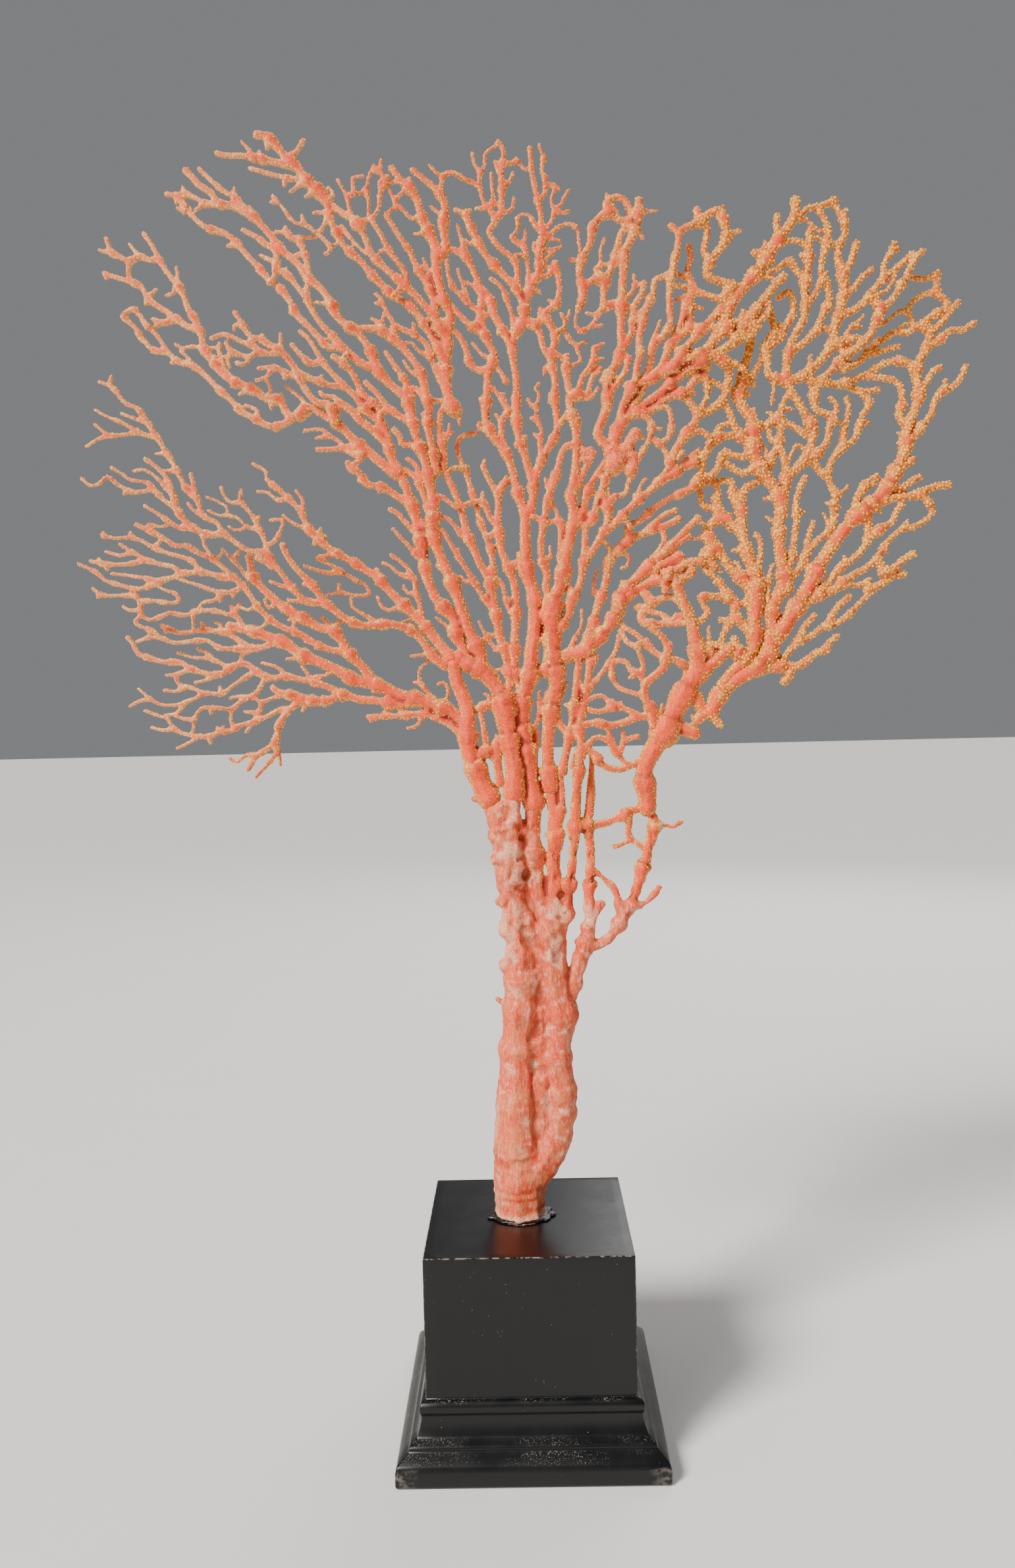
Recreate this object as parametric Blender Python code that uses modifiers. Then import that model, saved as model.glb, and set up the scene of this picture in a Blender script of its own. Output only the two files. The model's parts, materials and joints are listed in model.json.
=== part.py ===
"""Sea fan on a black moulded plinth block: faceted solids, millimetre drawing, metres in the model.

The fan's boughs are drawn on its front elevation as routes of (x, z) points in millimetres, each
route with the radius at its root and at its tip.  The elevation is a perspective one: every point is
pushed along its sight line from EYE to the depth of its bough, so the fan keeps its drawn outline.
"""
import random
from math import hypot, pi, sin, sqrt

import bmesh
import bpy
import numpy as np
from mathutils import Matrix, Vector
from mathutils.bvhtree import BVHTree

MM = 0.001

# Plinth block: square block over a moulded foot
BLOCK_SIDE = 80.0
BLOCK_HEIGHT = 53.6
FOOT_SIDE = 102.2
FOOT_HEIGHT = 28.0
EDGE_ROUND = 0.9
BASE_HEIGHT = BLOCK_HEIGHT + FOOT_HEIGHT
# Moulding: (half width, height) from the foot upwards
MOULDING = ((FOOT_SIDE / 2 - 0.8, 0.0), (FOOT_SIDE / 2, 0.8), (FOOT_SIDE / 2, 6.0), (50.4, 8.2),
            (48.3, 10.2), (46.4, 11.6), (46.2, 13.0), (45.0, 13.9), (43.4, 15.2), (42.4, 18.0),
            (41.8, 20.6), (41.7, 22.4), (42.3, 23.8), (42.4, 25.8), (41.6, 27.4), (40.4, FOOT_HEIGHT))

# Glue bead that seats the stem on the block
BEAD_RADIUS = 14.5
BEAD_HEIGHT = 1.6
BEAD_CENTRE_X = -3.0

SEAM = 0.3              # clear gap between neighbouring solids
SEAM_VOXEL_ROOM = 0.95  # further room taken by the facets
VOXEL = 0.85            # grid of the fused limbs
TRIANGLES_PER_MM = 0.68
SHORTEST_TWIG = 7.0     # shorter stubs are left to the finer mesh
THIN_TRIES = 36
EYE = (1.48, -475.98, 275.31)

# Mean drift in depth of each limb, millimetres per millimetre of run, + is away from the front
LEAN = {
    "stem": 0.0, "fork_centre": 0.0, "fork_left": -0.03, "limb_left_low": 0.05, "limb_left_mid": -0.05,
    "limb_left_arm": 0.07, "limb_centre_left": -0.03, "limb_top_left": 0.03, "limb_left_top": -0.05,
    "limb_upper_left": 0.08, "limb_left_crown": -0.06, "limb_centre_fan": 0.06, "limb_crown_left": 0.03,
    "limb_crown": -0.04, "limb_centre": 0.0, "limb_centre_right": -0.03, "limb_right_arm": -0.12,
    "limb_right_web": -0.10, "limb_right_inner": -0.02, "limb_right_back": 0.09, "limb_right_low": 0.0,
    "limb_right_far": 0.05, "limb_right_mid": 0.05, "limb_inner_right": -0.06, "limb_diagonal": 0.04,
    "limb_right_crown": -0.02,
}
LEAN_SPREAD = 0.05
WAVE_DEPTH = 0.9

CORAL_RED = (0.80, 0.28, 0.19, 1.0)
BARK_RED = (0.62, 0.30, 0.21, 1.0)
LACQUER_BLACK = (0.012, 0.012, 0.013, 1.0)
BEAD_BROWN = (0.10, 0.07, 0.05, 1.0)

# Routes: (radius at the root, radius at the tip, ((x, z), ...)) in millimetres
LIMBS = {}
LIMBS["stem"] = (
    (11, 6.8, ((-3, 80), (-3, 92), (-3.5, 104), (-4, 116), (-4, 128), (-3.5, 140), (-3, 150))),
    (6.8, 6.4, ((-3, 150), (-2, 160), (-1, 170), (-0.8, 178))),
    (5.6, 4.8, ((-1, 176), (-1, 186), (-2.5, 196), (-2.8, 204))),
    (5.6, 4.9, ((-2.6, 203), (-3.5, 212), (-5.5, 222), (-7, 232), (-9, 242), (-12, 252))),
    (6.2, 4.6, ((-4.5, 222), (-4.5, 232), (-4, 243), (-2, 254))),
    (8.5, 6.6, ((2, 100), (8, 107), (11.5, 114), (14, 124))),
    (6.2, 6.6, ((14, 124), (13.8, 135), (12.3, 145), (13, 155), (14.5, 164))),
    (7.6, 6.4, ((14.5, 164), (12.5, 173), (11.2, 182), (11, 191), (11, 198))),
    (5.4, 5, ((10.5, 197), (8, 206), (6, 216), (5, 227), (5, 238), (6, 250))),
    (4.4, 3.6, ((12, 198), (13, 208), (13.3, 218), (13.6, 228), (14.2, 237), (13.6, 247), (13, 257))),
    (3.4, 2.7, ((15, 197), (18.5, 206), (19.8, 216), (21, 226), (22, 236), (22.5, 245), (23, 252), (24,
     260), (25, 268))),
    (2.6, 4, ((18, 168), (21, 178), (23.5, 186), (25.5, 193))),
    (3.2, 2.3, ((25.5, 193), (27, 201), (27, 212), (28, 222), (28, 232), (27.8, 241), (28.8, 250),
     (29.3, 258), (29.8, 266), (30.5, 269))),
    (3, 3, ((27, 191.5), (32.5, 192.5), (38, 198), (42.5, 205), (46.5, 214), (50, 224.5), (53, 234.5),
     (54.5, 241), (52, 246.5))),
    (2.4, 2.4, ((27, 200), (30, 204), (32, 208.5))),
    (2.4, 2.8, ((22.5, 241), (29, 240.5), (35.5, 241.5), (41, 244), (46, 246.3), (51, 246.5))),
    (2, 1.8, ((40, 200), (39.5, 206), (38.5, 212), (35.5, 217), (31.5, 220.5), (28, 223))),
    (2.6, 2, ((14, 237), (17, 250), (17.3, 262))),
    (4.4, 2.6, ((4.5, 112), (5.6, 124), (6, 136), (5.6, 148), (5.6, 160), (5.8, 173), (6, 186), (3.5,
     196), (0.5, 206), (-2, 214))),
    (2.6, 2.2, ((6.5, 218), (2, 226), (-3, 232))),
    (1.2, 1, ((-7, 168), (-10.5, 170.5))),
    (1.2, 1, ((-13, 250), (-18.5, 252))),
    (1.2, 1, ((47, 207.5), (52, 210), (56, 214.5))),
    (1.2, 1, ((44.5, 243), (44, 236), (48, 232), (51.5, 229))),
    (1.2, 1, ((43.5, 233.5), (38, 231.5))),
    (1.2, 1, ((53.5, 240), (58, 240), (62, 239), (65, 241))),
    (1.2, 1, ((28, 241), (29.2, 244.8))),
)
LIMBS["fork_centre"] = (
    (5.2, 5, ((-2, 254), (-1.5, 262), (-2.5, 270), (-3.5, 277), (-4.5, 284), (-4.5, 290))),
    (5, 3.7, ((-4.5, 288), (-7, 295), (-11, 301), (-14.5, 304), (-19, 306.5), (-22.5, 309.5))),
    (5.2, 3.9, ((6, 250), (4.5, 258), (4, 266), (3, 274), (2, 281), (2, 288), (3, 294), (5, 300), (6,
     306), (6.5, 312), (7.5, 318), (8, 324), (8.2, 330))),
    (3.4, 4.2, ((13, 256), (12.2, 264), (12, 271), (12.5, 278), (13.5, 285), (14.5, 291), (16, 297),
     (16, 303), (15, 309), (14.5, 315), (14.5, 321), (14.2, 328))),
    (3, 2.8, ((16.5, 303), (11, 303), (8, 302), (6, 300))),
    (2.6, 2.3, ((3.5, 291), (1, 297), (-0.5, 303), (-0.5, 309), (-0.5, 315))),
    (1.2, 1, ((2.5, 303), (1, 302))),
    (1.2, 1, ((10.5, 303), (11.5, 307), (12, 312), (12.5, 316))),
    (1.2, 1, ((7, 280), (8.5, 285), (9, 290), (9, 294.5))),
    (1.2, 1, ((9, 290), (11, 290.3))),
    (1.2, 1, ((7.5, 272), (8, 278.5))),
    (1.2, 1, ((-4, 304), (-7.5, 303.7))),
)
LIMBS["fork_left"] = (
    (5.2, 3.9, ((-12, 252), (-15, 258), (-17, 264), (-19.5, 270), (-20, 276), (-20, 282), (-20, 288),
     (-22, 294.5), (-24, 300), (-25, 306))),
    (2.8, 2.4, ((-17, 268), (-13, 271), (-9, 268), (-8, 263), (-7.5, 258))),
    (1.7, 1.6, ((-12.5, 270.5), (-13, 276), (-14, 283), (-14.8, 288.5))),
    (2.2, 2, ((-8.5, 268), (-8.5, 273), (-7, 276.2), (-3.5, 275))),
    (1.7, 2.4, ((-14.8, 288.5), (-12, 289.5), (-9, 288), (-6, 285))),
    (1.2, 1, ((-15, 288.5), (-14.2, 290.6))),
    (1.2, 1, ((-11.5, 289.5), (-11, 293), (-12.8, 294))),
    (1.2, 1, ((-8.5, 275), (-8.7, 277.5))),
    (1.2, 1, ((-17.5, 264.5), (-21.5, 266))),
)
LIMBS["limb_left_low"] = (
    (3.6, 2.59, ((-20, 281), (-27, 287.5), (-34, 290), (-41, 293), (-47, 294.5), (-52, 297), (-57,
     299), (-65, 301), (-71, 304.5), (-78, 308), (-86, 311.5), (-92, 316), (-99, 319), (-106, 321.5),
     (-114.5, 323.5))),
    (2.9, 2.09, ((-57, 299), (-60, 304), (-64, 308.5), (-67, 312), (-70, 317), (-73, 321), (-78, 322),
     (-84, 325.5), (-90, 329), (-96, 333.5), (-102, 339.5), (-105, 344), (-106, 351))),
    (1.9, 1.37, ((-67, 312), (-73, 313), (-79, 315), (-85, 319), (-94, 323), (-99, 326.5), (-103, 331),
     (-106, 335.5), (-109, 340), (-115, 345.5), (-121, 351), (-126, 353), (-131, 356), (-136, 356.5),
     (-141, 360), (-146, 362.5), (-151, 365))),
    (1.6, 1.15, ((-112.5, 343), (-116, 343), (-121, 344.5), (-126, 345.5), (-133, 345.5), (-137, 348),
     (-142, 349), (-147, 350.5), (-155, 349.5), (-163, 349.5), (-170, 351))),
    (1.4, 1.01, ((-126, 346), (-129, 350), (-134, 352), (-139, 353.5), (-144, 355.5), (-149, 358.5),
     (-154, 360), (-160, 360), (-165, 361))),
    (1.4, 1.01, ((-133, 345.5), (-137, 343.8), (-142, 342.5), (-146, 340.5), (-152, 339.5), (-158,
     341), (-164, 343), (-168, 346.5), (-175, 350))),
    (1.4, 1.01, ((-106, 321.5), (-109, 323.5), (-112, 327.5), (-116, 328.5), (-121, 330), (-127, 330),
     (-133, 328.5), (-139, 329.5), (-143, 328), (-147, 327), (-150, 329), (-150.5, 333), (-152, 337),
     (-152, 340))),
    (1.8, 1.3, ((-95, 317), (-100, 315.5), (-105, 314.5), (-110, 317), (-115, 320.5), (-119, 321.5),
     (-125, 322.5), (-135, 321.5), (-142, 324.5))),
    (1.5, 1.08, ((-106, 314.5), (-113, 314.5), (-119, 315), (-124, 318), (-130, 318), (-137, 317.5),
     (-142, 319.5), (-146, 322.5), (-151, 324.5), (-153, 326.5), (-150, 329))),
    (2.6, 1.87, ((-43, 291.5), (-50, 291), (-56, 292.5), (-63, 293), (-70, 295), (-76, 293), (-82,
     293), (-86, 294.5), (-91, 295.5), (-96, 297), (-98, 298.5))),
    (1.9, 1.37, ((-87, 293.5), (-91, 290), (-95, 285.5), (-96.5, 281), (-98, 276.5), (-102, 273.5),
     (-106, 270.5), (-109, 266))),
    (1.5, 1.08, ((-86, 294), (-91, 290.5), (-96, 289.5), (-100, 287.5), (-105, 285.5), (-111, 284),
     (-116, 281.5), (-120, 281), (-125, 279.5), (-130, 280), (-135, 281), (-139, 283.5), (-141, 287),
     (-145, 288.5), (-150, 290.5))),
    (1.9, 1.37, ((-71, 295.5), (-76, 298.5), (-82, 300.5), (-88, 302), (-93, 303), (-99, 302.5), (-104,
     305), (-109, 308.5), (-114, 307.5), (-119, 304.5), (-125, 305), (-131, 307), (-135, 309.5), (-142,
     310), (-147, 311.5), (-152, 313.5), (-154, 317.5), (-156, 320))),
    (1.3, 0.95, ((-105, 305.5), (-109, 303), (-114, 300), (-119, 296.5), (-125, 297), (-131, 294.5),
     (-138, 292.5), (-144, 293), (-148, 295.5), (-152.5, 299.5))),
    (1.4, 1.01, ((-101, 302.5), (-103.5, 298.5), (-106, 295.5), (-111, 293.5), (-115, 290.5), (-121,
     291), (-127, 291), (-130, 287), (-131, 281))),
    (1.9, 1.37, ((-36, 287), (-42, 286.5), (-49, 286), (-55, 286.3), (-60, 286))),
    (2.6, 1.87, ((-22, 278), (-28, 283), (-34, 285.5), (-37, 287.5))),
    (1.2, 1, ((-113, 337.5), (-113, 335.3))),
    (1.2, 1, ((-109, 339.5), (-113, 337.5), (-119, 337.5), (-126, 340), (-132, 342), (-136, 343.8))),
    (1.2, 1, ((-118.5, 337), (-118, 333.8))),
    (1.2, 1, ((-118, 336), (-121, 334), (-125, 333.5), (-127.5, 330.5))),
    (1.2, 1, ((-142, 342.5), (-150, 344), (-156, 345), (-161.5, 345.8))),
    (1.2, 1, ((-164, 349.3), (-163.5, 347.3))),
    (1.2, 1, ((-166, 349.5), (-166.5, 351.5))),
    (1.2, 1, ((-147, 350.5), (-151, 353), (-155, 355.5), (-158, 357.5))),
    (1.2, 1, ((-153, 354), (-158, 353), (-163.5, 354.5))),
    (1.2, 1, ((-144, 356), (-141, 359))),
    (1.2, 1, ((-153, 360), (-153.5, 361.8))),
    (1.2, 1, ((-164, 360.5), (-164.5, 362))),
    (1.2, 1, ((-146.5, 362.5), (-146, 365), (-141, 364), (-138, 365))),
    (1.2, 1, ((-150.5, 334.5), (-145, 334.5), (-139, 333.5), (-135, 334), (-136, 337), (-141, 339),
     (-144, 341))),
    (1.2, 1, ((-152, 336.5), (-158, 337), (-164, 337), (-167, 338), (-169.5, 340))),
    (1.2, 1, ((-166.5, 337.8), (-167.5, 336.5))),
    (1.2, 1, ((-151, 331), (-155, 331), (-157.5, 332.5))),
    (1.2, 1, ((-113, 328), (-114, 332))),
    (1.2, 1, ((-112.5, 329), (-110.5, 332.8))),
    (1.2, 1, ((-129.5, 330), (-129.5, 326), (-129.5, 322.5))),
    (1.2, 1, ((-118, 322), (-118.5, 324.5), (-120.5, 325.2))),
    (1.2, 1, ((-125, 322.5), (-126, 325.3))),
    (1.2, 1, ((-140, 323.5), (-141, 321.8))),
    (1.2, 1, ((-107, 313.8), (-110.5, 311.5), (-110.5, 309))),
    (1.2, 1, ((-147.5, 320), (-152.5, 318.3))),
    (1.2, 1, ((-142, 319.5), (-147, 320))),
    (1.2, 1, ((-78.5, 292.8), (-77.5, 290.8))),
    (1.2, 1, ((-92, 295.5), (-98, 294.5), (-103, 293), (-106, 295))),
    (1.2, 1, ((-103, 292.5), (-104, 289), (-109.5, 289.2))),
    (1.2, 1, ((-104.5, 289), (-106, 286))),
    (1.2, 1, ((-106, 285.5), (-109.5, 281))),
    (1.2, 1, ((-114.5, 283), (-115.5, 286.5), (-115, 290))),
    (1.2, 1, ((-139, 283), (-143, 282.5), (-147.5, 283.7))),
    (1.2, 1, ((-128, 280), (-132, 277.5), (-137.5, 275))),
    (1.2, 1, ((-124.5, 279.5), (-124, 276.8))),
    (1.2, 1, ((-118.5, 281), (-119, 283.2))),
    (1.2, 1, ((-131, 286.5), (-135, 287), (-138, 288.3))),
    (1.2, 1, ((-98, 276), (-96.5, 272), (-96, 267.5))),
    (1.2, 1, ((-97, 273), (-101, 268), (-106, 262.8))),
    (1.2, 1, ((-104, 272), (-110, 271.5), (-113.5, 269), (-116.5, 270.5))),
    (1.2, 1, ((-96.5, 284), (-97.5, 282.5))),
    (1.2, 1, ((-84, 292.5), (-86.5, 289))),
    (1.2, 1, ((-121, 304), (-124, 302.5), (-129.5, 301.3))),
    (1.2, 1, ((-132, 306.5), (-137, 304.8), (-141, 304.6))),
    (1.2, 1, ((-137, 304.5), (-136.5, 301.5), (-134, 300))),
    (1.2, 1, ((-116, 307.3), (-120, 309.5), (-125, 311), (-130, 311.5), (-136, 313.5))),
    (1.2, 1, ((-121.5, 310), (-124, 313), (-128, 314.8))),
    (1.2, 1, ((-119, 297), (-119.5, 299.3))),
    (1.2, 1, ((-148, 295), (-152, 294.5), (-156, 292.5))),
    (1.2, 1, ((-126, 297), (-131, 299.3), (-136, 300.2))),
    (1.2, 1, ((-133, 299.8), (-137, 298), (-142, 298.5))),
    (1.2, 1, ((-134, 293), (-137, 289.5), (-141.5, 288.5))),
    (1.2, 1, ((-107, 295), (-111, 295.5), (-115.5, 294.8))),
    (1.2, 1, ((-93, 303.2), (-95, 306), (-98, 307.5), (-102, 308.6))),
    (1.2, 1, ((-82, 301), (-84, 304), (-86, 307), (-86.5, 311))),
    (1.2, 1, ((-87, 310), (-92, 310))),
    (1.2, 1, ((-81, 302.5), (-77, 303), (-73, 304.5))),
    (1.2, 1, ((-86, 325.5), (-91, 325.5))),
    (1.2, 1, ((-89, 320.8), (-89, 323.8))),
    (1.2, 1, ((-80, 315.5), (-84.5, 316.8))),
    (1.2, 1, ((-75, 321.5), (-75.5, 324.5), (-78, 326.5))),
    (1.2, 1, ((-73, 321.3), (-71.5, 324), (-67, 324.5))),
    (1.2, 1, ((-99, 326), (-101, 323.5), (-105, 322))),
    (1.2, 1, ((-104, 331.5), (-107, 330), (-110, 331))),
    (1.2, 1, ((-96, 332), (-99, 330.5), (-100.3, 333.8))),
    (1.2, 1, ((-93, 329.5), (-95, 331))),
    (1.2, 1, ((-54, 286.2), (-59, 284.3))),
    (1.2, 1, ((-46, 286.5), (-48, 289.5), (-51, 291))),
    (1.2, 1, ((-38, 285.5), (-40.5, 282), (-44, 281))),
    (1.2, 1, ((-123, 291), (-123.5, 289))),
    (1.2, 1, ((-107, 343), (-110, 347), (-113, 350.5), (-117, 354.5))),
    (1.2, 1, ((-112, 351), (-110, 353.5))),
    (1.2, 1, ((-31, 290), (-28, 293), (-27.5, 296), (-29, 299), (-31.5, 298.5))),
    (1.2, 1, ((-33, 292.5), (-37, 297), (-39, 301), (-38.5, 305), (-35, 308))),
    (1.2, 1, ((-37.8, 298.5), (-41, 299.3))),
)
LIMBS["limb_left_arm"] = (
    (3.2, 2.3, ((-26, 309), (-31, 315), (-35.5, 321), (-40, 326), (-45, 331), (-50, 336), (-54, 341),
     (-59, 344.5), (-65, 348.5), (-72, 352.5), (-78, 357.5), (-82, 362), (-84, 367), (-86, 370), (-90,
     374.5), (-94, 378), (-98, 381.5), (-98.5, 385), (-103.5, 388))),
    (1.2, 0.95, ((-71, 352), (-76, 350.5), (-79, 350), (-74, 347.5), (-69, 344.5), (-64, 341), (-59.5,
     338.5), (-58.5, 335), (-64, 334.8), (-70, 336), (-75.5, 335))),
    (1.6, 1.15, ((-36.5, 322), (-38, 330), (-39.5, 336), (-40, 341), (-44, 346.5), (-49, 350.5))),
    (1.2, 1, ((-84, 368), (-84, 373), (-86.5, 377))),
    (1.2, 1, ((-90, 373.8), (-94, 373.5), (-98, 376.5), (-102, 377))),
    (1.2, 1, ((-82, 362), (-86, 363), (-90, 365.5), (-92, 367.2))),
    (1.2, 1, ((-79, 357.5), (-80, 355.5))),
    (1.2, 1, ((-77, 358.5), (-75, 358.5))),
    (1.2, 1, ((-77.8, 358.8), (-77, 361.7))),
    (1.2, 1, ((-69, 343.8), (-74, 343.8), (-80, 345.5), (-84, 347))),
    (1.2, 1, ((-70, 336.3), (-70.5, 339.3))),
    (1.2, 1, ((-46, 330), (-51, 328.5), (-54, 331), (-55, 334))),
    (1.2, 1, ((-41, 341), (-46, 343), (-49.5, 346), (-52.5, 347.5))),
    (1.2, 1, ((-40, 335), (-43, 335.3), (-44.5, 338))),
    (1.2, 1, ((-53, 342), (-55, 345))),
)
LIMBS["limb_left_mid"] = (
    (2.5, 1.8, ((-28.5, 306), (-33, 309.5), (-36, 314), (-39, 318), (-44, 321.5), (-52, 323), (-60,
     322.5), (-67, 325), (-73, 329.5), (-77, 333.5), (-80, 338), (-84, 342.5), (-88, 347), (-91,
     351.5), (-92.5, 355.5))),
    (1.8, 1.3, ((-76, 332), (-82, 332.5), (-86, 335), (-89, 338.5), (-92, 342.5), (-96, 348), (-99,
     352), (-103, 353), (-107, 354), (-112, 357.5), (-116, 361), (-118.5, 365), (-122, 366.5), (-124.5,
     369), (-126, 374), (-127.5, 380), (-128.5, 384.5))),
    (1.8, 1.3, ((-116, 360.7), (-122, 360.5), (-128, 363), (-132, 367), (-134.5, 371), (-136, 378),
     (-138, 383), (-142, 387.5), (-146.5, 391))),
    (1.6, 1.15, ((-126.5, 375), (-130, 378), (-133, 384), (-136, 390), (-140, 397), (-143, 402), (-146,
     407), (-149, 411), (-154, 413.5), (-157, 417.5), (-159.5, 421), (-159, 424))),
    (1.4, 1.01, ((-134, 370.5), (-139, 374), (-142, 377), (-145, 378.5), (-152, 378), (-156, 380),
     (-159, 382), (-162, 384.5), (-165, 382), (-169, 381), (-172.5, 384))),
    (1.3, 0.95, ((-142, 399.5), (-147, 400.8), (-151, 403), (-156, 406), (-161, 408), (-166, 411))),
    (1.5, 1.08, ((-99, 353), (-99.5, 357), (-101.5, 362), (-104, 367), (-107, 371), (-109, 374),
     (-108.5, 377.5))),
    (1.4, 1.01, ((-129, 363.5), (-134, 363.5), (-138, 366), (-142, 369), (-147.5, 372.5))),
    (1.2, 1, ((-82, 340), (-84.5, 339.5))),
    (1.2, 1, ((-84, 332.7), (-88, 333), (-91, 333.6))),
    (1.2, 1, ((-90, 338), (-94, 339.5), (-98, 341.2))),
    (1.2, 1, ((-54, 323), (-59, 326), (-65, 330), (-65.5, 334))),
    (1.2, 1, ((-136, 376), (-140, 381), (-144, 385), (-148, 387), (-151.5, 386.3))),
    (1.2, 1, ((-142, 377), (-144, 380), (-147, 382), (-153, 383), (-157, 386), (-160.5, 388))),
    (1.2, 1, ((-124.5, 368), (-128, 370.3), (-130, 373))),
    (1.2, 1, ((-145, 405), (-150, 407), (-155.5, 409.3))),
    (1.2, 1, ((-150, 401.5), (-156, 400.8), (-161, 401), (-166.5, 405.3))),
    (1.2, 1, ((-159.5, 400.8), (-165, 399.5), (-170, 396.6))),
    (1.2, 1, ((-138, 393), (-142, 393))),
    (1.2, 1, ((-135.5, 386), (-138, 386), (-140.5, 386.5))),
    (1.2, 1, ((-158, 419), (-160, 420.5), (-164, 422))),
    (1.2, 1, ((-154, 379), (-155.5, 377.5))),
    (1.2, 1, ((-124.5, 361), (-124, 356.5), (-121.5, 352))),
    (1.2, 1, ((-109, 373), (-113, 373), (-115.5, 376), (-116.5, 379))),
    (1.2, 1, ((-102, 361.5), (-107, 363.5), (-110, 366.5), (-114, 368), (-114.5, 371), (-118, 373.5),
     (-122.5, 375.3))),
    (1.2, 1, ((-114, 368), (-118, 368), (-122, 370))),
    (1.2, 1, ((-107, 363.5), (-109, 362), (-112, 362), (-114, 363.5))),
    (1.2, 1, ((-99, 355), (-95, 358), (-93, 362), (-92, 365.5), (-97, 365.5))),
    (1.2, 1, ((-103, 366), (-101.5, 366.8))),
    (1.2, 1, ((-103, 350.5), (-99, 348), (-97, 346))),
    (1.2, 1, ((-121, 351.5), (-118.5, 351.3), (-117, 353))),
    (1.2, 1, ((-42, 321), (-46, 323), (-41, 325))),
    (1.2, 1, ((-35, 310.5), (-42, 310))),
)
LIMBS["limb_centre_left"] = (
    (3.4, 2.9, ((-15, 305), (-14, 309), (-16, 314), (-18.7, 320), (-20.5, 326), (-22.5, 332), (-24.5,
     338), (-27, 344), (-29.5, 350), (-31.5, 356), (-32, 361), (-31.5, 367), (-31, 372))),
    (3, 2.6, ((-19.5, 308), (-21.5, 313), (-24, 318.5), (-24, 323), (-27, 327.5), (-31, 332), (-33.5,
     337), (-35.3, 343), (-36, 349), (-37, 356), (-38.3, 362), (-39.2, 367), (-41, 373), (-43, 379),
     (-45, 382.5))),
    (2.4, 2.2, ((-24, 322), (-21, 322.5), (-19, 321))),
    (2.4, 1.9, ((-32, 358), (-35, 361), (-38, 364.5))),
    (1.6, 1, ((-35.5, 346), (-38, 349), (-42, 354), (-45.3, 357.5), (-48, 361))),
    (1.7, 1.4, ((-37.2, 357), (-41, 361), (-44, 364.5), (-46, 367), (-49, 368.6))),
    (1.6, 1.3, ((-31.5, 373), (-28, 373), (-25.5, 371), (-22, 368.5))),
    (2, 1.6, ((-32, 366), (-34.5, 371), (-36.5, 377), (-39, 381.5), (-42.5, 384))),
    (1.5, 1.4, ((-36.5, 379.5), (-36.8, 382), (-38.5, 386), (-41.5, 388.3))),
    (1.7, 1.3, ((-45, 382.5), (-44, 378))),
    (2.1, 1.6, ((-41.5, 371), (-45, 373), (-50, 376.5), (-53, 378), (-57, 378.5), (-60, 381.5), (-61.5,
     384), (-65, 385.5), (-65.5, 387.5))),
    (1.5, 1.2, ((-63, 386.5), (-61, 388), (-59.5, 389.5))),
    (1.2, 1, ((-26, 320), (-28.5, 322.5), (-31.5, 325))),
    (1.2, 1, ((-22, 308), (-20.5, 303.5))),
    (1.2, 1, ((-25.5, 340), (-28, 343), (-31, 346))),
    (1.2, 1, ((-53, 377), (-53, 375.8))),
    (1.2, 1, ((-60, 381), (-61, 380))),
)
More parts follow.
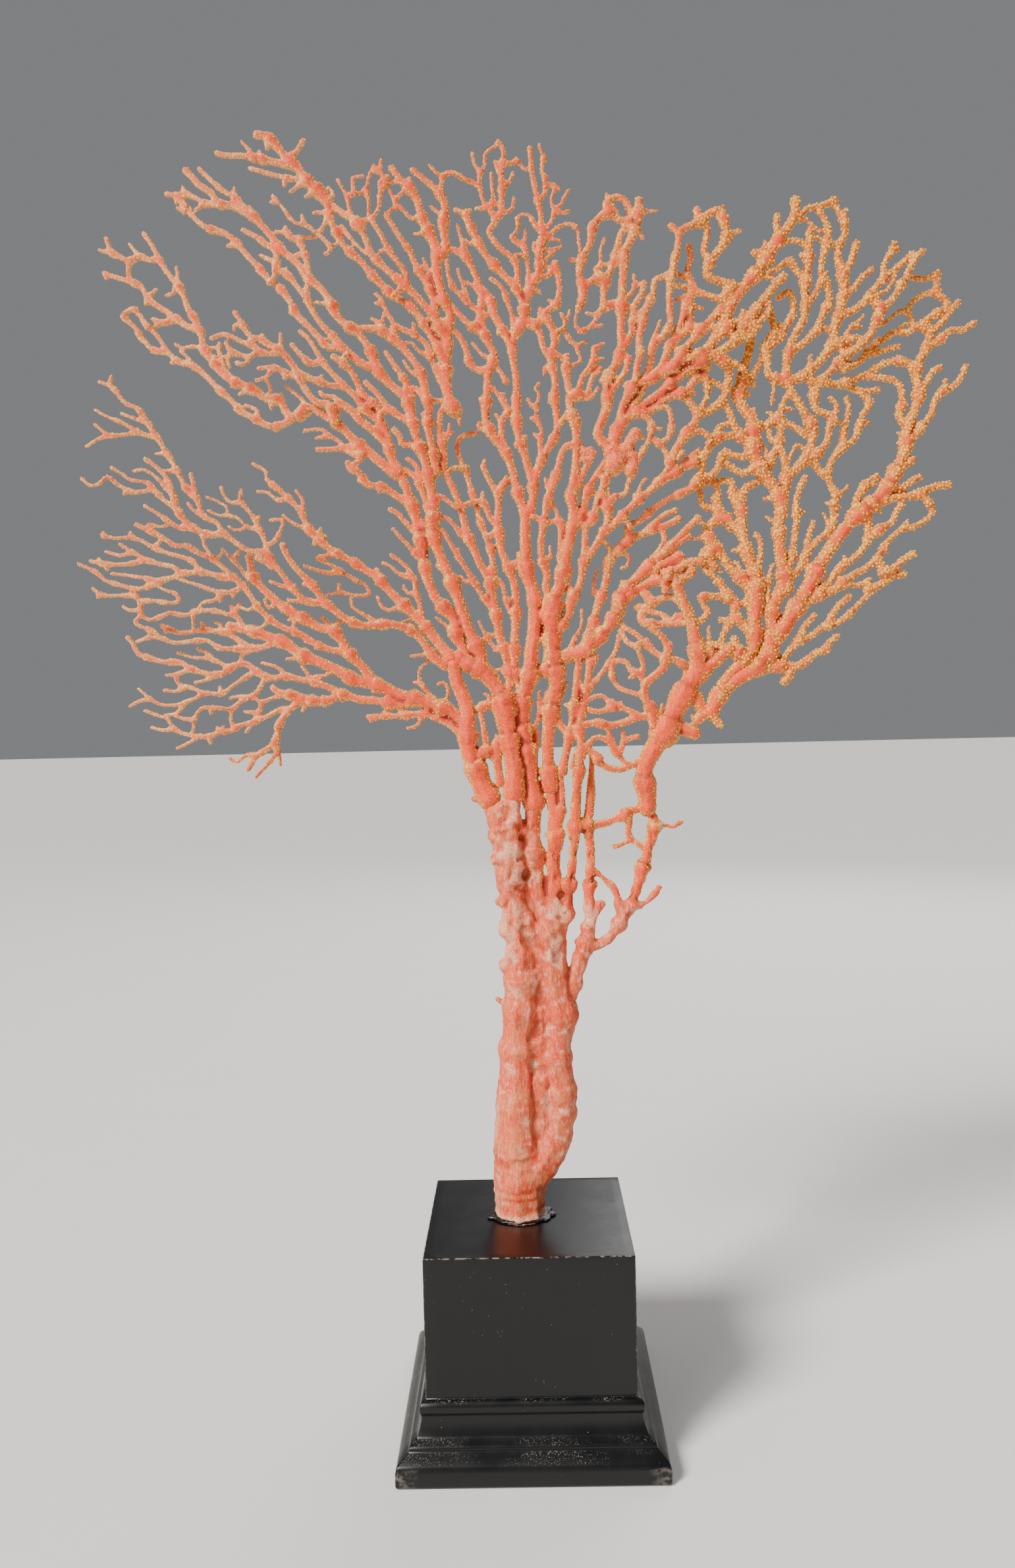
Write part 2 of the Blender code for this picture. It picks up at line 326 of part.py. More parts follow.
LIMBS["limb_top_left"] = (
    (2.6, 2.3, ((-31.5, 371), (-32.5, 377), (-33.5, 383), (-35, 389), (-37, 394.5), (-38.5, 400),
     (-39.5, 406), (-41.5, 412), (-46, 416.5), (-50, 420.5), (-53.5, 424.3), (-58, 426), (-62, 429),
     (-66.5, 433))),
    (1.9, 1.4, ((-66.5, 433), (-70.5, 438), (-75, 443), (-78, 448), (-80, 452.5), (-83.5, 457), (-87,
     461.5), (-91.5, 464), (-93, 461), (-95, 459))),
    (2, 1.5, ((-67, 433.5), (-71.5, 433), (-75.5, 437), (-79.5, 441.5), (-84, 446), (-87, 452), (-91,
     457.3), (-95, 460.5), (-99, 465.5), (-104, 471), (-107.5, 475.5), (-112, 479), (-119, 481.3),
     (-123, 484.5), (-126.5, 489), (-129, 492.3), (-130.5, 494), (-134.5, 494.8))),
    (2.2, 1.9, ((-52.5, 424.5), (-54.5, 430), (-58, 436), (-61, 439.5), (-65, 442), (-68.5, 446),
     (-70.5, 451), (-74.5, 456.5), (-79.5, 461), (-84, 467), (-88.5, 471), (-92, 475.5), (-96.5, 481),
     (-100, 485), (-104, 487), (-109, 489.7), (-113.5, 490.5), (-117, 495), (-121.5, 498), (-124, 501),
     (-126.5, 503.7))),
    (1.6, 1.3, ((-114, 490.5), (-119, 490.7), (-123, 493), (-127.5, 494.8), (-130.5, 494))),
    (1.6, 1.3, ((-103, 487), (-105, 490.5), (-108, 493), (-112, 495.5), (-116, 499), (-119, 502),
     (-121.3, 504.3))),
    (1.6, 1.4, ((-92, 472), (-95.5, 474), (-99, 477), (-104.5, 480))),
    (1.6, 1.6, ((-92, 464), (-91.5, 468), (-92, 472))),
    (1.6, 1.5, ((-80, 453), (-79.8, 457), (-79, 461))),
    (1.5, 1.4, ((-79, 462), (-79.3, 466), (-80.5, 471), (-82.5, 475), (-86, 477), (-87.5, 480.3))),
    (1.9, 1.4, ((-41.5, 414.5), (-41, 418), (-43.5, 422), (-46.5, 426.5), (-49, 430.5))),
    (1.9, 1.8, ((-36.5, 394), (-40, 394), (-43.5, 394.5), (-44.5, 397.5), (-46.5, 400))),
    (2, 1.5, ((-39, 403), (-43, 404.5), (-47.5, 408), (-50.5, 411), (-53.5, 415), (-57.5, 419))),
    (1.8, 1.6, ((-47.5, 408), (-51.5, 407), (-52, 404))),
    (1.2, 1, ((-70.5, 450), (-73, 450.5), (-76, 451))),
    (1.2, 1, ((-88, 462), (-88, 464.5))),
    (1.2, 1, ((-95, 468.5), (-98, 469.9))),
    (1.2, 1, ((-92, 467), (-95, 468.5))),
    (1.2, 1, ((-80.7, 469.5), (-83.3, 470))),
    (1.2, 1, ((-82.5, 475), (-83, 477), (-79, 476.3), (-75, 477))),
    (1.2, 1, ((-87, 478.5), (-91.5, 479))),
    (1.2, 1, ((-86, 449), (-86.8, 447))),
    (1.2, 1, ((-109, 474.3), (-110.8, 474))),
    (1.2, 1, ((-120, 490.5), (-123.3, 488.3))),
    (1.2, 1, ((-127.5, 495), (-128, 497.3))),
    (1.2, 1, ((-130, 494), (-131, 491.5))),
    (1.2, 1, ((-128, 488.5), (-130.5, 489.3))),
    (1.2, 1, ((-101, 486.5), (-101.5, 489))),
    (1.2, 1, ((-108, 493), (-107.5, 496.5))),
    (1.2, 1, ((-38.5, 412.5), (-39, 416), (-36.5, 416))),
    (1.2, 1, ((-37, 421.5), (-39.5, 423), (-42, 427))),
)
LIMBS["limb_left_top"] = (
    (2.6, 2.2, ((-45, 383.5), (-47.5, 388), (-49, 393), (-52, 397), (-56, 401), (-60, 404), (-64,
     408.5), (-68.5, 411.5))),
    (1.5, 1.3, ((-68.5, 411.5), (-70, 413.5), (-74, 414), (-75.7, 415.5))),
    (2.2, 1.9, ((-49, 393.5), (-49.5, 398), (-52, 403), (-55.5, 406), (-59, 410), (-62, 414), (-66,
     418))),
    (1.9, 1.3, ((-66, 417.5), (-69, 421), (-72.5, 425), (-75.5, 429.5), (-78, 434), (-80, 437), (-83,
     439.7))),
    (1.6, 1.4, ((-74.5, 428), (-79, 427), (-82.5, 430), (-86.5, 434.5))),
    (1.9, 1.8, ((-52, 403), (-52, 408), (-55, 411), (-59, 415), (-61, 419.5), (-63.5, 424), (-66.5,
     427), (-70, 429.5))),
    (1.6, 1.4, ((-68.5, 411.5), (-69, 407), (-70, 403.5))),
    (1.2, 1, ((-66.5, 427), (-66, 429.5), (-64.5, 431))),
    (1.2, 1, ((-59.5, 408.5), (-61, 408.2), (-62.5, 407.5))),
)
LIMBS["limb_upper_left"] = (
    (2.9, 2, ((-45.5, 382.5), (-49, 384.5), (-53, 388), (-57, 391.5), (-61, 394.5), (-65, 399), (-70,
     403.5), (-75, 407), (-79, 409.5), (-82, 410))),
    (2.2, 1.9, ((-82, 410), (-84, 407), (-88, 406.5), (-90, 409), (-92, 413), (-97, 413.5), (-101,
     416.5), (-106, 419), (-111, 421), (-115, 424.5), (-118, 428.5), (-121.5, 434), (-122.5, 440))),
    (1.9, 1.4, ((-88, 405), (-92, 403), (-97, 403), (-102, 406), (-107, 408.5), (-111, 413), (-116,
     417.5), (-120, 422), (-125, 426.5), (-131, 428.8), (-134, 431), (-137.5, 433.3))),
    (1.9, 1.4, ((-122.5, 440), (-124.5, 445), (-127.5, 450), (-129, 455), (-131, 459), (-134, 462.5),
     (-137, 467), (-139, 471), (-141, 475), (-144, 479.5))),
    (1.9, 1.3, ((-122.5, 441), (-128, 443), (-132.5, 446.3), (-137, 449.5), (-142, 453), (-144.3, 456),
     (-146, 459), (-151, 461.3), (-156, 463), (-160.5, 464.6))),
    (1.5, 1.3, ((-137.5, 433.3), (-142, 434), (-146, 438.5), (-149, 443), (-153.3, 447.8), (-149.5,
     450.3), (-147, 448), (-144.5, 444), (-141, 440.5), (-138.5, 437), (-136, 433))),
    (1.5, 1.3, ((-139, 469.5), (-142.5, 469.5), (-146, 470.8), (-150.5, 469.2), (-153.5, 470.8), (-157,
     472.5), (-159.2, 478))),
    (1.4, 1.3, ((-150.3, 469), (-150.8, 465), (-150.3, 461.5))),
    (1.8, 1.3, ((-133, 446), (-137, 444.6), (-141.5, 446))),
    (1.9, 1.4, ((-61, 394), (-66, 393.5), (-72, 393), (-77.5, 393))),
    (2, 1.8, ((-60, 390), (-63, 391), (-67, 393.3))),
    (1.2, 1, ((-131.5, 459.5), (-131, 462), (-131.7, 466))),
    (1.2, 1, ((-132.5, 458), (-133, 456.3), (-135.8, 455.2))),
    (1.2, 1, ((-146.2, 471), (-148, 473), (-150, 475.8))),
    (1.2, 1, ((-157.5, 472.5), (-162.2, 473.8))),
    (1.2, 1, ((-160, 464.5), (-159.8, 462.8))),
    (1.2, 1, ((-142.5, 455.5), (-140, 457.8))),
    (1.2, 1, ((-144, 453.5), (-144.3, 452.2))),
    (1.2, 1, ((-138, 444.5), (-141, 443))),
    (1.2, 1, ((-148, 440.5), (-146.5, 437.5))),
    (1.2, 1, ((-121.5, 434), (-126, 435), (-130, 434.5), (-133, 436))),
    (1.2, 1, ((-126, 427), (-128, 430.5), (-131, 433.3))),
    (1.2, 1, ((-133, 430), (-134.5, 428.8))),
    (1.2, 1, ((-118, 428.5), (-117.7, 431))),
    (1.2, 1, ((-97, 414), (-95.5, 417), (-97, 421), (-99, 421.8))),
    (1.2, 1, ((-93.5, 413), (-91, 415.3))),
    (1.2, 1, ((-95.5, 412.5), (-95.5, 409.8))),
    (1.2, 1, ((-104, 417.5), (-108, 415.7))),
    (1.2, 1, ((-101.5, 406.5), (-101, 409), (-105.5, 411.3))),
    (1.2, 1, ((-94, 402.5), (-94, 401))),
    (1.2, 1, ((-85, 407.5), (-82, 407), (-80, 407))),
    (1.2, 1, ((-81.5, 410), (-83, 413), (-86.5, 416), (-89.5, 418.3))),
    (1.2, 1, ((-67.5, 393.5), (-68.5, 396), (-72, 398), (-75, 400.7), (-79, 401), (-82.5, 400.5))),
    (1.2, 1, ((-73, 398.3), (-78, 397.5))),
    (1.2, 1, ((-110, 421.5), (-113.5, 426), (-115, 430.5), (-116, 434), (-118.5, 434.3))),
    (1.2, 1, ((-114, 430), (-112, 431))),
    (1.2, 1, ((-115.5, 433.5), (-115.3, 436))),
)
LIMBS["limb_left_crown"] = (
    (2.1, 1.9, ((-70, 404), (-71, 408), (-73, 411), (-77, 411.5), (-81, 416), (-83.5, 421), (-85,
     424.5), (-88, 429), (-91.5, 433))),
    (1.9, 1.3, ((-91.5, 433), (-95.5, 434.8), (-99, 437.3), (-102.5, 438), (-105, 441.5), (-107, 445),
     (-109, 448))),
    (1.6, 1.3, ((-91.5, 431.8), (-95.5, 431.3), (-100, 432), (-104, 430.5), (-109, 431.8), (-111.5,
     433.5), (-112.5, 436))),
    (1.5, 1.3, ((-99.5, 431.8), (-102, 434.8), (-106, 436), (-109.5, 438), (-114, 439.5), (-118.5,
     438))),
    (1.5, 1.2, ((-83.5, 422), (-87, 422.5), (-90, 424), (-94, 426), (-100, 425.7))),
    (1.7, 1.7, ((-84, 423.5), (-80, 421.5), (-74, 419), (-70, 418), (-67.5, 418))),
    (1.2, 1, ((-91, 433), (-90.8, 439))),
    (1.2, 1, ((-106.5, 443), (-109, 443), (-109.5, 441))),
    (1.2, 1, ((-98.5, 437.3), (-98, 438.5))),
    (1.2, 1, ((-94.5, 425.5), (-97, 422.3), (-101.2, 421))),
    (1.2, 1, ((-90, 424), (-89.8, 421.5))),
    (1.2, 1, ((-75, 419.5), (-75, 422))),
    (1.2, 1, ((-111, 432.5), (-112.3, 429), (-111.5, 426.5))),
    (1.2, 1, ((-108.5, 428), (-106, 427.5), (-103, 430))),
)
LIMBS["limb_centre_fan"] = (
    (2.6, 2, ((-5, 292), (-2.5, 298), (-3, 304), (-4, 310), (-6, 316), (-7, 322), (-8, 329), (-9, 335),
     (-10, 340), (-13, 345), (-15.5, 351), (-18, 357), (-19.5, 363), (-21, 369), (-23.5, 376), (-26.5,
     382.5))),
    (1.8, 1.5, ((-9.5, 339), (-8.5, 345), (-9, 351), (-11, 357), (-13, 363), (-14.5, 369), (-16.5,
     376), (-18.5, 383), (-21, 389), (-21.5, 394), (-19.5, 396.8), (-14, 398))),
    (1.5, 1.3, ((-18.5, 356.5), (-21.5, 359), (-24.5, 363), (-28, 365.2), (-31.5, 364.5))),
    (1.6, 1.4, ((-8.5, 327), (-12, 332), (-15.5, 338), (-19, 344), (-22.5, 349.5), (-26, 356), (-28.5,
     360), (-31.5, 360))),
    (1.7, 1.5, ((-18, 384), (-22, 384.5), (-26, 383))),
    (2.4, 2.1, ((-0.5, 313), (0, 320), (0.5, 327), (0.5, 334), (-0.5, 340), (-3, 346), (-5, 352),
     (-5.5, 358), (-6, 364), (-5.5, 370), (-6, 374))),
    (1.7, 1.5, ((-6, 374), (-8.5, 378), (-11.5, 384.5))),
    (1.7, 1.6, ((-5, 374), (-3.5, 377.5), (0, 379))),
    (1.6, 1.5, ((-6, 361), (-9, 364), (-11, 369.5), (-14.5, 371), (-18, 370), (-21, 368.5))),
    (1.7, 1.5, ((-6.5, 359), (-9, 357.3), (-11, 357))),
    (1.4, 1.3, ((-2, 327), (-3.5, 332), (-5, 338), (-8, 341))),
    (1.9, 1.7, ((-2, 345), (1, 345.5), (4, 346))),
    (1.2, 1, ((-18, 339), (-20, 339.5), (-21.5, 341.3))),
    (1.2, 1, ((-22.5, 350), (-22, 352))),
    (1.2, 1, ((-12, 371), (-11.8, 374.3))),
    (1.2, 1, ((-11.3, 384.5), (-10.8, 387))),
    (1.2, 1, ((-3, 378), (-2.3, 380.3))),
    (1.2, 1, ((-8, 311.5), (-11.5, 317), (-14.5, 323))),
    (1.2, 1, ((-12, 317), (-13.8, 313.5))),
    (1.2, 1, ((-7, 317.3), (-11, 318))),
)
LIMBS["limb_crown_left"] = (
    (2.3, 2, ((-30.5, 383), (-31, 389), (-32, 395), (-33, 401), (-32.5, 407), (-33, 412), (-34, 417),
     (-35.5, 422.5), (-38.5, 427.5), (-42.5, 432.5), (-46.5, 436.5), (-51, 439.3), (-56, 440.3),
     (-60.5, 440))),
    (1.9, 1.6, ((-33.5, 411.5), (-37, 415.5), (-39, 416.5), (-41, 415))),
    (1.4, 1.2, ((-33.5, 403), (-35, 406))),
    (1.5, 1.3, ((-46, 437), (-45.5, 441), (-48, 446), (-50, 450))),
    (1.6, 1.4, ((-45.5, 441), (-41, 439), (-37, 437), (-33.5, 434), (-31.5, 430), (-30, 424), (-28,
     419))),
    (1.2, 1, ((-51, 439.5), (-50, 443), (-49.5, 445.8))),
    (1.2, 1, ((-51, 442), (-54.3, 444))),
    (1.2, 1, ((-37, 437), (-38, 441.8))),
    (1.2, 1, ((-50, 450), (-52.5, 450))),
    (1.2, 1, ((-50, 450), (-50.5, 452), (-52.7, 453.7))),
    (1.2, 1, ((-32, 428), (-36, 431), (-39, 434.3), (-41.5, 433.8))),
)
LIMBS["limb_crown"] = (
    (2.2, 1.9, ((-27.5, 384), (-27, 390), (-28, 396), (-28.5, 402), (-27.5, 407), (-24.5, 408.5))),
    (2.9, 2.4, ((-22, 407), (-24, 410), (-25.5, 415), (-27, 419), (-29, 424))),
    (2.3, 2.2, ((-24.5, 412), (-24.8, 418), (-25, 424), (-24.5, 430), (-24, 436), (-23.5, 440))),
    (1.7, 1.5, ((-25, 409.5), (-28.5, 411), (-32, 410.5))),
    (2.2, 1.8, ((-25.5, 424), (-27.5, 430), (-30.5, 436), (-34, 442), (-38, 447.5), (-42, 450.7), (-46,
     453), (-50, 457), (-54, 461.5), (-58, 466.5), (-62, 470), (-65, 473.5), (-67.5, 478), (-70, 484),
     (-70.5, 489.5))),
    (2.4, 2.1, ((-24, 434), (-27, 439), (-30, 444.5), (-34, 449.5), (-38, 454), (-41, 456.5))),
    (2, 1.8, ((-41, 456), (-44, 459.5), (-49, 464), (-53.5, 469), (-55.5, 474), (-58, 480))),
    (1.9, 1.5, ((-29, 445), (-29.5, 450), (-31.5, 455.5), (-34.5, 461), (-37, 466), (-38.5, 470), (-42,
     475), (-45, 480), (-47.5, 484))),
    (1.7, 1.5, ((-40, 456.5), (-40.5, 461.5), (-43.5, 466), (-47, 471), (-50, 477), (-53, 482))),
    (1.7, 1.4, ((-41.5, 456), (-45.5, 453))),
    (2.4, 3, ((-23.5, 440), (-23, 445), (-25.5, 450.5), (-27, 456.5), (-28, 462), (-28, 467.5))),
    (2.9, 1.8, ((-28, 467.5), (-28.5, 471.5), (-31, 477.5), (-33.5, 483.5), (-35, 489.5), (-38, 494.5),
     (-41.5, 498), (-45, 502.5))),
    (2.7, 1.6, ((-27, 468), (-24, 470), (-24.5, 475), (-25, 480), (-24, 486), (-25.5, 491), (-29, 495),
     (-32.5, 498), (-36.5, 501.5))),
    (2.3, 1.5, ((-58, 480), (-61, 483), (-65, 485.7), (-70.5, 490))),
    (2.5, 2.2, ((-70.5, 490), (-74.5, 494.5), (-79, 499), (-82, 503.5), (-86, 507), (-90, 512), (-94,
     516), (-98, 517))),
    (2, 1.5, ((-86, 505), (-92, 506.3), (-98, 507.7), (-104, 509), (-110, 509.2), (-114, 510.2))),
    (1.5, 1.2, ((-79.5, 499), (-86, 499.8), (-92, 501.3), (-97, 502.8), (-101, 504))),
    (1.6, 1.4, ((-85.5, 508), (-82.5, 510), (-79.8, 514))),
    (1.2, 1, ((-100.5, 509.5), (-101.5, 511.5), (-104, 514.3))),
    (1.2, 1, ((-97.3, 508), (-97.2, 510.6))),
    (1.2, 1, ((-94.3, 514), (-94, 511.5))),
    (1.2, 1, ((-81, 497.5), (-83, 496), (-85.3, 494.4))),
    (1.2, 1, ((-87, 499.5), (-87.8, 497))),
    (1.2, 1, ((-76.5, 493.5), (-79.2, 492.5))),
    (1.2, 1, ((-70, 490), (-68.3, 493), (-70.2, 495.7))),
    (1.2, 1, ((-71, 486.2), (-76.3, 486))),
    (1.2, 1, ((-71, 486), (-72, 482), (-75, 478), (-79, 481), (-84, 482.5), (-87, 486), (-90, 490),
     (-93, 490.7))),
    (1.2, 1, ((-90.5, 490.5), (-92.3, 493))),
    (1.2, 1, ((-80.3, 482), (-81, 485))),
    (1.2, 1, ((-75, 478), (-73, 476), (-70, 473), (-66, 474.5))),
    (1.2, 1, ((-70, 473), (-70.5, 470.5), (-72.2, 470))),
    (1.2, 1, ((-60, 482), (-62, 487), (-63, 492), (-66.5, 498.7))),
    (1.2, 1, ((-62.5, 492), (-60, 493), (-57.5, 493))),
    (1.2, 1, ((-60, 493.5), (-60.5, 497), (-60.3, 499.3), (-56.3, 499.8))),
    (1.2, 1, ((-58, 482), (-55, 483), (-54.3, 488), (-55, 494), (-54, 499.5), (-52, 503.7))),
    (1.2, 1, ((-55, 494), (-56.3, 494.5))),
    (1.2, 1, ((-52, 502.3), (-49.5, 501), (-48.2, 499), (-48, 496))),
    (1.2, 1, ((-49.5, 501), (-49, 505.8))),
    (1.2, 1, ((-53.5, 483), (-51, 486), (-50, 490), (-50, 497.3))),
    (1.2, 1, ((-50, 492), (-48, 496), (-45, 497), (-42, 497))),
    (1.2, 1, ((-48.3, 498.5), (-46, 499.5))),
    (1.2, 1, ((-38.5, 495.5), (-38, 498.5))),
    (1.2, 1, ((-34, 483.5), (-38, 483), (-41.5, 487), (-44.5, 487), (-47.5, 484.5))),
    (1.2, 1, ((-43.5, 487), (-44.5, 490.5), (-46, 494))),
    (1.2, 1, ((-44, 490), (-41.3, 492.8))),
    (1.2, 1, ((-32, 478.5), (-33.5, 476.7), (-36.5, 476.7))),
    (1.2, 1, ((-47, 470.5), (-50.3, 470.6))),
    (1.2, 1, ((-65.3, 480.2), (-61, 474.5), (-56, 469.5))),
    (1.2, 1, ((-31, 456), (-31, 461), (-33.2, 466.7))),
    (1.2, 1, ((-26, 493), (-25, 498), (-27, 500), (-30, 503.3))),
    (1.2, 1, ((-25, 499), (-20, 500), (-15, 497))),
    (1.2, 1, ((-25, 483), (-29.5, 487))),
    (1.2, 1, ((-47.5, 483.5), (-48, 485))),
    (1.2, 1, ((-25, 442), (-26.5, 443))),
    (1.2, 1, ((-20.5, 405), (-20.3, 401.5))),
    (1.2, 1, ((-26.5, 395), (-25, 398), (-24.3, 401.7))),
    (1.2, 1, ((-25, 398), (-23.5, 398.3))),
)
LIMBS["limb_centre"] = (
    (3.8, 3, ((8.2, 330), (7, 336), (5, 343), (5, 349), (4.8, 356), (5, 362), (6, 367))),
    (2.5, 2.2, ((5, 365), (3, 371), (1.5, 377), (0, 384), (-2, 389.5), (-5.5, 394), (-8.5, 399), (-10,
     405), (-9.5, 411), (-9, 417), (-8.5, 422.5))),
    (2.4, 2, ((7, 366), (8.3, 372), (8, 378), (6.5, 384), (5, 390), (3, 396), (2.5, 402), (2.5, 408),
     (2.5, 414), (2.5, 420), (1.5, 426), (1.5, 432), (3, 437))),
    (2.2, 2, ((8.5, 377), (10.5, 383), (13, 388.5), (16.5, 394), (18.5, 399), (18.2, 405), (17.5, 411),
     (18, 417), (17, 423), (16.5, 428))),
    (2, 1.9, ((1, 431), (-1.5, 436.5), (-4.5, 441.5), (-6, 447), (-8, 452), (-10, 454))),
    (2.1, 1.8, ((-8.5, 422), (-6, 428), (-8.5, 434), (-10.5, 440), (-11, 446), (-10, 452), (-12, 458),
     (-14.5, 464), (-17, 469), (-17, 473))),
    (2.3, 1.9, ((3, 437), (6, 442), (6, 448), (3.5, 454), (-1, 459), (-5, 463.5), (-9, 468.5), (-12,
     474), (-14.5, 480), (-15.5, 484.5))),
    (1.8, 1.5, ((3.5, 455), (4, 461), (2.5, 466), (-1.5, 469), (-5, 473), (-7, 477), (-4.5, 480), (-5,
     483), (-7, 486))),
    (1.5, 1.3, ((-4, 482), (-2, 484), (-1.5, 490), (-1.5, 497), (-1, 503), (-0.5, 508), (-2.5,
     511.5))),
    (1.9, 1.5, ((6.5, 447), (9, 454), (12.5, 460), (12.5, 466), (14, 472), (14, 478), (13.5, 484),
     (12.5, 489), (11.5, 494), (10.5, 500), (10, 508.8))),
    (1.9, 1.8, ((6, 441), (10, 440), (12.5, 436), (13.5, 431), (16, 427))),
    (2, 1.5, ((16.5, 428), (18.5, 434), (16.5, 440), (14.5, 444.5), (19, 447.5), (20.5, 453), (20,
     459), (18.5, 464))),
    (1.7, 1.4, ((17.5, 428), (20.5, 427), (23, 423))),
    (2, 1.7, ((-9, 422.5), (-13, 423), (-16, 426), (-17.5, 432), (-20, 436.5), (-23, 439.5))),
    (1.9, 1.7, ((-9.5, 437), (-14, 439.5), (-18, 443), (-21.5, 447), (-24, 450))),
    (1.6, 1.3, ((-9.5, 444), (-13.5, 447), (-18, 451.5), (-22, 456), (-23.5, 461), (-24, 466))),
    (1.7, 1.5, ((-17, 468), (-20, 469.5), (-23.5, 471))),
    (1.6, 1.4, ((-14.5, 479), (-16.5, 484), (-20, 485.5))),
    (1.5, 1.3, ((2.5, 438), (1.5, 444), (-0.5, 450), (-2.5, 455), (-6.5, 458.3))),
    (1.5, 1.3, ((8, 454), (8.5, 459), (8, 464), (7, 470), (5, 472), (2, 474.5))),
    (1.5, 1.2, ((-1.5, 418), (-3.5, 421.5), (-6.5, 425.5))),
    (1.6, 1.4, ((-2.5, 391), (-3.5, 397), (-3.5, 402), (-1, 406), (2, 404.5))),
    (1.5, 1.3, ((-1, 406.5), (-3.5, 411.5), (-7, 415.5))),
    (1.2, 1, ((11.5, 387.5), (11.5, 393), (12.3, 398), (10.5, 403), (10.5, 408), (11.5, 413), (10,
     414.5), (11.5, 417))),
    (1.2, 1, ((10.5, 408.5), (8.5, 408), (7, 411))),
    (1.2, 1, ((11.5, 395), (9.3, 397))),
    (1.2, 1, ((10.2, 402.5), (8.2, 403.2))),
    (1.2, 1, ((5, 394), (6, 396.3))),
    (1.2, 1, ((-3.7, 402), (-6, 405))),
    (1.2, 1, ((-10, 399), (-13, 400), (-12.5, 402))),
    (1.2, 1, ((-9.8, 411), (-12, 411.5))),
    (1.2, 1, ((-3.5, 412), (-2.8, 413))),
    (1.2, 1, ((2, 345.7), (1.8, 350))),
    (1.2, 1, ((16, 412), (15.5, 409.5))),
    (1.2, 1, ((16.5, 424), (14, 423), (13.8, 420))),
    (1.2, 1, ((-8.5, 427.5), (-11, 429), (-14.5, 433.2))),
    (1.2, 1, ((-7.5, 450), (-7, 444), (-4, 441.5))),
    (1.2, 1, ((-4, 437), (-3, 442))),
    (1.2, 1, ((-11.5, 453), (-13.5, 455.5), (-16.5, 457.3))),
    (1.2, 1, ((-16.5, 452), (-18, 457), (-19.8, 462.5))),
    (1.2, 1, ((-17, 470), (-18, 474), (-19.3, 479.6))),
    (1.2, 1, ((-11, 473), (-15, 472.5), (-17.5, 474))),
    (1.2, 1, ((-16.5, 484), (-14, 485.5))),
    (1.2, 1, ((-7, 486), (-9, 489), (-10, 494), (-10, 499), (-8, 503), (-7.8, 507), (-4, 510), (-2.5,
     511.5))),
    (1.2, 1, ((-10, 494), (-14, 496.5), (-18, 498), (-21, 500.5), (-25, 499.5))),
    (1.2, 1, ((-10, 500), (-12, 503), (-13, 507.5))),
    (1.2, 1, ((-7.3, 486), (-12, 486))),
    (1.2, 1, ((-6, 486), (-5, 490), (-5.5, 495), (-5.5, 499.6))),
    (1.2, 1, ((-1.3, 497.5), (-3, 500.5), (-4, 504))),
    (1.2, 1, ((-1, 494), (1.5, 496), (3, 499.3))),
    (1.2, 1, ((-2, 484), (2, 485), (3.3, 489.5))),
    (1.2, 1, ((-5, 488.5), (-2, 486))),
    (1.2, 1, ((-0.5, 504), (2, 503), (5, 504), (7, 501), (10, 500.5))),
    (1.2, 1, ((5, 503.5), (4.5, 504.8))),
    (1.2, 1, ((13, 489), (15.5, 491), (15.5, 496), (14.5, 500), (15, 505), (13.5, 510))),
    (1.2, 1, ((15.5, 505), (16, 504.2))),
    (1.2, 1, ((15.5, 498), (16.3, 497.2))),
    (1.2, 1, ((16, 494), (19, 494.5), (21, 492.5))),
    (1.2, 1, ((14.5, 477), (17.5, 479.5), (19, 484), (18, 488), (19, 492), (19.5, 494))),
    (1.2, 1, ((19, 484), (22, 487), (23.5, 490), (25, 492))),
    (1.2, 1, ((20, 484.5), (22, 483.3), (25, 483.8))),
    (1.2, 1, ((13.5, 476), (11, 479), (9.5, 482.5), (6, 483), (3.8, 481.3))),
    (1.2, 1, ((4.5, 481), (4.5, 477.5), (2, 474.5), (3, 472.5), (6, 470.5))),
    (1.2, 1, ((6.5, 471), (7.3, 474), (7.3, 477))),
    (1.2, 1, ((2, 466.3), (4, 467.5), (6.5, 467))),
    (1.2, 1, ((12.5, 468), (10.5, 469), (10.8, 472))),
    (1.2, 1, ((14, 473), (17, 473.5), (21, 472.5))),
    (1.2, 1, ((13, 469), (17, 469), (21.5, 470))),
    (1.2, 1, ((13.5, 464), (16, 466), (18.5, 468))),
    (1.2, 1, ((13.5, 459), (16, 459), (18, 462), (15, 462.5))),
    (1.2, 1, ((18, 461.5), (19.3, 464.3))),
    (1.2, 1, ((10.5, 454), (13, 452.5))),
    (1.2, 1, ((13, 440.5), (12.2, 443), (12.8, 446.5))),
    (1.2, 1, ((19.5, 448), (16, 449.3))),
    (1.2, 1, ((19.5, 437), (22.5, 439.5), (21, 444))),
    (1.2, 1, ((14.5, 476), (17, 475), (21, 478), (25, 479), (28, 476.5), (28.5, 472.5), (29, 468))),
    (1.2, 1, ((25, 465), (27.5, 464.5), (29, 464))),
    (1.2, 1, ((23, 423), (27, 424.5), (28.5, 426), (27, 429.5), (28, 432), (31, 432.5))),
    (1.2, 1, ((27, 431), (24, 434), (22, 438), (23, 441), (24.5, 445))),
)
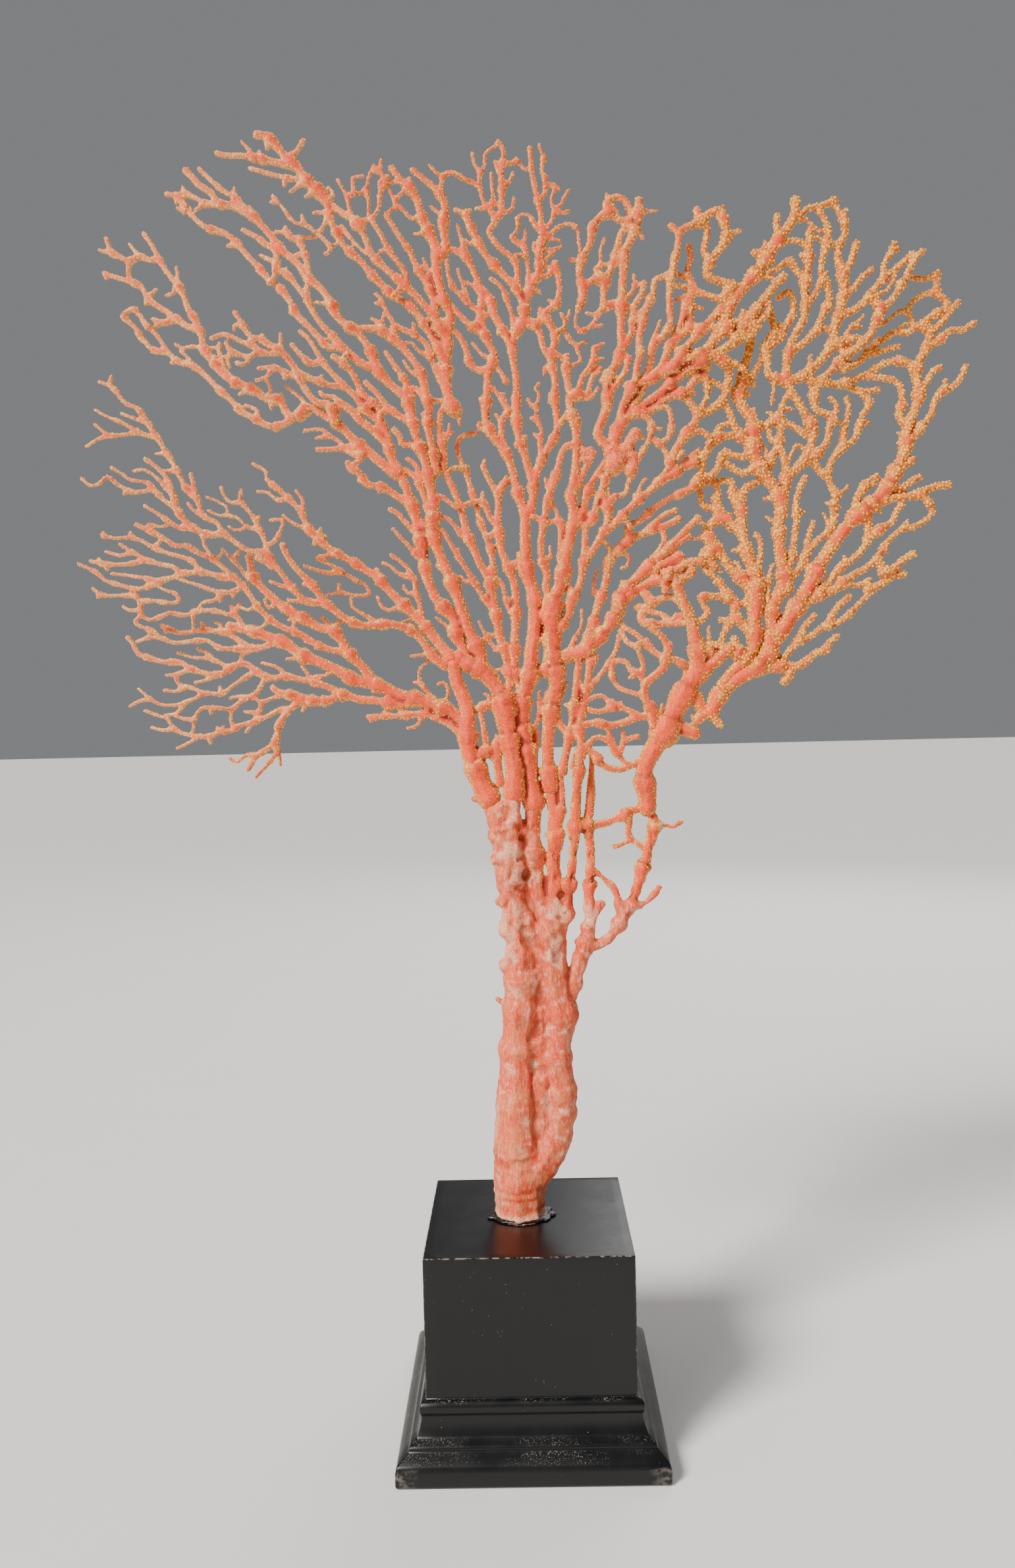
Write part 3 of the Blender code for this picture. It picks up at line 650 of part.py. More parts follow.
LIMBS["limb_centre_right"] = (
    (3.9, 3.2, ((14.2, 326), (16, 331.5), (18.5, 337), (20, 343), (21, 349), (22.5, 355), (24, 361))),
    (2.7, 2.2, ((24, 361), (24.2, 367), (23.5, 373), (24.8, 379), (25.7, 385), (26, 391), (26, 397),
     (25.5, 402), (23.5, 404.5))),
    (2.2, 1.9, ((14.5, 331), (12.5, 336), (13.2, 341), (11.5, 347), (11, 353), (12, 360), (13.2, 366),
     (14.3, 371), (16.5, 377), (18.3, 383), (20, 389), (22, 392), (24.5, 392))),
    (1.7, 1.6, ((19.5, 343), (18.7, 349), (19, 356), (18.8, 362), (15.5, 362), (12.5, 362))),
    (1.5, 1.4, ((12.5, 362), (10, 363.5), (8, 364.5))),
    (1.3, 1.2, ((18.8, 362), (17.5, 366), (15.3, 370.5))),
    (2, 1.7, ((24.5, 373), (27, 378), (29.5, 383), (31.5, 387.5), (31, 390))),
    (2.4, 1.9, ((25, 361), (28, 366), (29.5, 372), (32, 377.5), (35, 382), (37.2, 385))),
    (2.4, 2, ((15, 316), (18, 320), (21.5, 325), (23, 331), (26, 336.5), (27.5, 343), (28.3, 350),
     (28.7, 356), (28.5, 361))),
    (2, 1.8, ((26, 361), (31, 361.5), (33, 366.5), (34, 371), (36.5, 376), (38.5, 381), (41, 383))),
    (2.2, 2, ((28.3, 346.5), (31.5, 350), (34.5, 355), (37, 359.5), (38, 364), (37.5, 369), (36,
     372.5))),
    (1.6, 1.4, ((38, 368), (41, 371.5), (45, 372.5), (46.5, 377), (49, 383), (52, 388.5), (54.5, 393),
     (56, 397))),
    (2.2, 1.7, ((37, 358), (41.5, 361.5), (46, 366), (51, 370.5), (56, 374.5), (60, 379), (64, 384),
     (68, 388))),
    (1.7, 1.5, ((44.5, 364), (46, 360.5), (47, 359))),
    (2.4, 1.9, ((29, 316), (31.5, 322), (33, 328), (35.5, 334), (37, 340), (38, 346), (42, 350), (46,
     354), (51, 356), (56, 358.5), (61, 359.5), (66, 362))),
    (1.9, 1.7, ((46, 354.5), (46.5, 359.5), (51, 362), (56, 366), (62, 370), (67, 372.5))),
    (1.5, 1.3, ((38.7, 347), (38.5, 351), (36, 354))),
    (1.4, 1.2, ((58, 359), (60.5, 355), (58, 350), (55, 347))),
    (2, 1.8, ((14.5, 309), (19, 308), (24, 309))),
    (3.4, 2.6, ((20, 308.5), (25, 309.5), (30, 312), (34.5, 316.5), (38, 321), (41, 326.5), (43, 332),
     (47, 337), (52, 341.5), (57, 346), (62, 350.5))),
    (2.4, 1.9, ((62, 350.5), (66.5, 355), (71, 359.5), (74, 362))),
    (2.6, 2.2, ((29.5, 311.5), (30.5, 317), (36, 319))),
    (1.7, 1.6, ((56, 360), (60, 363.5), (65, 365.5))),
    (2.4, 2.3, ((17.5, 262), (19, 268.5), (20.5, 275), (22, 281), (23, 288), (24, 296), (24.8, 303),
     (25.5, 309))),
    (1.9, 1.8, ((15, 287), (17, 282), (20, 277.5))),
    (2.2, 2, ((25, 268), (25.5, 274), (25, 280), (26.5, 287), (28, 294), (29, 301), (30.5, 307), (31,
     311.5))),
    (1.6, 1.5, ((30, 296.5), (34, 301), (37.5, 306), (40.5, 311), (41.5, 316))),
    (2.1, 1.9, ((25.5, 402), (23.7, 406), (24, 411), (23, 416), (22.5, 422), (22.8, 427))),
    (1.8, 1.8, ((23.5, 405), (21, 402.5), (18.7, 399.5))),
    (1.8, 1.8, ((24, 411), (27, 413), (29, 419), (33, 424), (34, 430))),
    (1.5, 1.5, ((24.5, 412), (28, 411), (31, 413), (32.5, 418), (36, 422))),
    (1.2, 1, ((15.5, 372), (13.8, 376), (13.4, 379.3))),
    (1.2, 1, ((13, 347), (14.8, 348), (14.6, 352))),
    (1.2, 1, ((22.3, 334), (22, 338.7))),
    (1.2, 1, ((31.5, 333.5), (32, 338.5), (33.4, 342.5))),
    (1.2, 1, ((43.5, 349.5), (46.3, 347), (45, 343.8), (43, 343))),
    (1.2, 1, ((22, 312), (24, 316), (26.5, 320.5), (26.7, 326.8))),
    (1.2, 1, ((50, 372), (51.5, 376), (53.5, 378.3))),
    (1.2, 1, ((50.5, 371.8), (48.5, 371.7))),
    (1.2, 1, ((32, 388), (29, 391), (27.5, 394))),
    (1.2, 1, ((31, 390), (33.5, 389))),
    (1.2, 1, ((41, 322.5), (44, 325))),
    (1.2, 1, ((31, 307), (33, 308))),
    (1.2, 1, ((20, 277), (16, 281), (14, 283.5), (15.5, 285))),
    (1.2, 1, ((21.5, 289), (19.5, 289))),
    (1.2, 1, ((18, 292.5), (20.3, 298))),
    (1.2, 1, ((46, 335), (43, 337.8))),
    (1.2, 1, ((29, 313), (30.5, 315.3))),
    (1.2, 1, ((34, 317.5), (34, 319))),
    (1.2, 1, ((34, 430), (37.5, 432))),
    (1.2, 1, ((33, 425), (37, 426))),
    (1.2, 1, ((28.5, 411), (32, 410.5), (35, 414.5))),
)
LIMBS["limb_right_arm"] = (
    (4.2, 5.8, ((51.5, 247), (51.5, 253), (50.5, 259), (51.5, 265), (55, 271.5), (58.5, 276.5))),
    (5.8, 5.2, ((58.5, 276.5), (61.5, 282), (65, 289), (69, 295.5), (72.5, 301))),
    (4.4, 2.8, ((72.5, 301), (73, 307), (72, 313), (71, 319), (69, 325), (66.5, 331), (65, 336))),
    (4.2, 3.2, ((73.5, 300), (77, 303.5), (81, 306), (85, 310))),
    (2.6, 2.2, ((74.5, 301.5), (76.5, 306.5), (78.5, 311), (82, 311.5))),
    (3.2, 3.3, ((66.5, 278.5), (71, 276.5))),
    (3, 3.4, ((72, 291), (74, 286.5), (77.5, 284.5))),
    (2.4, 2.1, ((77.5, 284.5), (79.5, 282), (81.3, 279.7))),
    (2, 1.7, ((75, 284), (72, 281.5), (70, 279))),
    (1.2, 1, ((71.5, 281.5), (70, 283.5))),
    (1.2, 1, ((78.5, 311), (77.5, 315), (77.5, 318.8))),
    (1.2, 1, ((77, 311), (74.5, 313), (75, 314.3))),
)
LIMBS["limb_right_web"] = (
    (1.9, 2.2, ((25.5, 280.5), (31, 281.5), (37, 280.5), (43, 281.5), (49, 283.5), (54, 283.5))),
    (1.5, 1.8, ((28, 287), (33, 286), (38, 287.5), (43, 287), (48, 284.5))),
    (1.4, 1.4, ((28, 290.5), (31, 292), (35, 292), (37.5, 288))),
    (2, 2, ((26, 272), (30.5, 269), (34, 264.5), (40, 262.5), (45, 264), (49, 265.5))),
    (1.6, 1.6, ((28, 272.5), (31, 275.5), (35, 275), (38, 271.5), (41, 267.5), (44, 264.5))),
    (1.6, 1.5, ((35, 281), (37, 277), (38.5, 273))),
    (1.4, 1.3, ((41, 269.5), (42.5, 274), (42.3, 278))),
    (1.4, 1.5, ((42.5, 274), (46, 275.3), (48.3, 275.8))),
    (2.6, 2.2, ((55, 280), (54, 286), (51.5, 291), (51.5, 296), (55, 299.5), (59, 303), (60, 307),
     (61.5, 312))),
    (1.6, 1.4, ((38, 306), (43.5, 306), (46, 302.5), (49.5, 300.5), (51, 296))),
    (1.5, 1.5, ((38.5, 306), (38.5, 300), (41, 295.5), (46.5, 293.3), (51.5, 291.5))),
    (1.5, 1.5, ((50, 300.5), (51, 304.5), (49.5, 309), (49.5, 313))),
    (1.7, 1.5, ((60, 306.5), (56, 309), (52, 313), (49, 316), (44, 319.5), (42, 321.5))),
    (1.6, 1.5, ((49, 311.5), (45, 313.5), (42, 318))),
    (1.7, 1.6, ((60, 307), (64, 306), (68, 302.5), (67, 297))),
    (1.8, 1.6, ((61, 308), (60, 313), (56, 318), (52, 320.5))),
    (1.2, 1, ((48.5, 300.3), (45.5, 299.3))),
    (1.2, 1, ((57.5, 282.5), (58.3, 288.3))),
    (1.2, 1, ((39, 289.3), (38, 290.5))),
    (1.2, 1, ((42, 287.8), (41.5, 289.5))),
    (1.2, 1, ((21.5, 264), (22.5, 269))),
    (1.2, 1, ((66.5, 303.5), (68, 304.3))),
)
LIMBS["limb_right_inner"] = (
    (2.4, 2.6, ((43, 331), (48, 334), (53, 336.5), (58, 338.5), (64, 341.5), (70, 344.5), (75, 345))),
    (3, 3.2, ((56, 342), (61, 344.5), (66, 347))),
    (2.8, 2.6, ((58, 338), (63, 336.5), (68, 338.5), (71, 341))),
    (2, 2, ((66, 334.5), (67.5, 330), (70, 325), (71.5, 320.5))),
    (1.9, 1.8, ((52, 333), (55, 329.5), (58, 330.5), (63, 331), (67.5, 327))),
    (1.8, 1.8, ((49, 327.5), (54, 327.5), (58, 330))),
    (2, 1.8, ((50.5, 324), (51, 321.5), (56, 320.5), (61, 320.5), (67, 320.5), (70.5, 320.5))),
    (1.7, 1.7, ((51, 326), (56, 325), (60, 323.5), (63, 321))),
    (1.5, 1.4, ((64.5, 323.5), (67, 323.5))),
    (1.9, 1.8, ((55, 319), (59, 315), (61.5, 310), (61, 307.5))),
    (1.5, 1.5, ((52.5, 314), (55, 309.5), (58.5, 307.5))),
    (1.9, 1.7, ((62, 350), (66, 352.5), (70, 355))),
)
LIMBS["limb_right_low"] = (
    (3.4, 4.4, ((78.5, 286), (80.5, 290.5), (84, 294), (88, 297.5), (93, 300.5), (97, 303), (100.5,
     307), (103, 311.5), (105.5, 316))),
    (4.2, 3.4, ((105.5, 316), (109, 320.5), (112, 325), (115, 330), (118, 335), (121, 341), (125, 347),
     (129, 352.5), (133, 357.5), (137, 361.5))),
    (3, 1.9, ((98, 302), (103, 302.5), (108, 302.5), (113, 302.5), (117, 305), (120, 307.5), (124.5,
     308.5))),
    (1.7, 1.6, ((124, 309.5), (126, 312), (128.5, 314))),
    (1.9, 1.5, ((106, 303.5), (109, 308), (113, 312), (118, 314), (122.5, 317.5), (127, 318.5), (131,
     320.5), (135, 324), (139, 328), (143, 332))),
    (2.4, 2.3, ((110, 302), (109, 298), (107.5, 296.5))),
    (1.8, 1.7, ((113.5, 313.5), (115.5, 318), (119.5, 322.3))),
    (1.8, 1.8, ((125.5, 320), (128, 324.5), (131.5, 328), (133.5, 329.5))),
    (2.6, 1.8, ((114, 326), (118, 328.5), (122.5, 331), (127, 332), (131, 335), (135, 338), (140,
     340.5), (145, 344))),
    (1.5, 1.5, ((132.5, 335), (137, 334), (141.5, 336))),
    (2, 1.6, ((122.5, 332.5), (126, 336.5), (130, 341), (134, 343.5), (138, 347), (141, 351.5), (141,
     357), (141.5, 362))),
    (3.6, 3, ((101.5, 309), (102.5, 315), (102.5, 321), (103, 326), (105, 330), (108, 334.5), (107.5,
     340), (106.5, 346), (106, 352), (106, 358), (107, 364))),
    (2, 1.7, ((107.5, 340), (111, 345), (111.5, 350), (112.5, 356), (113.5, 362))),
    (1.9, 1.6, ((108, 334), (111.5, 338), (115, 343), (117.5, 347.5), (121, 352), (125, 355), (127,
     359))),
    (1.6, 1.6, ((116.5, 346), (117, 351), (118.5, 356), (119.5, 359))),
    (1.7, 1.4, ((102.5, 325), (101, 330), (101.5, 335), (100, 337))),
    (2.2, 1.9, ((145, 344.5), (146, 342), (148, 340))),
    (2.3, 1.9, ((147, 338.8), (151, 340), (155, 343.5), (159.3, 346))),
    (2.2, 1.9, ((141, 332), (147, 334.5), (151, 337), (155.3, 338))),
    (1.2, 1, ((101.5, 336), (102, 339.5), (103.3, 343))),
    (1.2, 1, ((131.5, 342), (132, 345.5))),
    (1.2, 1, ((106.5, 357), (104, 360), (101, 362))),
    (1.2, 1, ((126, 357), (124, 362.5))),
    (1.2, 1, ((126.5, 358), (129.5, 362))),
    (1.2, 1, ((143, 331), (142, 334))),
    (1.2, 1, ((148, 347), (148.7, 349))),
)
LIMBS["limb_right_back"] = (
    (3, 4, ((82, 292), (83, 296), (86, 300), (90, 304), (94.5, 309), (95.5, 314), (95.5, 320), (96,
     326), (95.5, 332))),
    (3.4, 2.4, ((95.5, 330), (97, 336), (95.5, 341), (93.5, 346), (92, 352), (91.5, 358), (91, 364),
     (90.5, 370))),
    (2.6, 2.3, ((94.5, 333), (91, 337.5), (87, 341), (83.5, 346), (80, 351), (77.5, 356), (79.5, 360),
     (84, 361.5), (87, 358))),
    (2, 1.8, ((92, 353), (89, 357.5), (86, 361), (82.5, 366), (80, 370))),
    (2, 1.9, ((93, 317), (90, 320.5), (87.5, 324), (89, 327.5), (93.5, 328))),
    (1.9, 1.7, ((88, 323), (86, 321), (82.5, 321.5))),
    (1.9, 1.7, ((86, 320.5), (83.5, 316.5), (82, 312))),
    (1.8, 1.8, ((87.5, 329), (84, 330.5), (79, 331), (75, 330.5), (76, 326.5), (77.5, 325), (74.5,
     321.5), (72, 320))),
    (1.8, 1.6, ((84, 331), (83, 335), (79.5, 339), (76, 342), (79, 345))),
    (2.4, 2.8, ((92, 306.5), (88, 309), (85, 309.5))),
    (1.9, 2, ((87.5, 309.5), (87.5, 313.5))),
    (1.6, 1.5, ((97, 342), (98.5, 347), (98.5, 352), (97, 355))),
    (2, 1.8, ((98, 336), (102, 336.5))),
    (3, 2.8, ((79, 349), (76.5, 345.5), (79.5, 343))),
    (1.9, 1.8, ((90.5, 366), (88, 370), (87.3, 376), (82.5, 376.5), (77, 376))),
    (1.8, 1.7, ((82, 365), (82, 371), (81, 376))),
    (1.9, 1.7, ((84, 362), (80, 365.5), (76, 367), (75, 371), (74.5, 375.5))),
    (2.2, 2, ((91, 369), (93, 373.5), (97, 375.5), (101, 378))),
    (1.2, 1, ((91, 349.3), (87.5, 349))),
    (1.2, 1, ((89.5, 339.5), (90, 343), (88.5, 344.3))),
    (1.2, 1, ((77, 346), (75.5, 349))),
    (1.2, 1, ((79.5, 343), (82.5, 340.8))),
    (1.2, 1, ((77, 358.5), (74, 361.5), (73, 363))),
    (1.2, 1, ((77, 354.5), (72, 354), (70, 356))),
    (1.2, 1, ((84.5, 333.5), (87, 332.3))),
)
LIMBS["limb_right_far"] = (
    (3.4, 2.8, ((136, 361), (141, 364.5), (145.5, 368.5), (150, 374), (153, 380), (156, 386), (157,
     391.5), (157.5, 397))),
    (2.6, 2.2, ((157.5, 397), (160, 402), (162, 407.5), (161.5, 413), (161, 418.5), (163.5, 424), (166,
     429), (166.5, 434))),
    (2, 1.8, ((161.5, 419), (158, 421), (153.5, 422), (148, 421), (144.5, 419))),
    (2, 1.7, ((157, 397), (154, 400), (155.3, 405), (155, 411), (152, 414.5), (147, 415.5), (142.5,
     416))),
    (1.9, 1.6, ((162, 410), (165.5, 414), (167.5, 417.5), (170.5, 419))),
    (2, 1.6, ((158.5, 390.5), (162.5, 395.5), (167, 401), (168, 405), (171, 409.5), (175, 411), (178.5,
     414.5), (180.5, 419))),
    (2.2, 2, ((153, 379), (156.5, 381), (159.5, 383))),
    (2, 1.7, ((151, 372.5), (155, 372), (158.5, 374.5), (162, 376))),
    (2.3, 2, ((146.5, 367), (151, 368), (157, 368.7), (162, 369.5), (167, 372), (173.5, 373))),
    (1.6, 1.5, ((163, 369.5), (165.5, 366), (167, 362.3), (164, 359), (159, 356.5), (155, 356), (151,
     353), (148, 349.5), (145, 345))),
    (2, 1.8, ((141.5, 361), (141.5, 356.5), (141, 353))),
    (1.9, 1.8, ((142, 353), (147, 356.5), (151, 359), (152.5, 362.5), (154.5, 365))),
    (2.2, 1.8, ((138, 362), (136.5, 366), (138, 370), (141.5, 374.5), (145, 376.8))),
    (1.9, 1.7, ((166.5, 434), (162, 435.5), (158, 433), (153, 433.5), (149, 431), (145, 428.5))),
    (1.9, 1.6, ((165.5, 428), (170, 429.5), (175, 433.5), (179, 433.3), (184, 436))),
    (1.8, 1.5, ((167, 433), (170.5, 435.5), (174, 440), (177.8, 444.3))),
    (1.8, 1.6, ((164, 436.5), (169, 440), (173.5, 442.5), (173, 445), (170, 447.5), (169.5, 452), (170,
     456))),
    (1.5, 1.5, ((170, 455.7), (165, 453.7), (159, 454.5))),
    (1.6, 1.5, ((169, 448.5), (164, 447.5), (159.5, 444.5), (158, 441))),
    (1.2, 1, ((156.5, 392.5), (153.8, 393.7))),
    (1.2, 1, ((172.3, 410), (172.5, 414))),
    (1.2, 1, ((141, 374), (144.3, 373.7))),
    (1.2, 1, ((144.5, 365.5), (146.5, 362.7))),
    (1.2, 1, ((154.5, 356), (157, 359))),
    (1.2, 1, ((158, 441), (155, 441.5), (150, 438), (147, 436))),
    (1.2, 1, ((158, 440.5), (160, 437), (156, 436), (154, 434))),
    (1.2, 1, ((142, 374), (145, 377))),
)
LIMBS["limb_right_mid"] = (
    (3, 3.4, ((107, 363), (107, 368), (104.5, 373), (101, 378), (98, 383), (96, 388.5))),
    (3.2, 2.2, ((96, 388), (96.5, 394), (96, 400), (92.5, 405), (90.5, 410), (92.5, 415), (93, 421),
     (95, 427), (96, 433), (97, 438))),
    (2, 1.8, ((97, 381.5), (92, 379.5), (88, 381.5), (84, 384.5))),
    (1.9, 1.8, ((95, 386.5), (91, 386), (86.5, 387))),
    (2.2, 1.9, ((95, 392), (91.5, 394), (88.5, 399), (87, 404), (84.5, 407))),
    (2, 1.8, ((97, 398), (101, 398), (105, 400), (107, 396), (106.5, 391), (104, 386.5), (102.5, 382),
     (100, 380))),
    (1.5, 1.4, ((106, 391.5), (103.5, 392), (102.5, 395.5))),
    (2.4, 1.9, ((105, 372), (108.5, 372), (109, 378), (108.5, 384), (106.5, 390))),
    (2.2, 2.3, ((109, 377.5), (113, 380.5), (117, 384.5), (119, 390), (120.3, 396), (117.5, 401), (115,
     406), (112, 410.5), (110, 414.5))),
    (2, 1.8, ((110, 414.5), (106, 416.5), (102.5, 418), (102.5, 424), (102, 430), (105.5, 434.5),
     (104.5, 439), (103.5, 443.5))),
    (1.7, 1.6, ((96, 417), (99, 422), (101, 427))),
    (1.9, 1.7, ((103, 429), (107, 432), (109.5, 436.5), (112.5, 441), (113, 446.5), (111, 450), (107,
     448))),
    (2.1, 1.9, ((110.5, 415), (115, 416.5), (118.5, 419))),
    (2, 1.8, ((117, 385), (121.5, 386.5), (125.5, 391), (126.5, 396.5), (128, 401), (123.5, 402.5),
     (121, 405), (121, 411), (124, 415))),
    (1.5, 1.4, ((128.5, 400.5), (129.5, 405), (127.3, 408))),
    (1.9, 1.6, ((119.5, 385), (122, 380), (125.5, 378.3), (127, 383), (131, 388), (136, 391.5), (138.5,
     397), (140, 401.5), (142.5, 406), (138, 410.5), (133, 413))),
    (1.6, 1.4, ((131.5, 389), (132, 394), (133.3, 399), (134.2, 404), (133.5, 408))),
    (1.8, 1.6, ((125.5, 378.5), (127, 373.5), (129, 369.5), (127.5, 365), (127.5, 360), (126.5, 356))),
    (1.8, 1.8, ((112.8, 362), (113, 368), (114.5, 373), (116.5, 377))),
    (1.8, 1.7, ((107.5, 399), (112, 397.5), (117, 394))),
    (1.7, 1.6, ((107.5, 398), (107, 403), (109, 408), (111, 411))),
    (1.8, 1.6, ((133.5, 413), (139, 410.5), (146, 411))),
    (1.2, 1, ((101, 384), (101.3, 389.3))),
    (1.2, 1, ((107, 401.5), (102.3, 403))),
    (1.2, 1, ((97, 401), (96.5, 404.5))),
    (1.2, 1, ((117, 388), (113.5, 390), (111.5, 386.5), (110, 383))),
    (1.2, 1, ((128.3, 400.5), (131, 398), (133, 399.5))),
    (1.2, 1, ((138.8, 397.8), (142.5, 398))),
    (1.2, 1, ((121, 410), (118.5, 410))),
    (1.2, 1, ((129.5, 369.5), (133.8, 373.3))),
    (1.2, 1, ((128, 366), (125, 367))),
    (1.2, 1, ((127.5, 363), (130, 365))),
    (1.2, 1, ((113.5, 364.5), (116, 363.3))),
    (1.2, 1, ((104, 370), (100.3, 368.7))),
    (1.2, 1, ((105, 416), (104.5, 411), (104, 406.5))),
    (1.2, 1, ((108, 404.5), (112, 404))),
    (1.2, 1, ((119, 421), (119.3, 425))),
    (1.2, 1, ((118, 416), (119.5, 412.5))),
    (1.2, 1, ((107, 434), (107.5, 437.5))),
    (1.2, 1, ((103, 442), (105, 440.8))),
    (1.2, 1, ((94, 411), (95, 410))),
    (1.2, 1, ((96, 414.3), (97, 414))),
)
LIMBS["limb_inner_right"] = (
    (2.9, 2.2, ((41.5, 388), (37, 392.5), (34.5, 396.5), (36.5, 402), (38.5, 407.5), (38.5, 413.5),
     (39.5, 419), (43, 425), (44.5, 431), (44.5, 437.5), (45, 443.5))),
    (2.4, 2.3, ((45, 443.5), (45, 449), (45.5, 455), (46, 461), (46.5, 467), (49.5, 473), (51.5,
     478.5), (52.5, 484), (52.5, 487))),
    (1.9, 1.9, ((45, 448), (41, 447), (38.2, 446.5), (38, 452), (39.5, 457.5), (42, 463), (43.5, 469),
     (45.5, 475), (48.5, 479))),
    (1.9, 1.9, ((38.5, 457), (34.5, 457), (31, 454.5), (29.5, 449.5), (28, 446))),
    (2, 1.9, ((29, 448), (29.5, 454), (28.5, 460), (30, 466), (33, 471), (34, 477), (37, 481), (41,
     482.5), (44.5, 480), (48.5, 479))),
    (1.9, 1.8, ((41, 483), (40, 486.5), (44, 489), (48, 486), (48.5, 480))),
    (1.9, 1.8, ((44.5, 429), (48, 434), (49.5, 440), (50, 446), (53, 451), (54, 455))),
    (1.8, 1.7, ((51, 441.5), (55, 446), (57.5, 451), (58.3, 456), (62, 457.5), (65.5, 459.5))),
    (1.9, 1.8, ((65, 457), (66, 463), (67.5, 469), (68, 474), (65, 477))),
    (2.4, 2, ((41, 394), (43, 401), (45, 407.5), (47.5, 412.5), (50, 418), (51, 424), (52.5, 429))),
    (2, 1.8, ((52, 427), (51.5, 433), (53, 439), (54.5, 444.5))),
    (2.2, 1.9, ((43, 399), (48, 406), (52, 412), (54, 418), (56, 424), (57, 430), (61, 434), (64,
     438.5), (64, 445), (64, 451), (64, 457))),
    (2, 1.8, ((38.5, 411), (43, 416.5), (46, 421), (47.5, 426))),
    (3.4, 3.4, ((40.5, 383), (43, 388), (46.5, 392), (49.5, 396))),
    (3, 3, ((47.5, 381), (48.5, 387), (46, 391))),
    (1.8, 1.6, ((52, 404.5), (56, 400), (55.5, 395), (60, 391), (62.5, 386))),
    (1.6, 1.5, ((59, 391.5), (63, 395), (64, 401), (62.5, 406), (58, 406))),
    (1.2, 1, ((35, 461), (37, 463.5), (37, 468), (38.7, 473))),
    (1.2, 1, ((35.5, 459.5), (38, 462.5), (42, 463))),
    (1.2, 1, ((46.5, 449), (50, 453), (50, 458.3))),
    (1.2, 1, ((50, 454.5), (54, 455))),
    (1.2, 1, ((52, 476), (54, 472.5))),
    (1.2, 1, ((53, 483), (59.3, 483))),
    (1.2, 1, ((40, 486.5), (40, 490))),
    (1.2, 1, ((42, 485.5), (44, 482.5))),
    (1.2, 1, ((56.5, 431.5), (58.5, 436), (60, 440))),
    (1.2, 1, ((34.5, 479), (32.5, 476.5))),
    (1.2, 1, ((38, 446), (34, 443.5), (31, 444))),
    (1.2, 1, ((37, 445), (34, 440.5), (29, 436.5), (26.5, 440), (27.5, 446))),
    (1.2, 1, ((28, 437), (33, 438.5), (37, 439))),
    (1.2, 1, ((55.5, 398), (60, 397.8))),
    (1.2, 1, ((49, 395), (53, 394))),
    (1.2, 1, ((38, 420.5), (36, 417))),
    (1.2, 1, ((37, 379), (38, 375), (39, 372))),
)
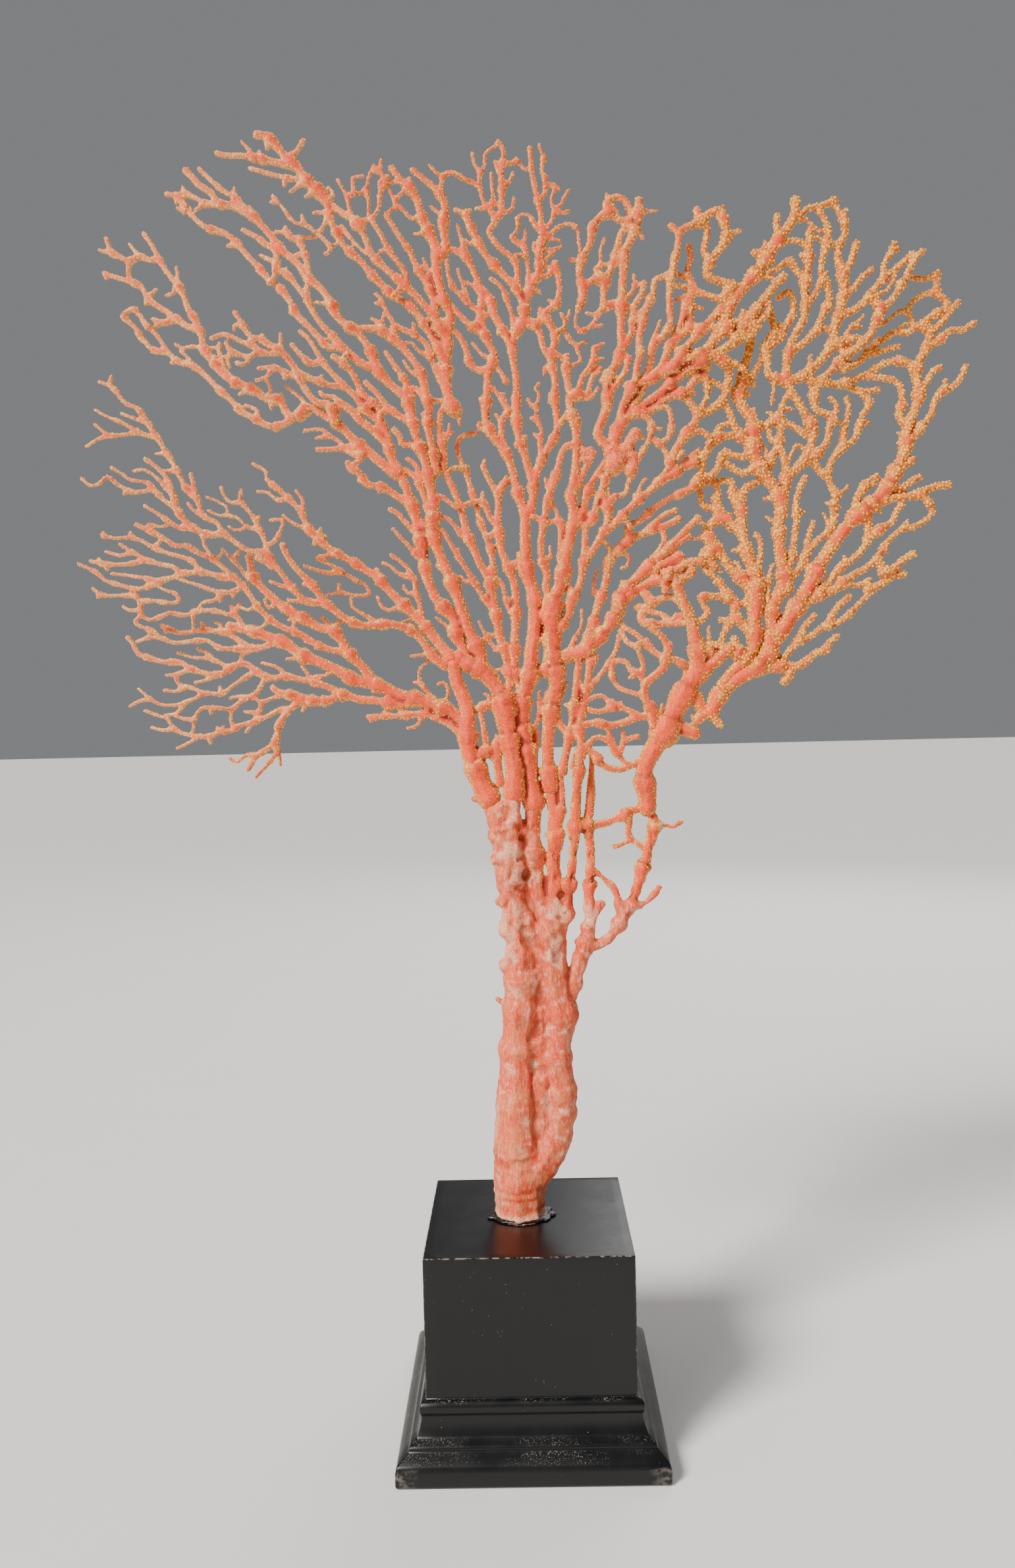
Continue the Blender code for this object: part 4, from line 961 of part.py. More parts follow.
LIMBS["limb_diagonal"] = (
    (2.4, 2.3, ((41, 393), (43, 399), (47, 403), (53, 407.5), (59, 411.5), (65, 416.5), (71, 420.5),
     (77, 424.5), (83, 427.5), (88.5, 430.5), (92, 436))),
    (2.3, 2.2, ((45, 402), (50, 404), (56, 405), (62, 409.5), (68, 411.5), (72, 407), (74, 403))),
    (2, 1.7, ((70, 411.5), (73.5, 417), (76.5, 419), (79, 421.5))),
    (2.2, 2.2, ((47, 415), (53, 416.5), (59, 418.5), (66, 422.5), (72, 425), (78, 428.5), (84, 434),
     (89, 438.5), (93.5, 438.5))),
    (2.4, 2.3, ((93, 437.5), (97, 442), (101, 447), (105, 452), (109, 456))),
    (2.4, 2.2, ((76, 426), (80, 431), (84, 437.5), (86.5, 443))),
    (2.9, 2.6, ((86.5, 442.5), (90, 448), (94.5, 453.5), (99, 458.5), (103, 463.5), (107, 470), (112,
     476.5), (114, 480), (114.2, 485.5))),
    (1.7, 1.6, ((107.5, 471.5), (106.5, 476), (107, 480))),
    (2, 1.9, ((101, 461), (100.5, 465), (97.8, 465.8))),
    (2.3, 2, ((66, 422.5), (69, 428), (73.5, 433), (78, 438), (83, 442.5), (87, 445))),
    (2.2, 1.8, ((56.5, 418), (61, 423.5), (63.5, 430), (66.5, 435.5), (69, 441), (70.5, 446), (73,
     451))),
    (1.7, 1.6, ((73, 451), (73.5, 454), (71, 458), (72.5, 464), (72, 469))),
    (2, 1.7, ((64, 431), (69, 434.5), (72, 438.5), (72, 444), (73, 450))),
    (1.8, 1.6, ((71.5, 438), (77, 437), (83, 437))),
    (2, 1.8, ((72.5, 452), (78, 450), (84, 448), (88, 448))),
    (2.2, 2, ((86, 449), (88.5, 453), (84, 455), (79, 457.5), (80, 462), (84, 467.5), (87, 472), (86,
     477.5), (84.5, 482.5), (80.5, 481.5), (76, 478), (71, 476.5), (68, 474))),
    (1.8, 1.7, ((80.5, 463), (77.8, 467), (79, 472), (79.5, 476))),
    (2.1, 1.9, ((76, 478), (75.3, 483))),
    (1.5, 1.5, ((73, 453), (68, 453.5), (64.5, 454))),
    (2.4, 2.1, ((81, 426.5), (85.5, 423), (87, 418), (86, 413), (84.5, 408))),
    (1.9, 1.8, ((86, 424), (90, 422), (93, 420))),
    (2.4, 2.2, ((84.5, 408), (79, 404.5), (74.5, 403))),
    (2.6, 2.3, ((63, 384.5), (66, 390), (69.5, 395.5), (73.5, 400.5), (74.5, 404))),
    (1.8, 1.7, ((71, 395.5), (75, 396.5), (79, 394), (78.5, 391))),
    (2.3, 2, ((59, 377), (65, 380.5), (71, 383.5), (76, 386), (79.5, 391), (82.5, 394), (89, 394.5))),
    (1.7, 1.4, ((66, 381.5), (70, 385.5), (74.5, 389))),
    (2.2, 2, ((66, 371.5), (71, 374), (75, 377.5), (79.5, 379), (82.5, 382.5), (83.5, 387), (86,
     388))),
    (1.8, 1.7, ((74, 378), (76, 382), (76, 386))),
    (1.7, 1.6, ((82, 395), (83, 398), (86.5, 399))),
    (1.8, 1.7, ((93, 433), (97, 437.5), (101, 440), (103.5, 443.5), (102.5, 447))),
    (1.8, 1.7, ((91, 433), (95, 432.5), (99, 437))),
    (1.6, 1.5, ((74, 418), (78, 417), (82, 415), (85, 413))),
    (1.5, 1.4, ((78, 416.5), (78.5, 411), (76, 406), (75, 403))),
    (1.2, 1, ((101.5, 465), (102, 470))),
    (1.2, 1, ((68.5, 429), (72, 428))),
    (1.2, 1, ((70, 449.5), (66.5, 448))),
    (1.2, 1, ((73, 445.5), (77, 444.5))),
    (1.2, 1, ((70, 457), (68, 457.5), (67.5, 459))),
    (1.2, 1, ((87, 473), (92.5, 474.5))),
    (1.2, 1, ((84, 480), (86, 484))),
    (1.2, 1, ((72, 412), (73.5, 411.3))),
    (1.2, 1, ((88, 437), (88, 440))),
    (1.2, 1, ((93, 443), (92, 440))),
    (1.2, 1, ((100, 456.5), (105, 455.5), (106.5, 453))),
    (1.2, 1, ((88.5, 453), (92.5, 453.5))),
)
LIMBS["limb_right_crown"] = (
    (2.2, 2.2, ((118.5, 419), (123, 422.5), (127.5, 428.5), (129, 434.5), (130.5, 440.5), (132, 446),
     (133, 452), (132, 457.5), (130.7, 463), (131, 468))),
    (1.8, 1.6, ((131, 467.5), (133.5, 472), (133, 478), (130.5, 482), (129.5, 485))),
    (1.9, 1.6, ((129.5, 485), (124.5, 483), (120, 482.7), (115.5, 479.5))),
    (2, 2, ((132.5, 457), (135.5, 460.5), (137, 465), (138, 468))),
    (1.8, 1.5, ((133, 448.5), (137, 451), (139.5, 454.5), (144, 458))),
    (2, 1.6, ((131, 440.5), (136, 442), (141, 445.5), (145, 450.5), (149, 454.5), (154, 458.5), (160,
     463.5))),
    (1.5, 1.4, ((148.5, 454.5), (148.8, 460), (151.5, 464), (153, 468))),
    (2, 1.6, ((143.5, 447), (148, 443), (152.5, 447), (156, 452.5), (158.5, 457), (161, 461.5), (164,
     464.6))),
    (2.2, 2, ((148, 443.5), (145.5, 437.5), (143, 432.5), (138.5, 428), (133, 424.5), (129, 420.5),
     (124.5, 416))),
    (2, 2, ((124.5, 416), (121, 414.5), (119, 417))),
    (2, 1.9, ((124.5, 414.5), (130, 413.3), (136, 415), (141.5, 417), (145, 419))),
    (2, 1.8, ((132, 419.5), (137.5, 421.5), (142, 425.5), (146, 430))),
    (1.9, 1.6, ((128, 430), (133, 429.5), (137, 431.5), (141, 430.5))),
    (1.5, 1.5, ((144, 425), (149, 426.5), (154.3, 427.7))),
    (2.2, 1.9, ((109.5, 416.5), (110, 422), (111, 428), (113.5, 433.5), (117, 439.5), (117.5, 445.5),
     (117.5, 451.5), (118.5, 457.5), (119, 463), (119.5, 468), (119.5, 473))),
    (2, 1.8, ((112, 427), (117.5, 430.5), (122.5, 435), (128, 435))),
    (1.8, 1.6, ((122.5, 436), (124.5, 441), (127, 446), (126.5, 452), (124, 456), (124.5, 462), (126,
     467.5), (127, 472), (126, 477), (123, 482))),
    (1.8, 1.7, ((118.5, 446), (121.5, 449), (124, 455))),
    (1.7, 1.6, ((117.5, 455), (114.5, 458), (111.5, 462), (107, 459.5), (103, 457.5))),
    (1.6, 1.5, ((119, 467), (116, 469.5), (111.5, 470), (108.5, 469))),
    (1.2, 1, ((132, 478), (134.3, 481.7))),
    (1.2, 1, ((153, 466), (154.8, 465.2))),
    (1.2, 1, ((144.5, 447), (150, 450), (153.3, 455.3))),
    (1.2, 1, ((132, 430), (135.5, 435.5), (140.5, 439.8))),
    (1.2, 1, ((137, 436), (139.5, 435.7))),
    (1.2, 1, ((135, 430), (135.5, 432))),
    (1.2, 1, ((131.5, 427), (135, 427.5))),
    (1.2, 1, ((126.5, 445), (124, 444.3))),
    (1.2, 1, ((126, 469), (122.5, 471), (120, 471))),
    (1.2, 1, ((118, 464), (116, 464.3))),
    (1.2, 1, ((127.3, 469), (131, 467.5))),
    (1.2, 1, ((121, 474.5), (118.5, 478), (116, 477.5))),
    (1.2, 1, ((126.5, 473.5), (123.5, 473.5), (120.5, 476))),
    (1.2, 1, ((125, 455.5), (126, 457))),
)


def clear_scene():
    """Take every object out of the scene."""
    for ob in list(bpy.data.objects):
        bpy.data.objects.remove(ob, do_unlink=True)


def make_collection(name):
    """Return a fresh collection linked to the scene."""
    col = bpy.data.collections.new(name)
    bpy.context.scene.collection.children.link(col)
    return col


def make_material(name, colour, roughness):
    """One Principled material."""
    mat = bpy.data.materials.new(name)
    mat.use_nodes = True
    bsdf = mat.node_tree.nodes["Principled BSDF"]
    bsdf.inputs["Base Color"].default_value = colour
    bsdf.inputs["Roughness"].default_value = roughness
    mat.diffuse_color = colour
    return mat


def run_length(points):
    """Length of a route on the elevation."""
    return sum(hypot(a[0] - b[0], a[1] - b[1]) for a, b in zip(points, points[1:]))


def samples_of(route, depths):
    """Points every 1.5 mm of a route: x, z, depth, radius."""
    r0, r1, points = route
    total, run, out = run_length(points), 0.0, []
    for (a, b), (ya, yb) in zip(zip(points, points[1:]), zip(depths, depths[1:])):
        step = hypot(b[0] - a[0], b[1] - a[1])
        count = max(1, int(step / 1.5))
        for i in range(count):
            t = i / count
            radius = r0 + (r1 - r0) * (run + t * step) / total
            out.append((a[0] + (b[0] - a[0]) * t, a[1] + (b[1] - a[1]) * t, ya + (yb - ya) * t, radius))
        run += step
    out.append((points[-1][0], points[-1][1], depths[-1], r1))
    return out


def depth_near(net, point, reach):
    """Depth of the nearest drawn line, or None where there is none within reach."""
    if not len(net):
        return None
    gap = np.hypot(net[:, 0] - point[0], net[:, 1] - point[1])
    best = int(np.argmin(gap))
    return float(net[best, 2]) if gap[best] < reach + net[best, 3] else None


def drawn_depths():
    """Depth of every route point: rooted on its parent line, landed on the line it meets."""
    rng = random.Random(41)
    net, result = np.zeros((0, 4)), {}
    for name, routes in LIMBS.items():
        result[name] = []
        for route in routes:
            r0, r1, points = route
            total = run_length(points)
            start = depth_near(net, points[0], 3.5)
            start = 0.0 if start is None else start
            lean = LEAN[name] + rng.uniform(-LEAN_SPREAD, LEAN_SPREAD)
            end = depth_near(net, points[-1], 1.2) if total > 6.0 else None
            if end is None or abs(end - start) > 0.6 * total:
                end = start + lean * total
            wave, phase = WAVE_DEPTH * min(1.0, total / 60.0), rng.uniform(0.0, 2.0 * pi)
            depths, run = [], 0.0
            for i, p in enumerate(points):
                if i:
                    run += hypot(p[0] - points[i - 1][0], p[1] - points[i - 1][1])
                t = run / total
                depths.append(start + (end - start) * t + wave * sin(pi * t) * sin(run / 14.0 + phase))
            result[name].append(depths)
            net = np.vstack((net, samples_of(route, depths)))
    return result


def in_space(point, depth):
    """Push an elevation point along its sight line to a depth; metres."""
    k = (depth - EYE[1]) / -EYE[1]
    return Vector((EYE[0] + (point[0] - EYE[0]) * k, depth, EYE[2] + (point[1] - EYE[2]) * k)) * MM


def add_ball(bm, centre, radius):
    """Round end of a bough."""
    made = bmesh.ops.create_icosphere(bm, subdivisions=2, radius=radius)
    bmesh.ops.translate(bm, verts=made["verts"], vec=centre)


def tube_mesh(name, depths, grow):
    """All the boughs of a limb as closed round tubes in one mesh; grow widens every radius."""
    curve = bpy.data.curves.new(name + "_line", "CURVE")
    curve.dimensions = "3D"
    curve.bevel_depth = MM
    curve.bevel_resolution = 2
    curve.resolution_u = 3
    curve.use_fill_caps = True
    ends = []
    for (r0, r1, points), ys in zip(LIMBS[name], depths[name]):
        if run_length(points) < SHORTEST_TWIG:
            continue
        spline = curve.splines.new("BEZIER")
        spline.bezier_points.add(len(points) - 1)
        total, run = run_length(points), 0.0
        for i, (bp, p, y) in enumerate(zip(spline.bezier_points, points, ys)):
            if i:
                run += hypot(p[0] - points[i - 1][0], p[1] - points[i - 1][1])
            scale = (y - EYE[1]) / -EYE[1]
            bp.co = in_space(p, y)
            bp.handle_left_type = bp.handle_right_type = "AUTO"
            bp.radius = (r0 + (r1 - r0) * run / total) * scale + grow
        ends += [(in_space(points[0], ys[0]), r0 + grow), (in_space(points[-1], ys[-1]), r1 + grow)]
    ob = bpy.data.objects.new(name + "_line", curve)
    bpy.context.scene.collection.objects.link(ob)
    mesh = bpy.data.meshes.new_from_object(ob.evaluated_get(bpy.context.evaluated_depsgraph_get()))
    bpy.data.objects.remove(ob, do_unlink=True)
    bm = bmesh.new()
    bm.from_mesh(mesh)
    for centre, radius in ends:
        add_ball(bm, centre, radius * MM)
    bm.to_mesh(mesh)
    bm.free()
    return mesh


def apply_modifiers(ob):
    """Bake the modifiers of an object into its mesh."""
    deps = bpy.context.evaluated_depsgraph_get()
    mesh = bpy.data.meshes.new_from_object(ob.evaluated_get(deps))
    ob.modifiers.clear()
    ob.data = mesh


def fuse(ob):
    """Fuse overlapping closed shells into one skin on a voxel grid."""
    mod = ob.modifiers.new("fuse", "REMESH")
    mod.mode = "VOXEL"
    mod.voxel_size = VOXEL * MM
    apply_modifiers(ob)


def fused_object(name, mesh, collection):
    """New object with a fused skin."""
    ob = bpy.data.objects.new(name, mesh)
    collection.objects.link(ob)
    fuse(ob)
    return ob


def cut_with(ob, cutter):
    """Boolean difference; the MANIFOLD solver steps in where EXACT drops the limb."""
    whole = ob.data
    for solver in ("EXACT", "MANIFOLD"):
        ob.data = whole
        mod = ob.modifiers.new("seam", "BOOLEAN")
        mod.operation = "DIFFERENCE"
        mod.solver = solver
        mod.object = cutter
        apply_modifiers(ob)
        if len(ob.data.polygons) > 0.7 * len(whole.polygons):
            return


def keep_largest(ob):
    """Keep the largest loose shell; return the share of faces that went."""
    bm = bmesh.new()
    bm.from_mesh(ob.data)
    bm.faces.ensure_lookup_table()
    seen, groups = set(), []
    for face in bm.faces:
        if face.index in seen:
            continue
        seen.add(face.index)
        stack, group = [face], []
        while stack:
            f = stack.pop()
            group.append(f)
            for edge in f.edges:
                for g in edge.link_faces:
                    if g.index not in seen:
                        seen.add(g.index)
                        stack.append(g)
        groups.append(group)
    groups.sort(key=len, reverse=True)
    lost = [f for group in groups[1:] for f in group]
    share = len(lost) / max(1, len(bm.faces))
    bmesh.ops.delete(bm, geom=lost, context="FACES")
    bm.to_mesh(ob.data)
    bm.free()
    return share


def is_closed(mesh):
    """True where every edge has two faces, no face is a sliver and all of it is one shell."""
    bm = bmesh.new()
    bm.from_mesh(mesh)
    good = all(len(e.link_faces) == 2 for e in bm.edges) and all(v.is_manifold for v in bm.verts)
    good = good and min(f.calc_area() for f in bm.faces) > 1e-10
    bm.free()
    return good


def tree_of(mesh):
    """Search tree of a mesh's faces."""
    bm = bmesh.new()
    bm.from_mesh(mesh)
    tree = BVHTree.FromBMesh(bm)
    bm.free()
    return tree


def crossings(mesh):
    """Number of facet pairs that cut each other without sharing a corner."""
    bm = bmesh.new()
    bm.from_mesh(mesh)
    bm.faces.ensure_lookup_table()
    corners = [{v.index for v in f.verts} for f in bm.faces]
    tree = BVHTree.FromBMesh(bm)
    bm.free()
    return sum(1 for a, b in tree.overlap(tree) if a < b and not corners[a] & corners[b])


def thin_out(ob, triangles, neighbours):
    """Reduce the skin to about the given triangles: closed, clear of its neighbours and of itself."""
    tri = ob.modifiers.new("triangles", "TRIANGULATE")
    tri.quad_method = "SHORTEST_DIAGONAL"
    apply_modifiers(ob)
    dense, best = ob.data, None
    for attempt in range(THIN_TRIES):
        ob.data = dense
        mod = ob.modifiers.new("thin", "DECIMATE")
        mod.ratio = min(1.0, triangles * (1.0 + 0.009 * attempt) / len(dense.polygons))
        mod.use_collapse_triangulate = True
        apply_modifiers(ob)
        tree = tree_of(ob.data)
        if not is_closed(ob.data) or any(tree.overlap(other) for other in neighbours):
            continue
        count = crossings(ob.data)
        if best is None or count < best[0]:
            best = (count, ob.data, attempt)
        if not count:
            break
    if best is None:
        raise RuntimeError(ob.name + " can't be thinned to a clear closed skin")
    ob.data = best[1]
    return best[2], best[0]


def limb_samples(name, depths):
    """Centre points of a limb in space with their radii, millimetres."""
    rows = []
    for route, ys in zip(LIMBS[name], depths[name]):
        for x, z, y, r in samples_of(route, ys):
            p = in_space((x, z), y) / MM
            rows.append((p.x, p.y, p.z, r))
    return np.array(rows)


def closest(a, b):
    """Least clear distance between the skins of two limbs, millimetres."""
    best = 1e9
    for row in a:
        gap = np.sqrt(((b[:, :3] - row[:3]) ** 2).sum(axis=1)) - b[:, 3] - row[3]
        best = min(best, float(gap.min()))
    return best


def build_fan(col, cutters, coral, bark):
    """Every limb as a fused solid, cut back from the limbs that carry it."""
    depths = drawn_depths()
    rows = {name: limb_samples(name, depths) for name in LIMBS}
    fat, done, trees = {}, [], []
    for name in LIMBS:
        ob = fused_object(name, tube_mesh(name, depths, 0.0), col)
        ob.data.name = name
        for other in done:
            if closest(rows[name], rows[other]) > SEAM + SEAM_VOXEL_ROOM + VOXEL:
                continue
            if other not in fat:
                mesh = tube_mesh(other, depths, SEAM + SEAM_VOXEL_ROOM)
                fat[other] = fused_object(other + "_cutter", mesh, cutters)
                fat[other].hide_render = True
                fat[other].display_type = "WIRE"
            cut_with(ob, fat[other])
        share = keep_largest(ob)
        fuse(ob)
        share += keep_largest(ob)
        if name == "stem":
            cut_with(ob, seat_cutter(cutters))
        drawn = [(run_length(p), max(r0 + r1, 3.2)) for r0, r1, p in LIMBS[name] if run_length(p) >= SHORTEST_TWIG]
        length = sum(run for run, wide in drawn)
        thick = sum(run * wide for run, wide in drawn) / length
        budget = int(length * TRIANGLES_PER_MM * (thick / 4.0) ** 0.45)
        tries = thin_out(ob, budget, trees)
        trees.append(tree_of(ob.data))
        ob.data.materials.clear()
        ob.data.materials.append(bark if name == "stem" else coral)
        done.append(name)
        print("limb", name, "triangles", len(ob.data.polygons), "left out", round(share, 3), "tries and crossings", tries)


def seat_cutter(cutters):
    """Block of air under the flat foot of the stem."""
    bm = bmesh.new()
    made = bmesh.ops.create_cube(bm, size=1.0)
    top = BASE_HEIGHT + BEAD_HEIGHT + 2.0 * SEAM
    bmesh.ops.scale(bm, vec=Vector((120.0, 120.0, 60.0)) * MM, verts=made["verts"])
    bmesh.ops.translate(bm, vec=Vector((0.0, 0.0, top - 30.0)) * MM, verts=made["verts"])
    mesh = bpy.data.meshes.new("seat_cutter")
    bm.to_mesh(mesh)
    bm.free()
    ob = bpy.data.objects.new("seat_cutter", mesh)
    cutters.objects.link(ob)
    ob.hide_render = True
    ob.display_type = "WIRE"
    return ob


def lathe(name, profile, steps, collection, turn=0.0):
    """Turn a (radius, height) profile about the upright axis."""
    bm = bmesh.new()
    verts = [bm.verts.new(Vector((r * MM, 0.0, z * MM))) for r, z in profile]
    for a, b in zip(verts, verts[1:]):
        bm.edges.new((a, b))
    mesh = bpy.data.meshes.new(name)
    bm.to_mesh(mesh)
    bm.free()
    ob = bpy.data.objects.new(name, mesh)
    collection.objects.link(ob)
    mod = ob.modifiers.new("turn", "SCREW")
    mod.axis = "Z"
    mod.steps = mod.render_steps = steps
    mod.use_merge_vertices = True
    mod.merge_threshold = 0.00005
    apply_modifiers(ob)
    bm = bmesh.new()
    bm.from_mesh(ob.data)
    bmesh.ops.remove_doubles(bm, verts=bm.verts, dist=0.00005)
    bmesh.ops.rotate(bm, verts=bm.verts, cent=(0, 0, 0), matrix=turn_matrix(turn))
    bmesh.ops.recalc_face_normals(bm, faces=bm.faces)
    bm.to_mesh(ob.data)
    bm.free()
    return ob


def turn_matrix(angle):
    """Rotation about the upright axis."""
    return Matrix.Rotation(angle, 3, "Z")


def build_base(col, lacquer):
    """Moulded foot and square block in one solid, with rounded upright edges."""
    corner = sqrt(2.0)
    half = BLOCK_SIDE / 2
    profile = [(0.0, 0.0)] + [(h * corner, z) for h, z in MOULDING]
    profile += [(half * corner, FOOT_HEIGHT + 0.3), (half * corner, BASE_HEIGHT - EDGE_ROUND),
                ((half - 0.3) * corner, BASE_HEIGHT - 0.3), ((half - EDGE_ROUND) * corner, BASE_HEIGHT),
                (0.0, BASE_HEIGHT)]
    ob = lathe("plinth", profile, 4, col, pi / 4)
    mod = ob.modifiers.new("round", "BEVEL")
    mod.width = EDGE_ROUND * MM
    mod.segments = 1
    mod.limit_method = "ANGLE"
    mod.angle_limit = 1.2
    apply_modifiers(ob)
    bm = bmesh.new()
    bm.from_mesh(ob.data)
    bmesh.ops.triangulate(bm, faces=bm.faces)
    bm.to_mesh(ob.data)
    bm.free()
    ob.data.materials.append(lacquer)
    print("plinth triangles", len(ob.data.polygons))


def build_bead(col, brown):
    """Low round bead of glue on the block, under the foot of the stem."""
    low = BASE_HEIGHT + SEAM
    profile = [(0.0, low), (BEAD_RADIUS, low), (BEAD_RADIUS - 0.2, low + 0.7),
               (BEAD_RADIUS - 1.4, low + BEAD_HEIGHT), (0.0, low + BEAD_HEIGHT)]
    ob = lathe("glue_bead", profile, 20, col)
    bm = bmesh.new()
    bm.from_mesh(ob.data)
    bmesh.ops.translate(bm, verts=bm.verts, vec=Vector((BEAD_CENTRE_X, 0.0, 0.0)) * MM)
    bmesh.ops.triangulate(bm, faces=bm.faces)
    bm.to_mesh(ob.data)
    bm.free()
    ob.data.materials.append(brown)
    print("glue_bead triangles", len(ob.data.polygons))


def main():
    """Build the whole object."""
    clear_scene()
    col = make_collection("sea_fan")
    cutters = make_collection("cutters")
    coral = make_material("coral", CORAL_RED, 0.62)
    bark = make_material("bark", BARK_RED, 0.75)
    lacquer = make_material("lacquer", LACQUER_BLACK, 0.3)
    brown = make_material("glue", BEAD_BROWN, 0.45)
    build_base(col, lacquer)
    build_bead(col, brown)
    build_fan(col, cutters, coral, bark)


main()
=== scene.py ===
"""Sea fan on a black lacquered plinth block: the looks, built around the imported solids.

The fan's boughs are routes on its front elevation, in millimetres. Each is pushed along its sight
line to the depth of its bough, given swollen joints, and fused into one rind per limb. Calyx bumps
stand on the rind as small domes. The plinth is a moulded profile carried round a square.
"""
import json
import random
from math import cos, hypot, pi, sin

import bmesh
import bpy
import numpy as np
from bpy.props import FloatProperty, FloatVectorProperty, PointerProperty
from mathutils import Matrix, Vector
from mathutils.kdtree import KDTree
from mathutils.noise import noise as perlin

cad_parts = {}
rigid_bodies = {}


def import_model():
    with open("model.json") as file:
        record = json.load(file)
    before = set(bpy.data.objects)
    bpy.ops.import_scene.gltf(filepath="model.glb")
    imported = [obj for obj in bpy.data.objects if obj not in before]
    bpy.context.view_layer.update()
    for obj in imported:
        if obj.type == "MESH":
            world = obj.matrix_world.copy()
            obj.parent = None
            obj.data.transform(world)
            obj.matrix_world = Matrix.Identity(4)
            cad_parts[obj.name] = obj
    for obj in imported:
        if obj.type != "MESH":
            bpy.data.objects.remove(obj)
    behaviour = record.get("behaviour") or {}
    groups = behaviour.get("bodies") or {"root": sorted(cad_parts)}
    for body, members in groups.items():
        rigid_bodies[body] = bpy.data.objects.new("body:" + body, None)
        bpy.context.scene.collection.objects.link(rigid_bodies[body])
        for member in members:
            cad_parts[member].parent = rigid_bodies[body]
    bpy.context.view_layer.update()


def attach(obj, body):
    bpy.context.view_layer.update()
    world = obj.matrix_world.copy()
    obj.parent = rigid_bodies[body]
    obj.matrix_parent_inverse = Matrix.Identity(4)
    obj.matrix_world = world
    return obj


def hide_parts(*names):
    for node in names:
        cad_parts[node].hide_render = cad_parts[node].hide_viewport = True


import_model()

bl_info = {
    "name": "Sea Fan on a Plinth",
    "version": (1, 0, 0),
    "blender": (4, 5, 0),
    "location": "View3D > Sidebar > Sea Fan",
    "description": "Grows a jointed sea fan on a moulded black plinth block",
    "category": "Add Mesh",
}

MM = 0.001
BODY = "root"

# The camera's place in millimetres, from which the elevation is drawn too, and its turns in radians
EYE = (1.48, -475.98, 275.31)
CAMERA_YAW = 0.0126
CAMERA_PITCH = -0.0369
CAMERA_ROLL = 0.0224

# Mean drift in depth of each limb, per millimetre of its length
LEAN = {
    "stem": 0.0, "fork_centre": 0.0, "fork_left": -0.03, "limb_left_low": 0.05, "limb_left_mid": -0.05,
    "limb_left_arm": 0.07, "limb_centre_left": -0.03, "limb_top_left": 0.03, "limb_left_top": -0.05,
    "limb_upper_left": 0.08, "limb_left_crown": -0.06, "limb_centre_fan": 0.06, "limb_crown_left": 0.03,
    "limb_crown": -0.04, "limb_centre": 0.0, "limb_centre_right": -0.03, "limb_right_arm": -0.12,
    "limb_right_web": -0.10, "limb_right_inner": -0.02, "limb_right_back": 0.09, "limb_right_low": 0.0,
    "limb_right_far": 0.05, "limb_right_mid": 0.05, "limb_inner_right": -0.06, "limb_diagonal": 0.04,
    "limb_right_crown": -0.02,
}
LEAN_SPREAD = 0.05
WAVE_DEPTH = 0.9
WAVE_LENGTH = 14.0
DEPTH_SEED = 41

# Reach in millimetres, past a line's own radius, within which a bough is rooted or landed on it
ROOT_REACH = 3.5
LANDING_REACH = 1.2

# Radii of a plain twig, and the usual taper of a bough with one radius
TWIG_RADII = (1.2, 1.0)
USUAL_TAPER = 0.72
LEAST_TIP = 0.95

# Spacing of the samples on a drawn route and of the points on a finished centre line, millimetres
SAMPLE_STEP = 1.5
LINE_STEP = 1.1

# Moulding of the plinth's foot: (half width, height) from the floor upwards, millimetres
MOULDING = ((50.3, 0.0), (51.1, 0.8), (51.1, 6.0), (50.4, 8.2), (48.3, 10.2), (46.4, 11.6), (46.2, 13.0),
            (45.0, 13.9), (43.4, 15.2), (42.4, 18.0), (41.8, 20.6), (41.7, 22.4), (42.3, 23.8),
            (42.4, 25.8), (41.6, 27.4), (40.4, 28.0))

